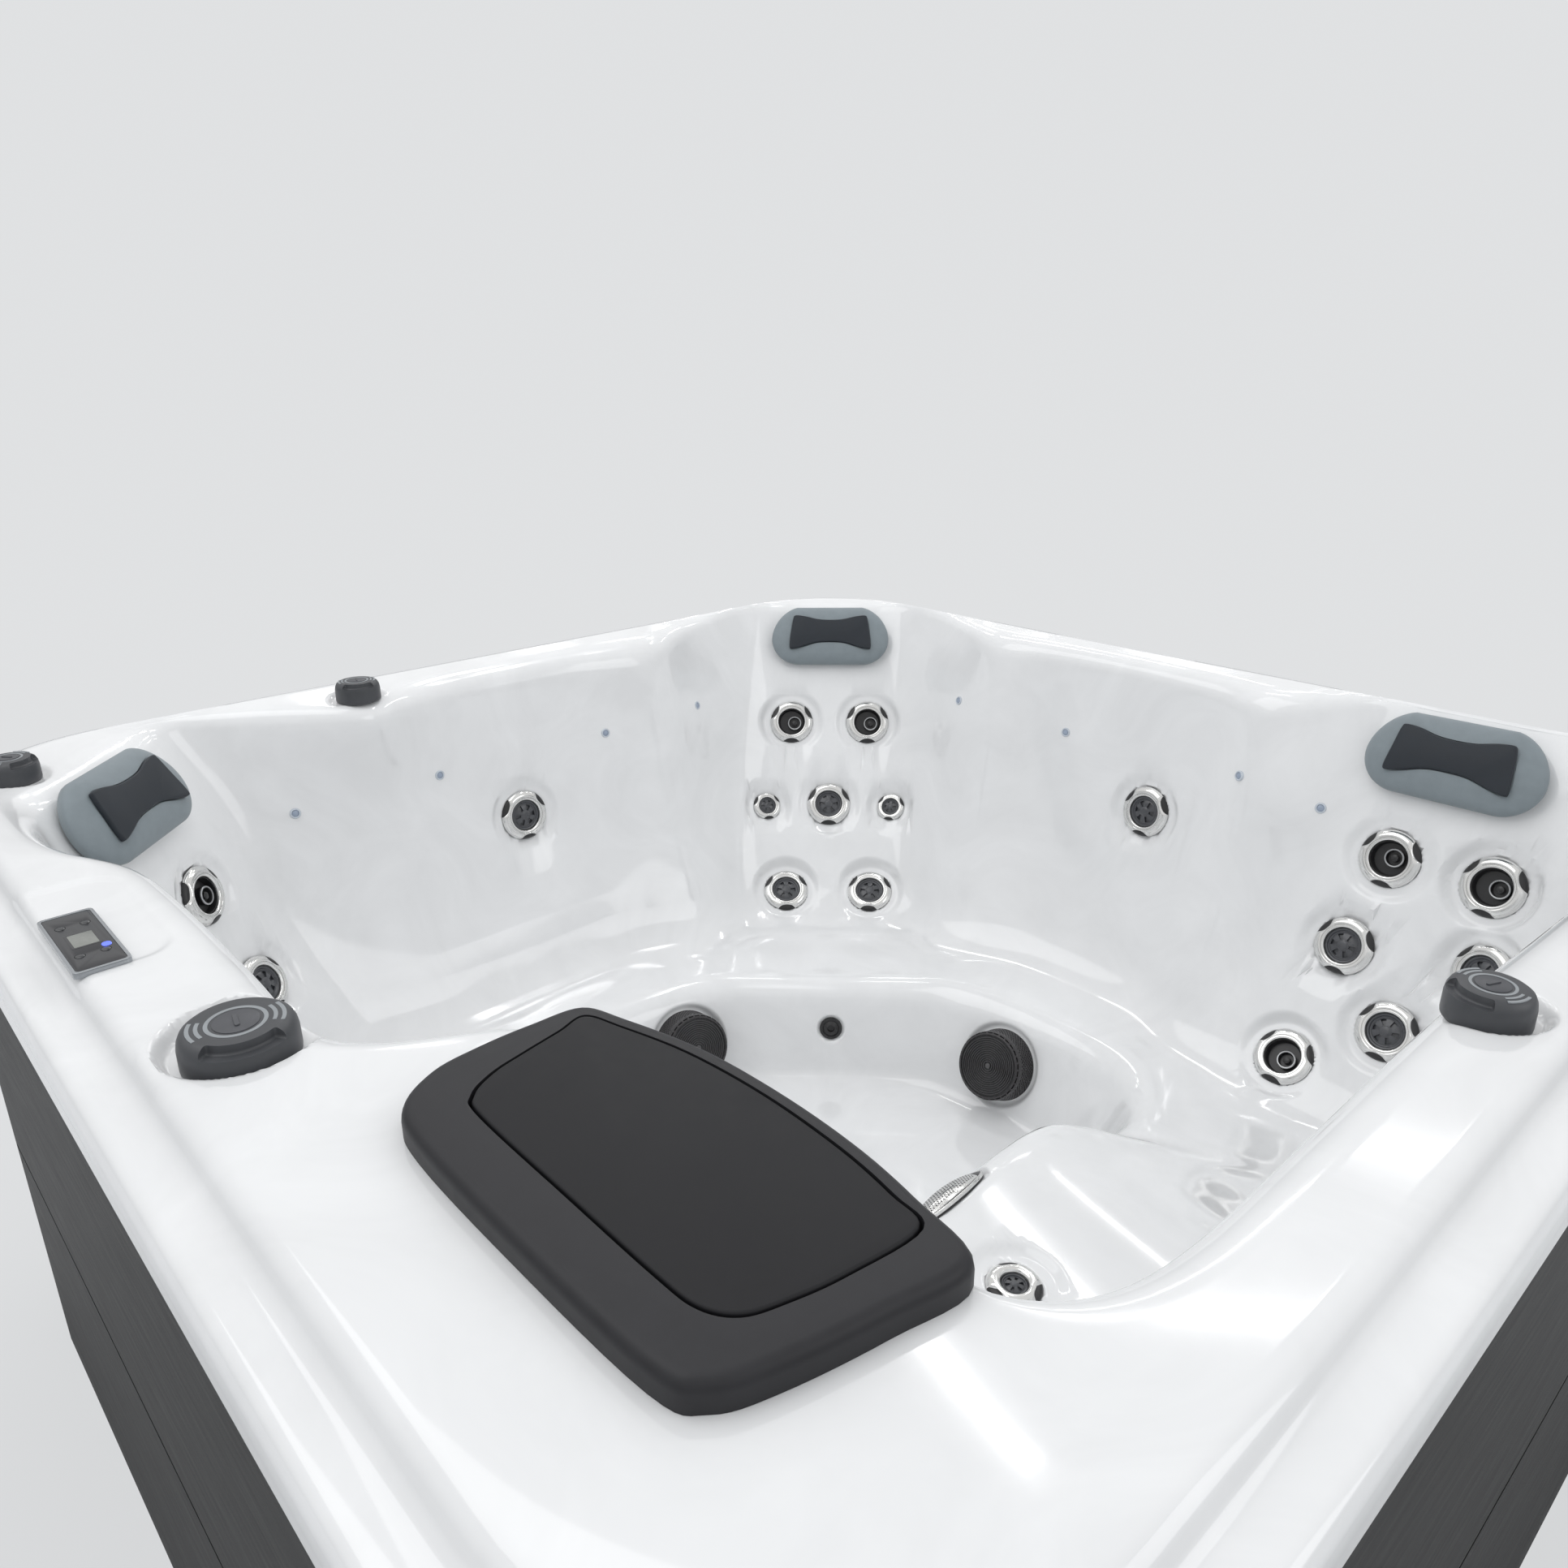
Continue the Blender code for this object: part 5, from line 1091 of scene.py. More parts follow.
    def build(self) -> Piece:
        """Makes the shell with its recesses, the filter's well and the weir's window.

        Returns:
            The dressed shell.
        """
        table = self.table()
        shell = self.skin(table)
        for inside, outside in self.refined:
            self.refine(shell, self.near(inside, outside))
        self.settle(shell, table)
        x, y = self.well_spot
        top = self.form.rim_height
        well = turned("well_cutter", [(self.well_radius, top + height) for height in self.well_heights])
        cut(shell, place(well, moved(x, y)))
        low, high = self.window_heights
        half = self.window_width / 2
        cut(shell, block("window_cutter", (x - half, y, low), (x + half, y + self.window_depth, high)))
        smooth(shell, 38)
        if "row" in shell.data.attributes:
            shell.data.attributes.remove(shell.data.attributes["row"])
        return dress(shell, ACRYLIC, replaces="acrylic_shell")


# Where the fittings sit


@dataclass(frozen=True)
class Seats:
    """Frames of the fittings on the basin's wall, where the solids have them."""

    form: ShellForm
    pillow_length: float = 0.271
    pillow_height: float = 0.145
    pillow_middle: float = 0.916
    pillow_span: float = 0.4
    pillow_clearance: float = 0.0005
    pillow_corner: float = 0.42
    pillow_arch: float = 0.16
    pillow_foot: float = 0.010

    def on_wall(self, degrees: float, share: float, footprint: float) -> Matrix:
        """Makes the frame of a fitting, square to the wall's mean plane under it.

        Args:
            degrees: Its heading about the tub's axis.
            share: Its height as a share of the rim's.
            footprint: How far the mean plane reaches.

        Returns:
            The frame.
        """
        heading, height = math.radians(degrees), share * self.form.rim_height
        point = self.form.cad_wall(heading, height)
        turn = footprint / Vector(point.xy).length
        across = self.form.cad_wall(heading + turn, height) - self.form.cad_wall(heading - turn, height)
        along = self.form.cad_wall(heading, height + footprint) - self.form.cad_wall(heading, height - footprint)
        return seat_frame(point, along.cross(across))

    def on_edge(self, degrees: float, half_width: float) -> Matrix:
        """Makes the frame of a fitting on the rounded front edge of the seats.

        Args:
            degrees: Its heading about the tub's axis.
            half_width: How far the edge's mean direction reaches to each side.

        Returns:
            The frame.
        """
        heading = math.radians(degrees)
        edge = self.form.cad_edge
        point = edge(heading, 0)
        turn = half_width / Vector(point.xy).length
        across = edge(heading + turn, 0) - edge(heading - turn, 0)
        along = edge(heading, -1) - edge(heading, 1)
        return seat_frame(point, along.cross(across))

    def pillow_outline(self, grow: float = 0.0, steps: int = 40) -> list[Point]:
        """Draws a pillow from the front: round ends and an arched upper side.

        Args:
            grow: How far the outline is moved out.
            steps: How many points it has.

        Returns:
            The outline's points.
        """
        half_x, half_y = self.pillow_length / 2 + grow, self.pillow_height / 2 + grow
        radius = self.pillow_corner * self.pillow_height
        outline = []
        for step in range(steps):
            turn = FULL_TURN * step / steps
            c, s = math.cos(turn), math.sin(turn)
            x = math.copysign(half_x - radius, c) + radius * c
            y = math.copysign(half_y - radius, s) + radius * s
            if y > 0:
                y -= self.pillow_arch * self.pillow_height * (x / half_x) ** 2
            outline.append((x, y))
        return outline

    def pillow(self, degrees: float) -> Matrix:
        """Makes the frame at a pillow's back, a clearance off the wall.

        Args:
            degrees: The heading of its middle.

        Returns:
            The frame; Z points out of the wall.
        """
        heading, height = math.radians(degrees), self.pillow_middle * self.form.rim_height
        wall = self.form.cad_wall
        middle = wall(heading, height)
        side, rise = self.pillow_length * self.pillow_span, self.pillow_height * self.pillow_span
        turn = side / Vector(middle.xy).length
        across = wall(heading + turn, height) - wall(heading - turn, height)
        along = wall(heading, height + rise / 2) - wall(heading, height - rise)
        seat = seat_frame(middle, along.cross(across))
        out = seat.to_3x3() @ Vector((0, 0, 1))
        lift = max(self._buried(seat @ Vector((x, y, 0)), out) for x, y in self.pillow_outline(-self.pillow_foot))
        return seat @ moved(z=lift + self.pillow_clearance)

    def _buried(self, point: Vector, out: Vector) -> float:
        """Measures how far a point lies behind the wall.

        Args:
            point: The point.
            out: The direction that points out of the wall.

        Returns:
            The distance along that direction.
        """
        heading = math.atan2(point.y, point.x)
        reach = Vector(point.xy).length
        wall = Vector(self.form.cad_wall(heading, point.z).xy).length
        inwards = -(out.x * point.x + out.y * point.y) / reach
        return (reach - wall) * Vector((inwards, out.z)).normalized().x


# Jets: sections as (radius, height) points


BEZEL_SECTION = (
    (0.0485, 0.0002), (0.0490, 0.0012), (0.0488, 0.0028), (0.0475, 0.0052), (0.0450, 0.0078), (0.0415, 0.0098),
    (0.0380, 0.0107), (0.0365, 0.0103), (0.0358, 0.0088), (0.0350, 0.0088), (0.0343, 0.0100), (0.0325, 0.0103),
    (0.0308, 0.0090), (0.0300, 0.0060), (0.0298, -0.0060), (0.0325, -0.0060), (0.0335, 0.0002),
)
DOMED_SECTION = (
    (0.0485, 0.0002), (0.0490, 0.0014), (0.0486, 0.0034), (0.0465, 0.0066), (0.0430, 0.0098), (0.0385, 0.0124),
    (0.0340, 0.0136), (0.0300, 0.0132), (0.0265, 0.0118), (0.0243, 0.0088), (0.0232, 0.0050), (0.0230, -0.0040),
    (0.0325, -0.0060), (0.0335, 0.0002),
)
SEAT_SECTION = (
    (0.0488, 0.0004), (0.0482, 0.0035), (0.0455, 0.0062), (0.0415, 0.0075), (0.0365, 0.0075), (0.0365, 0.0004),
)
BOWL_SECTION = (
    (0.0303, -0.0088), (0.0303, 0.0040), (0.0292, 0.0045), (0.0286, -0.0030), (0.0265, -0.0068), (0.0, -0.0072),
)


@dataclass
class Jets:
    """The hydrotherapy jets: a scalloped steel bezel on a black seat, round a bowl with its nozzle."""

    joints: list[dict]
    small_share: float = 0.64
    calf_share: float = 0.70
    calf_turn: float = 45.0
    calf_centre: float = 0.77
    calf_recess: float = 0.080
    small_recess: float = 0.075
    recess_radius: float = 0.0665
    pocket_radius: float = 0.0455
    pocket_depth: float = 0.0105
    pocket_soft: float = 0.003
    scallop_centre: float = 0.0685
    domed_scallop_centre: float = 0.0640
    scallop_radius: float = 0.028
    scallop_reach: Point = (0.036, 0.049)
    scallop_headings: tuple[float, ...] = (-90.0, 30.0, 150.0)
    sides: int = 96
    slot_reach: Point = (0.0096, 0.0208)
    slot_half_span: float = 17.0
    slot_depth: float = 0.0042
    nozzle_spot: Point = (0.0070, -0.0030)
    nozzle_spots: tuple[tuple[str, Point], ...] = (
        ("lounge_jet_top_left", (0.0069, 0.0032)), ("lounge_jet_top_right", (0.0105, 0.0)),
    )
    rotary: tuple[str, ...] = (
        "far_jet_top_left", "far_jet_top_right", "lounge_jet_top_left", "lounge_jet_top_right",
        "lounge_jet_low_left", "left_jet_top_left", "left_jet_top_right",
    )

    def places(self) -> list[tuple[str, Matrix, float]]:
        """Returns each jet's name, its seat's frame and its scale."""
        found = []
        for joint in self.joints:
            body = joint["child"]
            if not body.endswith("_bezel"):
                continue
            name = body.removesuffix("_bezel")
            scale = self.small_share if "small" in name else self.calf_share if "calf" in name else 1.0
            found.append((name, seat_frame(joint["pos_m"], joint["axis"]), scale))
        return found

    def recesses(self) -> list[Recess]:
        """Returns the round recess and the pocket of each jet."""
        found = []
        special = {self.calf_share: self.calf_recess, self.small_share: self.small_recess}
        for _, seat, scale in self.places():
            found.append(Recess.round(seat, special.get(scale, self.recess_radius) * scale))
            floor = seat @ moved(z=-self.pocket_depth * scale)
            found.append(Recess.round(floor, self.pocket_radius * scale, self.pocket_soft, self.pocket_soft))
        return found

    def bezel(self, name: str, profile: Sequence[Point], centre: float) -> Piece:
        """Turns a steel ring and draws its edge in at three places.

        Args:
            name: The bezel's name.
            profile: Its section.
            centre: How far the scallops' centres are from the bezel's.

        Returns:
            The bezel.
        """
        ring = turned(name, profile, self.sides, ring=True)
        self.scallop(ring, centre)
        return smooth(ring, 50)

    def scallop(self, ring: Piece, centre: float) -> None:
        """Draws the edge of a bezel in at three places.

        Args:
            ring: The bezel.
            centre: How far the scallops' centres are from the bezel's.
        """
        inner, outer = self.scallop_reach
        for vertex in ring.data.vertices:
            reach = math.hypot(vertex.co.x, vertex.co.y)
            if reach <= inner:
                continue
            heading = math.degrees(math.atan2(vertex.co.y, vertex.co.x))
            away = min(abs((heading - middle + 180) % 360 - 180) for middle in self.scallop_headings)
            side = centre * math.sin(math.radians(away))
            if side >= self.scallop_radius:
                continue
            most = centre * math.cos(math.radians(away)) - math.sqrt(self.scallop_radius**2 - side**2)
            pull = max(outer - most, 0) * (reach - inner) / (outer - inner)
            vertex.co.xy = vertex.co.xy * ((reach - pull) / reach)

    def nozzle(self) -> tuple[Piece, Piece]:
        """Turns the rotary nozzle, which stands off the bowl's middle, and its light ring.

        Returns:
            The nozzle and the ring.
        """
        tube = [
            (0.0150, -0.0070), (0.0154, -0.0010), (0.0150, 0.0024), (0.0138, 0.0034), (0.0126, 0.0030),
            (0.0120, 0.0015), (0.0116, -0.0045), (0.0, -0.0050),
        ]
        ring = [(0.0156, 0.0018), (0.0156, 0.0034), (0.0146, 0.0044), (0.0132, 0.0042), (0.0128, 0.0026)]
        stem = turned("stem_pattern", [(0.0060, -0.0048), (0.0060, 0.0018), (0.0050, 0.0026), (0.0, 0.0026)], 32)
        cup = joined("nozzle_pattern", [turned("cup_pattern", tube, 48), stem])
        return cup, turned("nozzle_ring_pattern", ring, 48, ring=True)

    def spreader(self) -> Piece:
        """Turns the directional jet's domed centre and sinks six slots in it.

        Returns:
            The centre.
        """
        profile = [
            (0.0294, -0.0060), (0.0294, 0.0046), (0.0284, 0.0056), (0.0262, 0.0050), (0.0246, 0.0028), (0.0228, 0.0026),
            (0.0212, 0.0040), (0.0180, 0.0052), (0.0140, 0.0060), (0.0095, 0.0066), (0.0078, 0.0082), (0.0048, 0.0088),
            (0.0, 0.0089),
        ]
        dome = turned("spreader_pattern", profile, 72)

        def in_slot(face: Face) -> bool:
            """Says whether a face lies in one of the six slots."""
            reach = math.hypot(face.center.x, face.center.y)
            heading = math.degrees(math.atan2(face.center.y, face.center.x))
            inner, outer = self.slot_reach
            near_slot = abs((heading + 30) % 60 - 30) < self.slot_half_span
            return inner < reach < outer and face.center.z > 0.003 and near_slot

        pick_faces(dome, in_slot)
        bpy.ops.mesh.inset(thickness=0.0006)
        extrude(-self.slot_depth)
        close_edit()
        return smooth(dome, 35)

    def build(self) -> list[Piece]:
        """Makes every jet from one pattern of each piece.

        Returns:
            The pieces.
        """
        bezel = self.bezel("bezel_pattern", BEZEL_SECTION, self.scallop_centre)
        domed = self.bezel("domed_bezel_pattern", DOMED_SECTION, self.domed_scallop_centre)
        seat = turned("seat_pattern", SEAT_SECTION, self.sides, ring=True)
        bowl, spreader = turned("bowl_pattern", BOWL_SECTION, 64), self.spreader()
        cup, cup_ring = self.nozzle()
        offsets = dict(self.nozzle_spots)
        made = []
        for name, frame_of, scale in self.places():
            body, calf = name + "_bezel", "calf" in name
            turn = Matrix.Rotation(math.radians(self.calf_turn if calf else 0.0), 4, "Z")
            at = frame_of @ turn @ Matrix.Scale(scale, 4)
            ring = copied(domed if calf else bezel, name + "_ring", at)
            made.append(dress(ring, STEEL, body, replaces=name))
            parts = [(seat, "_seat", at, BLACK, "black_plastic"), (bowl, "_bowl", at, BLACK, "black_plastic")]
            if name in self.rotary:
                x, y = offsets.get(name, self.nozzle_spot)
                off = at @ moved(x, y)
                parts.append((cup, "_nozzle", off, BLACK, "black_plastic"))
                parts.append((cup_ring, "_nozzle_ring", off, RING_GREY, "bright_metal"))
            else:
                share = self.calf_centre if calf else 1.0
                centre = at @ Matrix.Diagonal((share, share, 1, 1))
                parts.append((spreader, "_spreader", centre, SPIDER, "black_plastic"))
            for pattern, suffix, spot, finish, slot in parts:
                made.append(dress(copied(pattern, name + suffix, spot), finish, body))
        discard([bezel, domed, seat, bowl, spreader, cup, cup_ring])
        return made


# The footwell's fittings


@dataclass
class FootwellFittings:
    """The suction covers, the return fitting, the foot jet and the small lights in the walls."""

    seats: Seats
    cover_radius: float = 0.068
    cover_height: float = 0.055
    cover_taper: float = 0.004
    cover_edge: float = 0.006
    cover_footprint: float = 0.03
    cover_recess: float = 0.076
    recess_depth: float = 0.006
    face_radius: float = 0.0575
    hub_radius: float = 0.0050
    slots: int = 13
    ring_width: float = 0.0012
    grille_height: float = 0.0030
    side_rows: int = 11
    sides: int = 120
    return_radius: float = 0.0225
    foot_jet_length: float = 0.16
    foot_jet_width: float = 0.058
    foot_jet_crown: float = 0.022
    foot_jet_depth: float = 0.010
    grain: float = 0.0005
    pierce_depth: float = 0.0026
    notch_depth: float = 0.0040
    plate_grid: tuple[int, int] = (44, 14)
    plate_shares: Point = (0.70, 0.88)
    hole_depth: float = 0.0016
    plate_thickness: float = 0.004
    light_footprint: float = 0.012
    covers: tuple[tuple[str, float, float], ...] = (
        ("suction_cover_left", 168.8, 0.187), ("suction_cover_right", 92.0, 0.187),
    )
    return_spot: Point = (133.8, 0.199)
    foot_jet_heading: float = -19.5
    lights: tuple[Point, ...] = (
        (208.5, 0.709), (193.1, 0.717), (168.1, 0.720), (153.0, 0.723), (117.6, 0.736), (101.2, 0.723), (74.8, 0.740),
        (66.5, 0.713),
    )

    def cover_frame(self, degrees: float, share: float) -> Matrix:
        """Returns the frame of a suction cover on the floor of its recess."""
        return self.seats.on_wall(degrees, share, self.cover_footprint) @ moved(z=-self.recess_depth)

    def return_frame(self) -> Matrix:
        """Returns the frame of the return fitting on the floor of its recess."""
        return self.seats.on_wall(*self.return_spot, self.return_radius) @ moved(z=-self.recess_depth)

    def foot_jet_frame(self) -> Matrix:
        """Returns the frame of the foot jet on the floor of its recess."""
        seat = self.seats.on_edge(self.foot_jet_heading, self.foot_jet_width / 2)
        return seat @ moved(z=-self.foot_jet_depth)

    def recesses(self) -> list[Recess]:
        """Returns the recess of each fitting."""
        half_x, half_y = self.foot_jet_length / 2 + 0.002, self.foot_jet_width / 2 + 0.002
        found = [
            Recess.round(self.cover_frame(degrees, share), self.cover_recess, 0.006, 0.004, height=0.07)
            for _, degrees, share in self.covers
        ]
        found.append(Recess.round(self.return_frame(), self.return_radius + 0.003, 0.004, 0.002, height=0.05))
        found.append(Recess(self.foot_jet_frame(), half_x, half_y, half_y, 0.005, 0.002, height=0.04))
        return found

    def cover(self) -> Piece:
        """Turns a drum, sinks its face, notches its edge and pierces its side.

        Returns:
            The cover's pattern.
        """
        foot, rim = self.cover_radius, self.cover_radius - self.cover_taper
        top, shoulder = self.cover_height, self.cover_height - self.cover_edge
        rows = self.side_rows
        low, brim, grille = 0.0024, self.face_radius, top - self.grille_height
        start = foot - 0.0008
        profile = [(foot, 0.0), (foot, 0.0018)]
        profile += [(start - (start - rim) * k / rows, low + (shoulder - low) * k / rows) for k in range(rows + 1)]
        profile += [(rim - 0.0010, shoulder + 0.0026), (rim - 0.0030, top - 0.0012), (rim - 0.0055, top - 0.0001)]
        profile += [(brim, top - 0.0006), (brim - 0.0006, grille), (0.0, grille)]
        drum = turned("cover_pattern", profile, self.sides)

        def turn_of(face: Face) -> int:
            """Returns the number of a face's column round the drum."""
            heading = math.atan2(face.center.y, face.center.x) % FULL_TURN
            return int(heading / FULL_TURN * self.sides)

        def in_notch(face: Face) -> bool:
            """Says whether a face lies in a notch of the edge."""
            return shoulder + 0.0028 < face.center.z < top - 0.0007 and turn_of(face) % 4 > 0

        def in_side(face: Face) -> bool:
            """Says whether a face is one of the side's openings."""
            row = int((face.center.z - low) / ((shoulder - low) / rows))
            return 0.003 < face.center.z < shoulder * 0.86 and (row + turn_of(face)) % 2 == 0

        pick_faces(drum, in_side)
        bpy.ops.mesh.inset(thickness=self.grain, use_individual=True)
        bpy.ops.mesh.extrude_region_shrink_fatten(TRANSFORM_OT_shrink_fatten={"value": -self.pierce_depth})
        close_edit()
        pick_faces(drum, in_notch)
        bpy.ops.mesh.extrude_region_shrink_fatten(TRANSFORM_OT_shrink_fatten={"value": -self.notch_depth})
        close_edit()
        return smooth(drum, 35)

    def grille(self) -> tuple[Piece, Piece]:
        """Makes the black disc in the cover's face, a dark sheet that paints the shade in the slots between the rings,
        and the thin rings that stand on it.

        Returns:
            The disc and the rings.
        """
        low, top = self.cover_height - self.grille_height + 0.0001, self.cover_height
        foot, reach = low + 0.0002, self.face_radius - 0.0008
        disc = turned("disc_pattern", [(reach, low), (reach, low + 0.0003), (0.0, low + 0.0003)], 96)
        step, half = (reach - self.hub_radius) / self.slots, self.ring_width / 2
        rings = [turned("hub_pattern", [(self.hub_radius, foot), (self.hub_radius, top), (0.0, top + 0.0006)], 48)]
        for middle in (self.hub_radius + step * k for k in range(1, self.slots)):
            crest = half * 0.6
            profile = [(middle + half, foot), (middle + crest, top), (middle - crest, top), (middle - half, foot)]
            rings.append(turned("ring_pattern", profile, 96, ring=True))
        return disc, smooth(joined("rings_pattern", rings), 35)

    def eyeball(self) -> Piece:
        """Turns the return fitting: a collar with a ball and its bore.

        Returns:
            The fitting.
        """
        r = self.return_radius
        profile = [
            (r, 0.0), (r, 0.0030), (r - 0.0012, 0.0046), (r - 0.0060, 0.0052), (r - 0.0070, 0.0038), (0.0135, 0.0046),
            (0.0110, 0.0066), (0.0078, 0.0076), (0.0068, 0.0070), (0.0064, 0.0010), (0.0, 0.0008),
        ]
        return turned("return_ring", profile, 64)

    def foot_jet(self) -> list[Piece]:
        """Makes the foot jet: a domed dark holder, a steel rim and a perforated steel plate over its middle.

        Returns:
            The dressed pieces.
        """
        seat = self.foot_jet_frame()
        half_x, half_y, crown = self.foot_jet_length / 2, self.foot_jet_width / 2, self.foot_jet_crown
        low = 0.0065

        def oval(share: float, grow: float = 0.0) -> list[Point]:
            """Draws the jet's oval outline, scaled and then grown."""
            turns = (FULL_TURN * k / 96 for k in range(96))
            return [((half_x * share + grow) * math.cos(t), (half_y * share + grow) * math.sin(t)) for t in turns]

        def dome(x: float, y: float) -> float:
            """Returns the height of the jet's dome at a point."""
            return low + (crown - 0.0014 - low) * (1 - (x / half_x) ** 2 - (y / half_y) ** 2)

        levels = [(1.0, low)]
        levels += [(1 - k / 12, low + (crown - 0.0018 - low) * (1 - (1 - k / 12) ** 2)) for k in range(1, 12)]
        holder = raised("foot_jet_holder", oval(1.0, -0.0012), 0.0002, low)
        pick_faces(holder, lambda face: face.normal.z > 0.9)
        for (before, height), (share, after) in zip(levels, levels[1:]):
            extrude(after - height)
            taper(share / before, after)
        extrude(0.0001)
        bpy.ops.mesh.merge(type="CENTER")
        close_edit()
        face_outwards(holder)
        smooth(holder, 40)
        rim = raised("foot_jet_rim", oval(1.0), 0.0030, low + 0.0014)
        cut(rim, raised("rim_cutter", oval(1.0, -0.0030), -0.01, 0.03))
        soften(rim, 0.0009, 3, 50)
        deselect_all()
        columns, lines = self.plate_grid
        share_x, share_y = self.plate_shares
        bpy.ops.mesh.primitive_grid_add(x_subdivisions=columns, y_subdivisions=lines, size=2.0)
        plate = named(bpy.context.object, "foot_jet_plate")
        for vertex in plate.data.vertices:
            x = vertex.co.x * half_x * share_x
            y = vertex.co.y * share_y * half_y * math.sqrt(1 - (x / half_x) ** 2)
            vertex.co = (x, y, dome(x, y))

        def is_hole(face: Face) -> bool:
            """Says whether a face is one of the plate's holes."""
            column, row = face.index % columns, face.index // columns
            return 0 < row < lines - 1 and 0 < column < columns - 1 and (row + column) % 2 == 0

        pick_faces(plate, is_hole)
        bpy.ops.mesh.inset(thickness=0.0003, use_individual=True)
        extrude(-self.hole_depth)
        bpy.ops.mesh.select_mode(type="EDGE")
        bpy.ops.mesh.select_all(action="DESELECT")
        bpy.ops.mesh.select_non_manifold()
        bpy.ops.mesh.extrude_edges_move(TRANSFORM_OT_translate={"value": (0, 0, -self.plate_thickness)})
        bpy.ops.mesh.edge_face_add()
        close_edit()
        face_outwards(plate)
        smooth(plate, 35)
        made = [dress(place(holder, seat), BLACK, replaces="foot_jet")]
        return made + [dress(place(piece, seat), STEEL) for piece in (smooth(rim, 50), plate)]

    def build(self) -> list[Piece]:
        """Makes the fittings.

        Returns:
            The pieces.
        """
        made = []
        cover = self.cover()
        disc, rings = self.grille()
        for name, degrees, share in self.covers:
            at = self.cover_frame(degrees, share) @ moved(z=CLEARANCE)
            made.append(dress(copied(cover, name + "_drum", at), COVER, replaces=name))
            # Painted shade: the black disc under the rings stands in for the shade in the slots between them.
            made.append(dress(copied(disc, name + "_disc", at), BLACK))
            # Painted highlight: the rings' lighter grey stands in for light falling on their tops.
            made.append(dress(copied(rings, name + "_rings", at), GRILLE_HIGHLIGHT))
        discard([cover, disc, rings])
        at = self.return_frame() @ moved(z=CLEARANCE)
        made.append(dress(place(self.eyeball(), at), BLACK, replaces="return_fitting"))
        made += self.foot_jet()
        return made + self.wall_lights()

    def wall_lights(self) -> list[Piece]:
        """Makes the small lights in the basin's walls.

        Returns:
            The pieces.
        """
        profile = [
            (0.0092, -0.0020), (0.0092, 0.0012), (0.0084, 0.0022), (0.0066, 0.0024), (0.0058, 0.0012),
            (0.0058, -0.0020),
        ]
        dome = [(0.0058, -0.0020), (0.0058, 0.0008), (0.0046, 0.0019), (0.0022, 0.0025), (0.0, 0.0026)]
        ring, lens = turned("light_ring_pattern", profile, 40, ring=True), turned("lens_pattern", dome, 32)
        made = []
        rim = self.seats.form.rim_height
        for number, (degrees, height) in enumerate(self.lights, 1):
            at = self.seats.on_wall(degrees, height / rim, self.light_footprint)
            made.append(dress(copied(ring, f"wall_light_{number}_ring", at), LIGHT_RING))
            made.append(dress(copied(lens, f"wall_light_{number}_lens", at), LENS))
        discard([ring, lens])
        return made


# Knobs on the rim


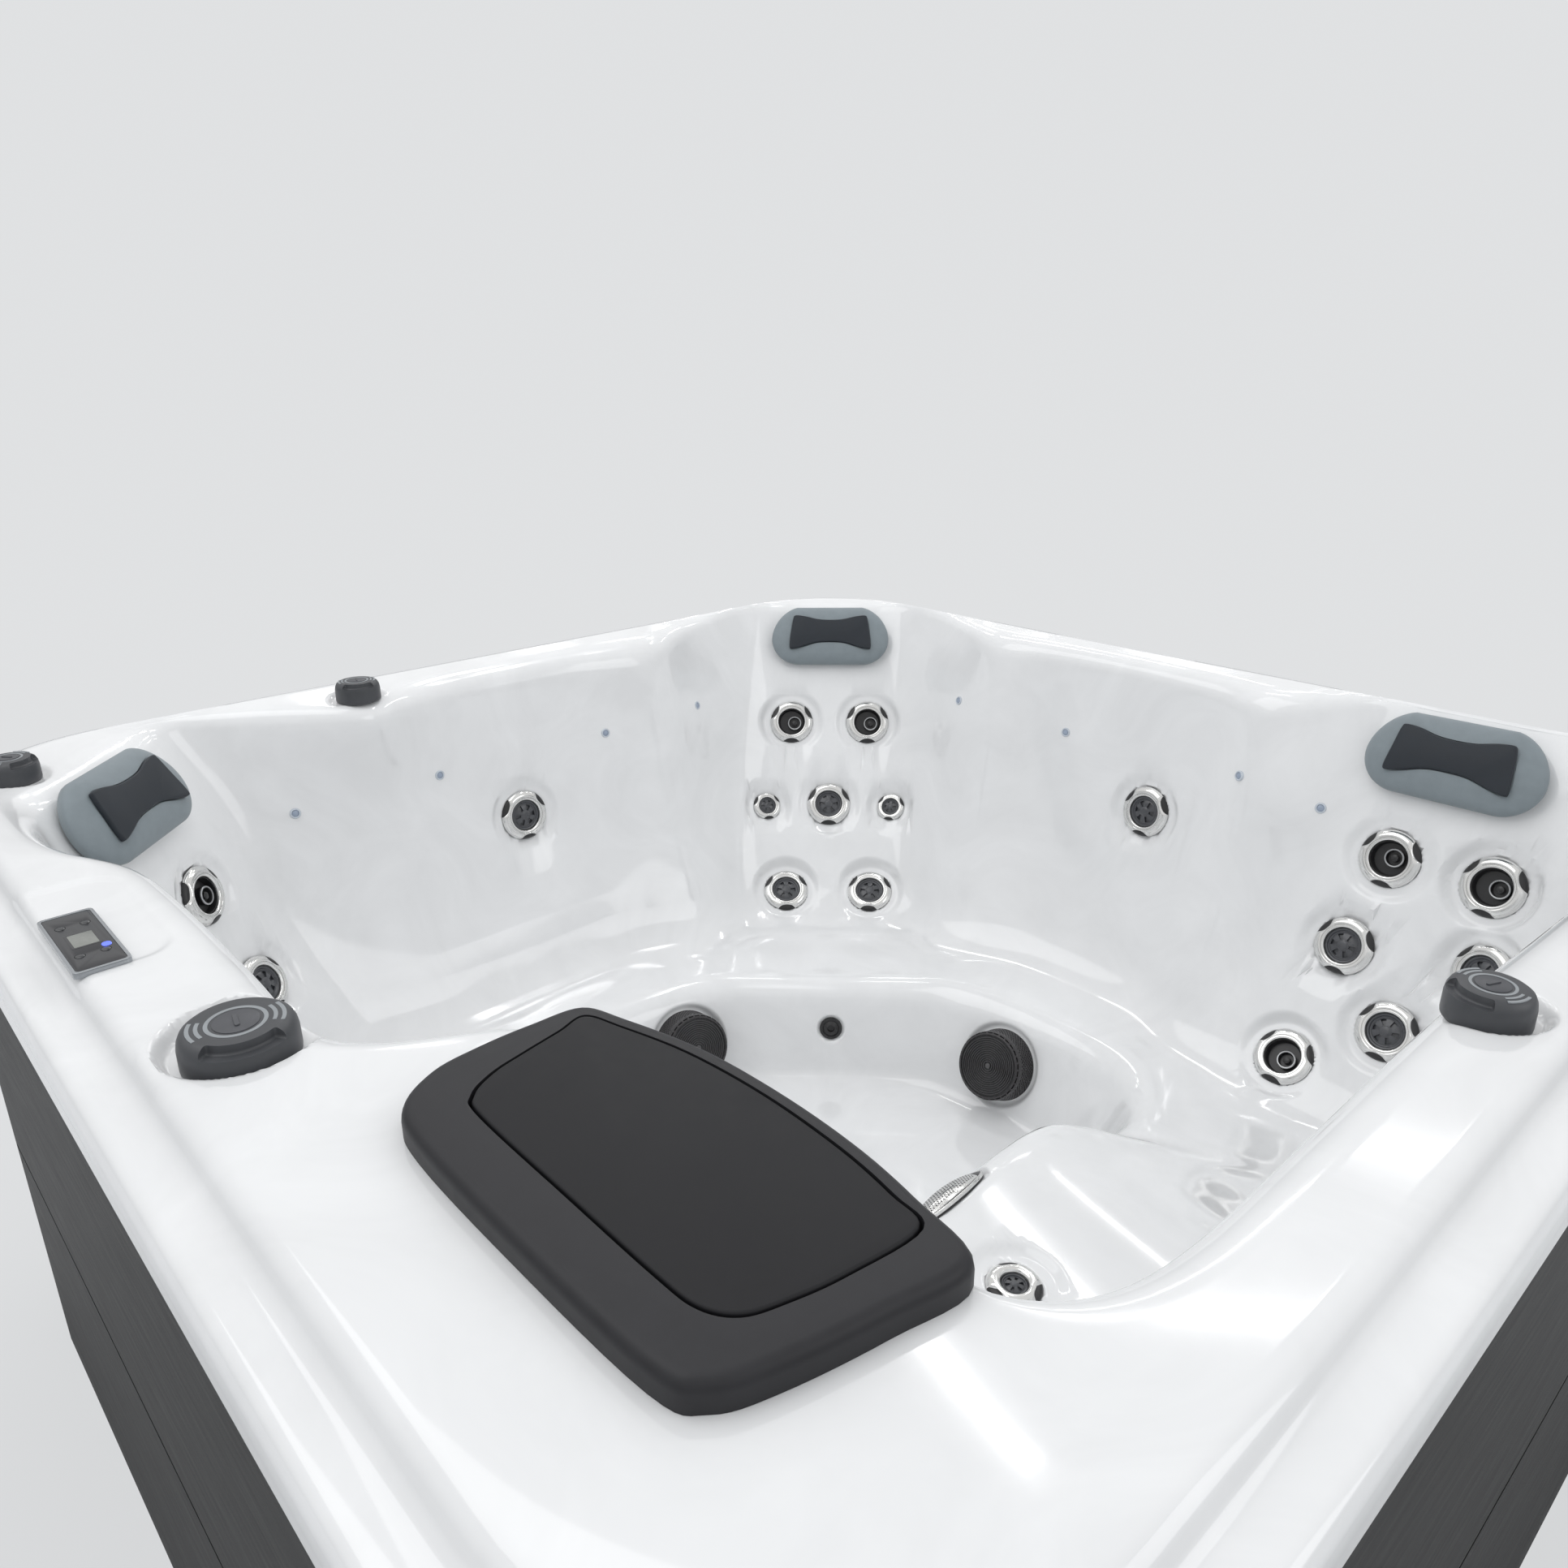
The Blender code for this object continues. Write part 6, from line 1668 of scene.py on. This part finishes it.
@dataclass
class Knobs:
    """The diverter and air knobs, each in a round dish of the rim."""

    rim_height: float = 0.9
    dish_depth: float = 0.016
    dish_margin: float = 0.010
    dish_soft: float = 0.006
    height: float = 0.036
    scoop_depth: float = 0.0095
    scoop_share: float = 0.76
    scoop_half_span: float = 46.0
    arc_half_span: float = 25.0
    arcs: tuple[tuple[float, float, float], ...] = ((0.0304, 0.0338, 0.0), (0.0374, 0.0408, 0.0004))
    mark_ring: Point = (0.0226, 0.0262)
    large: float = 0.050
    small: float = 0.038
    dishes: tuple[tuple[str, float, float, float], ...] = (
        ("front_diverter_knob", -0.0154, 0.0045, 0.066), ("right_diverter_knob", 0.001, 0.0085, 0.047),
    )
    spots: tuple[tuple[str, float, float, float], ...] = (
        ("front_diverter_knob", 0.160, -0.872, -12.0), ("right_diverter_knob", 0.876, -0.018, -115.0),
        ("back_air_knob", -0.855, -0.318, -20.0), ("left_air_knob", -0.795, -0.862, 40.0),
    )

    def radius_of(self, name: str) -> float:
        """Returns the radius of a knob."""
        return self.large if name.startswith("front") else self.small

    def recesses(self) -> list[Recess]:
        """Returns the dish of each knob."""
        found = []
        special = {name: rest for name, *rest in self.dishes}
        for name, x, y, _ in self.spots:
            shift_x, shift_y, wide = special.get(name, (0.0, 0.0, self.radius_of(name) + self.dish_margin))
            floor = moved(x + shift_x, y + shift_y, self.rim_height - self.dish_depth)
            found.append(Recess.round(floor, wide, self.dish_soft, self.dish_soft))
        return found

    def cap(self, radius: float) -> Piece:
        """Turns a rounded cap and scoops its side out for the fingers.

        Args:
            radius: The cap's radius.

        Returns:
            The cap's pattern, with its scoop towards X.
        """
        r, h = radius, self.height
        profile = [
            (r - 0.0016, 0.0), (r - 0.0004, 0.0012), (r, 0.0040), (r - 0.0002, h - 0.0150), (r - 0.0012, h - 0.0090),
            (r - 0.0036, h - 0.0040), (r - 0.0076, h - 0.0012), (r - 0.0110, h - 0.0003), (r * 0.62, h),
            (r * 0.40, h - 0.0001), (0.0, h - 0.0002),
        ]
        cap = turned("cap_pattern", profile, 96)
        outline = self.sector(r * self.scoop_share, r + 0.02, 0.0, self.scoop_half_span)
        scoop = raised("scoop", outline, h - self.scoop_depth, h + 0.02)
        soften(scoop, 0.0025, 3, 60)
        cut(cap, scoop)
        return smooth(cap, 38)

    @staticmethod
    def sector(inner: float, outer: float, middle: float, half: float) -> list[Point]:
        """Draws a part of a flat ring.

        Args:
            inner: Its inner radius.
            outer: Its outer radius.
            middle: The heading of its middle in degrees.
            half: Half its span in degrees.

        Returns:
            The outline's points.
        """
        steps = max(int(half / 3), 4)
        turns = [math.radians(middle - half + 2 * half * k / steps) for k in range(steps + 1)]
        outline = [(outer * math.cos(t), outer * math.sin(t)) for t in turns]
        return outline + [(inner * math.cos(t), inner * math.sin(t)) for t in reversed(turns)]

    def marks(self, radius: float) -> Piece:
        """Makes a knob's light markings: a ring and two pairs of arcs.

        Args:
            radius: The knob's radius.

        Returns:
            The markings' pattern.
        """
        share = radius / self.large
        top = self.height + 0.0002
        inner, outer = (v * share for v in self.mark_ring)
        profile = [(outer, top - 0.002), (outer, top), (inner, top), (inner, top - 0.002)]
        parts = [turned("ring_mark", profile, 72, ring=True)]
        for middle in (90.0, -90.0):
            for inner, outer, drop in self.arcs:
                line = self.sector(inner * share, outer * share, middle, self.arc_half_span)
                parts.append(raised("mark", line, top - 0.0016, top - drop))
        return joined("marks_pattern", parts)

    def pointer(self, radius: float) -> Piece:
        """Makes the centre disc with its pointer bar.

        Args:
            radius: The knob's radius.

        Returns:
            The disc's pattern.
        """
        share = radius / self.large
        top = self.height + 0.0008
        wide, edge = 0.0196 * share, 0.0188 * share
        disc = turned("disc_pattern", [(wide, top - 0.003), (wide, top - 0.0004), (edge, top), (0.0, top + 0.0002)], 64)
        bar = raised("bar", round_outline(0.0105 * share, 0.0022 * share, 0.0021 * share, 5), top - 0.001, top + 0.0016)
        soften(bar, 0.0006, 2, 60)
        return joined("disc_pattern", [disc, bar])

    def build(self) -> list[Piece]:
        """Makes the knobs.

        Returns:
            The pieces.
        """
        made = []
        floor = self.rim_height - self.dish_depth + CLEARANCE
        for name, x, y, heading in self.spots:
            radius, body = self.radius_of(name), name + "_cap"
            at = moved(x, y, floor) @ Matrix.Rotation(math.radians(heading), 4, "Z")
            parts = [
                (self.cap(radius), "_grip", KNOB, "knob_charcoal", name),
                (self.marks(radius), "_marks", MARK, "key_grey", None),
                (self.pointer(radius), "_pointer", KNOB_DISC, "knob_charcoal", None),
            ]
            for piece, suffix, finish, slot, node in parts:
                made.append(dress(place(named(piece, name + suffix), at), finish, body, replaces=node))
        return made


# Control panel


@dataclass
class ControlPanel:
    """The glossy control panel: frame, face, screen, blue light and four keys."""

    middle: Point = (-0.136, -0.9235)
    rim_height: float = 0.9
    length: float = 0.152
    width: float = 0.053
    thickness: float = 0.0048
    field_depth: float = 0.0022
    field_shift: Point = (-0.050, 0.003)
    field_half: Point = (0.118, 0.062)
    field_corner: float = 0.030
    frame_width: float = 0.0035
    well_radius: float = 0.0052
    well_depth: float = 0.0045
    hole_radius: float = 0.0050
    screen_half: Point = (0.0165, 0.0115)
    border_half: Point = (0.0190, 0.0140)
    light_half: Point = (0.0055, 0.0045)
    light_spot: Point = (0.027, 0.015)
    keys: tuple[tuple[str, float, float], ...] = (
        ("key_jets", 0.25, 0.22), ("key_light", 0.25, -0.22), ("key_warmer", -0.27, 0.22), ("key_cooler", -0.27, -0.22),
    )

    def recesses(self) -> list[Recess]:
        """Returns the shallow field round the panel."""
        (x, y), (shift_x, shift_y) = self.middle, self.field_shift
        floor = moved(x + shift_x, y + shift_y, self.rim_height - self.field_depth)
        return [Recess(floor, *self.field_half, self.field_corner, 0.010, 0.003)]

    def at_key(self, share_x: float, share_y: float) -> Matrix:
        """Returns the move from the panel's middle to a key's."""
        return moved(share_x * self.length, share_y * self.width, 0.0)

    def pierce(self, piece: Piece, radius: float, low: float, high: float) -> Piece:
        """Cuts a round hole in a plate at each key.

        Args:
            piece: The plate.
            radius: The holes' radius.
            low: The height of their lower end.
            high: The height of their upper end.

        Returns:
            The plate.
        """
        for _, share_x, share_y in self.keys:
            hole = turned("key_hole", [(radius, low), (radius, high)], 40)
            cut(piece, place(hole, self.at_key(share_x, share_y)))
        return piece

    def build(self) -> list[Piece]:
        """Makes the panel.

        Returns:
            The pieces.
        """
        at = moved(*self.middle, self.rim_height + CLEARANCE)
        half_x, half_y, top, low = self.length / 2, self.width / 2, self.thickness, 0.0001 - self.field_depth
        inset = self.frame_width + 0.0002
        rim = raised("control_panel_rim", round_outline(half_x, half_y, 0.006), low, top)
        opening = round_outline(half_x - self.frame_width, half_y - self.frame_width, 0.004)
        cut(rim, raised("face_cutter", opening, top - 0.0014, top + 0.01))
        self.pierce(rim, self.well_radius, top - self.well_depth, top + 0.01)
        face_line = round_outline(half_x - inset, half_y - inset, 0.0038)
        face = raised("control_panel_face", face_line, top - 0.002, top - 0.0004)
        self.pierce(face, self.hole_radius, top - 0.01, top + 0.01)
        screen = raised("control_panel_screen", round_outline(*self.screen_half, 0.001), top - 0.0016, top - 0.0001)
        border = raised("control_panel_border", round_outline(*self.border_half, 0.002), top - 0.0016, top - 0.0002)
        screen_hole = round_outline(*(v + 0.0002 for v in self.screen_half), 0.001)
        cut(border, raised("screen_hole", screen_hole, top - 0.01, top + 0.01))
        light = raised("control_panel_light", round_outline(*self.light_half, 0.0044, 6), top - 0.0016, top + 0.0001)
        for piece, width in ((rim, 0.0007), (face, 0.0003), (screen, 0.0003), (light, 0.0006)):
            soften(piece, width, 2, 50)
        place(light, moved(*self.light_spot))
        made = [dress(place(smooth(rim), at), BEZEL_GREY, replaces="control_panel")]
        for piece, finish in ((face, PANEL), (screen, SCREEN), (border, PANEL), (light, BLUE_LIGHT)):
            made.append(dress(place(smooth(piece), at), finish))
        key_profile = [(0.0046, top - 0.0026), (0.0046, top - 0.0004), (0.0042, top - 0.0001), (0.0, top + 0.0002)]
        pattern = turned("key_pattern", key_profile, 48)
        for key, share_x, share_y in self.keys:
            spot = at @ self.at_key(share_x, share_y)
            made.append(dress(copied(pattern, key + "_button", spot), KEY, key + "_cap", replaces=key))
        discard([pattern])
        return made


# Filter lid


@dataclass
class Skimmer:
    """The dark surround and lid over the filter."""

    half_width: float = 1.0
    rim_height: float = 0.9
    surround_height: float = 0.024
    surround_round: float = 0.010
    lid_seat: float = 0.010
    lid_proud: float = 0.0010
    lid_gap: float = 0.0012
    lid_round: float = 0.0025
    well_inset: float = 0.008
    surround_shares: tuple[Point, ...] = (
        (0.338, -0.690), (0.338, -0.740), (0.345, -0.785), (0.372, -0.822), (0.420, -0.834), (0.555, -0.836),
        (0.700, -0.832), (0.735, -0.815), (0.752, -0.775), (0.768, -0.700), (0.775, -0.630), (0.710, -0.611),
        (0.640, -0.600), (0.555, -0.597), (0.470, -0.603), (0.390, -0.622), (0.345, -0.640),
    )
    lid_shares: tuple[Point, ...] = (
        (0.370, -0.680), (0.378, -0.720), (0.386, -0.752), (0.402, -0.778), (0.430, -0.787), (0.555, -0.788),
        (0.650, -0.788), (0.688, -0.785), (0.711, -0.770), (0.722, -0.742), (0.731, -0.700), (0.735, -0.636),
        (0.700, -0.625), (0.640, -0.616), (0.555, -0.613), (0.470, -0.620), (0.400, -0.637), (0.364, -0.650),
    )

    def outline(self, shares: Sequence[Point]) -> list[Point]:
        """Returns a smooth outline through the points, in metres."""
        return curved_outline([(x * self.half_width, y * self.half_width) for x, y in shares], 6)

    def build(self) -> list[Piece]:
        """Makes the surround and the lid.

        Returns:
            The pieces.
        """
        low, high = self.rim_height + CLEARANCE, self.rim_height + self.surround_height
        surround = raised("filter_surround", self.outline(self.surround_shares), low, high)
        self.round_top(surround, high, self.surround_round)
        lid_line = self.outline(self.lid_shares)
        seat = self.rim_height + self.lid_seat
        for distance, foot in ((-self.well_inset, low - 0.05), (self.lid_gap, seat)):
            cut(surround, raised("lid_cutter", grown(lid_line, distance), foot, high + 0.05))
        smooth(surround, 40)
        lid_high = high + self.lid_proud
        lid = raised("filter_cover", grown(lid_line, -self.lid_gap), seat + CLEARANCE, lid_high)
        self.round_top(lid, lid_high, self.lid_round)
        smooth(lid, 40)
        dress(surround, SURROUND, replaces="skimmer_surround")
        return [surround, dress(lid, LID, "filter_lid_panel", replaces="filter_lid")]

    @staticmethod
    def round_top(piece: Piece, height: float, width: float) -> None:
        """Rounds the upper edge of a plate.

        Args:
            piece: The plate.
            height: The height of its upper face.
            width: The width of the rounding.
        """
        pick_faces(piece, lambda face: face.normal.z > 0.9 and abs(face.center.z - height) < 0.0001)
        bpy.ops.mesh.region_to_loop()
        bpy.ops.mesh.bevel(offset=width, segments=5, affect="EDGES", profile=0.5)
        close_edit()


# Head pillows


@dataclass
class Pillows:
    """The moulded head pillows with their darker bow-tie inserts."""

    seats: Seats
    thickness: float = 0.046
    side: float = 0.020
    headings: tuple[tuple[str, float], ...] = (("far", 135.0), ("lounge", 58.9), ("left", 225.0))
    insert_low: float = 0.094
    insert_high: float = 0.086
    insert_height: float = 0.043
    insert_waist: float = 0.017
    insert_thickness: float = 0.009
    insert_proud: float = 0.003
    pocket_gap: float = 0.0014

    def body(self) -> Piece:
        """Draws the pillow up from its back in rings that close over its crown.

        Returns:
            The pillow's pattern.
        """
        outline = self.seats.pillow_outline(steps=96)
        levels = [(0.865, 0.0), (0.93, 0.003), (0.975, 0.009), (1.0, self.side)]
        rings = 16
        for ring in range(1, rings):
            turn = math.pi / 2 * ring / rings
            rise = self.side + (self.thickness - self.side) * math.sin(turn)
            levels.append((math.cos(turn) ** (2 / 3), rise))
        share, height = levels[0]
        piece = raised("pillow_pattern", [(x * share, y * share) for x, y in outline], height, levels[1][1])
        pick_faces(piece, lambda face: face.normal.z > 0.9)
        for (before, _), (share, height), (_, after) in zip(levels, levels[1:], [*levels[2:], (0.0, self.thickness)]):
            taper(share / before, height)
            extrude(after - height)
        bpy.ops.mesh.merge(type="CENTER")
        close_edit()
        face_outwards(piece)
        return smooth(piece, 60)

    def insert_outline(self, grow: float) -> list[Point]:
        """Draws the insert's waisted outline.

        Args:
            grow: How far it is moved out.

        Returns:
            The outline's points.
        """
        low, high, tall = self.insert_low + grow, self.insert_high + grow, self.insert_height + grow
        dip = self.insert_waist
        right = [
            (low / 3, -tall + dip * 8 / 9), (low * 2 / 3, -tall + dip / 3), (low * 0.93, -tall), (low, -tall * 0.86),
            ((low + high) / 2, 0), (high, tall * 0.70), (high * 0.93, tall * 0.88), (high * 2 / 3, tall - dip * 0.45),
            (high / 3, tall - dip * 8 / 9),
        ]
        left = [(-x, y) for x, y in reversed(right)]
        return curved_outline([(0, -tall + dip), *right, (0, tall - dip), *left], 5)

    def build(self) -> list[Piece]:
        """Makes the pillows and their inserts.

        Returns:
            The pieces.
        """
        floor = self.thickness + self.insert_proud - self.insert_thickness
        body = self.body()
        cut(body, raised("pocket_cutter", self.insert_outline(self.pocket_gap), floor, self.thickness + 0.05))
        smooth(body, 50)
        inlay_line = self.insert_outline(-CLEARANCE)
        insert = raised("insert_pattern", inlay_line, floor + CLEARANCE, floor + self.insert_thickness)
        soften(insert, 0.0022, 3, 60)
        smooth(insert, 50)
        made = []
        for name, degrees in self.headings:
            at = self.seats.pillow(degrees)
            pillow = dress(copied(body, name + "_headrest", at), PILLOW, replaces=name + "_pillow")
            made.append(pillow)
            inlay = copied(insert, name + "_headrest_inlay", at)
            made.append(dress(inlay, INSERT, replaces=name + "_pillow_insert"))
        discard([body, insert])
        return made


# Solids that keep their own shape


@dataclass(frozen=True)
class PlainSolids:
    """Finishes for the solids that are shown as they are."""

    groups: tuple[tuple[Finish, tuple[str, ...]], ...] = (
        (CABINET, (
            "front_panel", "right_panel", "back_panel", "left_panel", "right_corner_panel", "far_corner_panel",
            "left_corner_panel", "near_corner_panel",
        )),
        (BASE, ("base_pan", "floor_block")), (TIMBER, ("support_frame",)), (CLOTH, ("filter_cartridge",)),
        (BLACK, ("filter_bucket", "weir_flap")), (PACK, ("circulation_pump", "heater_pack")),
    )

    def build(self) -> None:
        """Gives each solid its finish, and a plain one to any that is left."""
        wanted = {name: finish for finish, names in self.groups for name in names}
        for name, solid in frame["nodes"].items():
            finish = wanted.get(name, PACK)
            for slot in solid.material_slots:
                slot.material = finish.material()


# Studio


@dataclass
class Studio:
    """The floor, the lamps, the pale surroundings and the camera."""

    background: Colour = (0.745, 0.755, 0.765)
    sensor: float = 36.0
    image: int = 1932
    focal_pixels: float = 1449.3
    eye: tuple[float, float, float] = (1.1319, -1.1174, 1.4621)
    yaw: float = 47.56
    pitch: float = 20.31
    roll: float = -0.394
    ambient: float = 0.82
    horizon: Colour = (0.34, 0.35, 0.36)
    floor_glow: float = 0.78
    floor_fade: Point = (1.3, 3.4)
    floor_size: float = 60.0
    light_colour: Colour = (0.975, 0.985, 1.0)

    def floor(self) -> None:
        """Lays the floor."""
        deselect_all()
        bpy.ops.mesh.primitive_plane_add(size=self.floor_size, location=(0, 0, 0))
        floor = named(bpy.context.object, "studio_floor")
        material = bpy.data.materials.new("studio_floor")
        material.use_nodes = True
        tree = material.node_tree
        shader = feed(tree.nodes["Principled BSDF"], {
            "Base Color": (0.72, 0.73, 0.74, 1.0), "Roughness": 0.7, "Specular IOR Level": 0.2,
        })
        glow = add_node(tree, "Emission", {"Color": (*self.background, 1.0)})
        away = add_node(tree, "VectorMath", {0: add_node(tree, "TexCoord").outputs["Object"]})
        away.operation = "LENGTH"
        start, end = self.floor_fade
        fade = add_node(tree, "MapRange", {"From Min": start, "From Max": end, "To Min": self.floor_glow})
        fade.interpolation_type = "SMOOTHSTEP"
        feed(fade, {"Value": away.outputs["Value"]})
        seen = add_node(tree, "LightPath").outputs["Is Camera Ray"]
        share = add_node(tree, "Math", {0: seen, 1: fade.outputs["Result"]})
        share.operation = "MULTIPLY"
        mix = add_node(tree, "MixShader", {0: share.outputs[0], 1: shader.outputs[0], 2: glow.outputs[0]})
        feed(tree.nodes["Material Output"], {"Surface": mix.outputs[0]})
        floor.data.materials.append(material)

    def surroundings(self) -> None:
        """Sets the world: a pale backdrop to the camera and soft light on the tub."""
        world = bpy.data.worlds.new("studio")
        bpy.context.scene.world = world
        world.use_nodes = True
        tree = world.node_tree
        light = feed(tree.nodes["Background"], {"Color": (*self.light_colour, 1.0), "Strength": self.ambient})
        axes = add_node(tree, "SeparateXYZ", {0: add_node(tree, "TexCoord").outputs["Generated"]})
        ramp = add_node(tree, "ValToRGB", {0: axes.outputs["Z"]})
        low, high = ramp.color_ramp.elements
        low.position, high.position = 0.0, 0.45
        low.color = (*self.horizon, 1.0)
        room = add_node(tree, "Background", {"Color": ramp.outputs["Color"], "Strength": self.ambient})
        backdrop = add_node(tree, "Background", {"Color": (*self.background, 1.0)})
        path = add_node(tree, "LightPath").outputs
        mirrored = add_node(tree, "MixShader", {0: path["Is Glossy Ray"], 1: light.outputs[0], 2: room.outputs[0]})
        seen = add_node(tree, "Math", {0: path["Is Camera Ray"], 1: path["Is Transmission Ray"]})
        seen.operation = "MAXIMUM"
        mix = add_node(tree, "MixShader", {0: seen.outputs[0], 1: mirrored.outputs[0], 2: backdrop.outputs[0]})
        feed(tree.nodes["World Output"], {"Surface": mix.outputs[0]})

    def lamp(self, name: str, spot: Sequence[float], target: Sequence[float], size: Point, power: float) -> None:
        """Hangs an area lamp.

        Args:
            name: The lamp's name.
            spot: Where it hangs.
            target: What it points at.
            size: Its length and width.
            power: Its power in watts.
        """
        light = bpy.data.lights.new(name, "AREA")
        light.shape = "RECTANGLE"
        light.size, light.size_y = size
        light.energy = power
        lamp = bpy.data.objects.new(name, light)
        bpy.context.scene.collection.objects.link(lamp)
        lamp.location = spot
        lamp.rotation_euler = (Vector(target) - Vector(spot)).to_track_quat("-Z", "Y").to_euler()

    def lamps(self) -> None:
        """Hangs the soft lamps, with small ceiling panels for the highlights."""
        self.lamp("softbox", (-1.0, -1.5, 4.6), (0, 0, 0.4), (3.4, 3.4), 48)
        self.lamp("side_light", (4.2, 1.6, 3.2), (0, 0, 0.5), (2.4, 2.4), 24)
        for row in range(3):
            for column in range(4):
                spot = (-5.4 + column * 1.5, 1.6 + row * 1.5, 3.9)
                self.lamp(f"ceiling_{row}_{column}", spot, (spot[0], spot[1], 0), (0.9, 0.16), 4.5)

    def camera(self) -> None:
        """Places the camera as the photograph has it."""
        yaw, pitch, roll = (math.radians(v) for v in (self.yaw, self.pitch, self.roll))
        ahead = Vector((-math.sin(yaw) * math.cos(pitch), math.cos(yaw) * math.cos(pitch), -math.sin(pitch)))
        level = Vector((math.cos(yaw), math.sin(yaw), 0))
        above = level.cross(ahead)
        right = level * math.cos(roll) + above * math.sin(roll)
        up = above * math.cos(roll) - level * math.sin(roll)
        data = bpy.data.cameras.new("camera")
        data.sensor_width = self.sensor
        data.lens = self.focal_pixels / self.image * self.sensor
        data.clip_start, data.clip_end = 0.02, 100.0
        camera = bpy.data.objects.new("camera", data)
        bpy.context.scene.collection.objects.link(camera)
        turn = Matrix((right, up, -ahead)).transposed().to_4x4()
        camera.matrix_world = Matrix.Translation(Vector(self.eye)) @ turn
        bpy.context.scene.camera = camera

    def build(self) -> None:
        """Sets the whole studio."""
        self.floor()
        self.surroundings()
        self.lamps()
        self.camera()
        bpy.context.scene.view_settings.view_transform = "Standard"


def report(name: str, made: Sequence[Piece]) -> None:
    """Logs the pieces of a sub-assembly.

    Args:
        name: The sub-assembly.
        made: Its pieces.
    """
    for piece in made:
        LOG.info("%s: %s, %d faces", name, piece.name, len(piece.data.polygons))


def main() -> None:
    """Builds the tub's looks in order."""
    logging.basicConfig(level=logging.INFO, format="%(message)s")
    PlainSolids().build()
    form = ShellForm()
    seats = Seats(form)
    jets, fittings, knobs, panel = Jets(frame["joints"]), FootwellFittings(seats), Knobs(), ControlPanel()
    recesses = jets.recesses() + fittings.recesses() + knobs.recesses() + panel.recesses()
    report("shell", [Shell(form, recesses).build()])
    report("jets", jets.build())
    report("footwell", fittings.build())
    report("knobs", knobs.build())
    report("control panel", panel.build())
    report("filter", Skimmer().build())
    report("pillows", Pillows(seats).build())
    Studio().build()


if __name__ == "__main__":
    main()
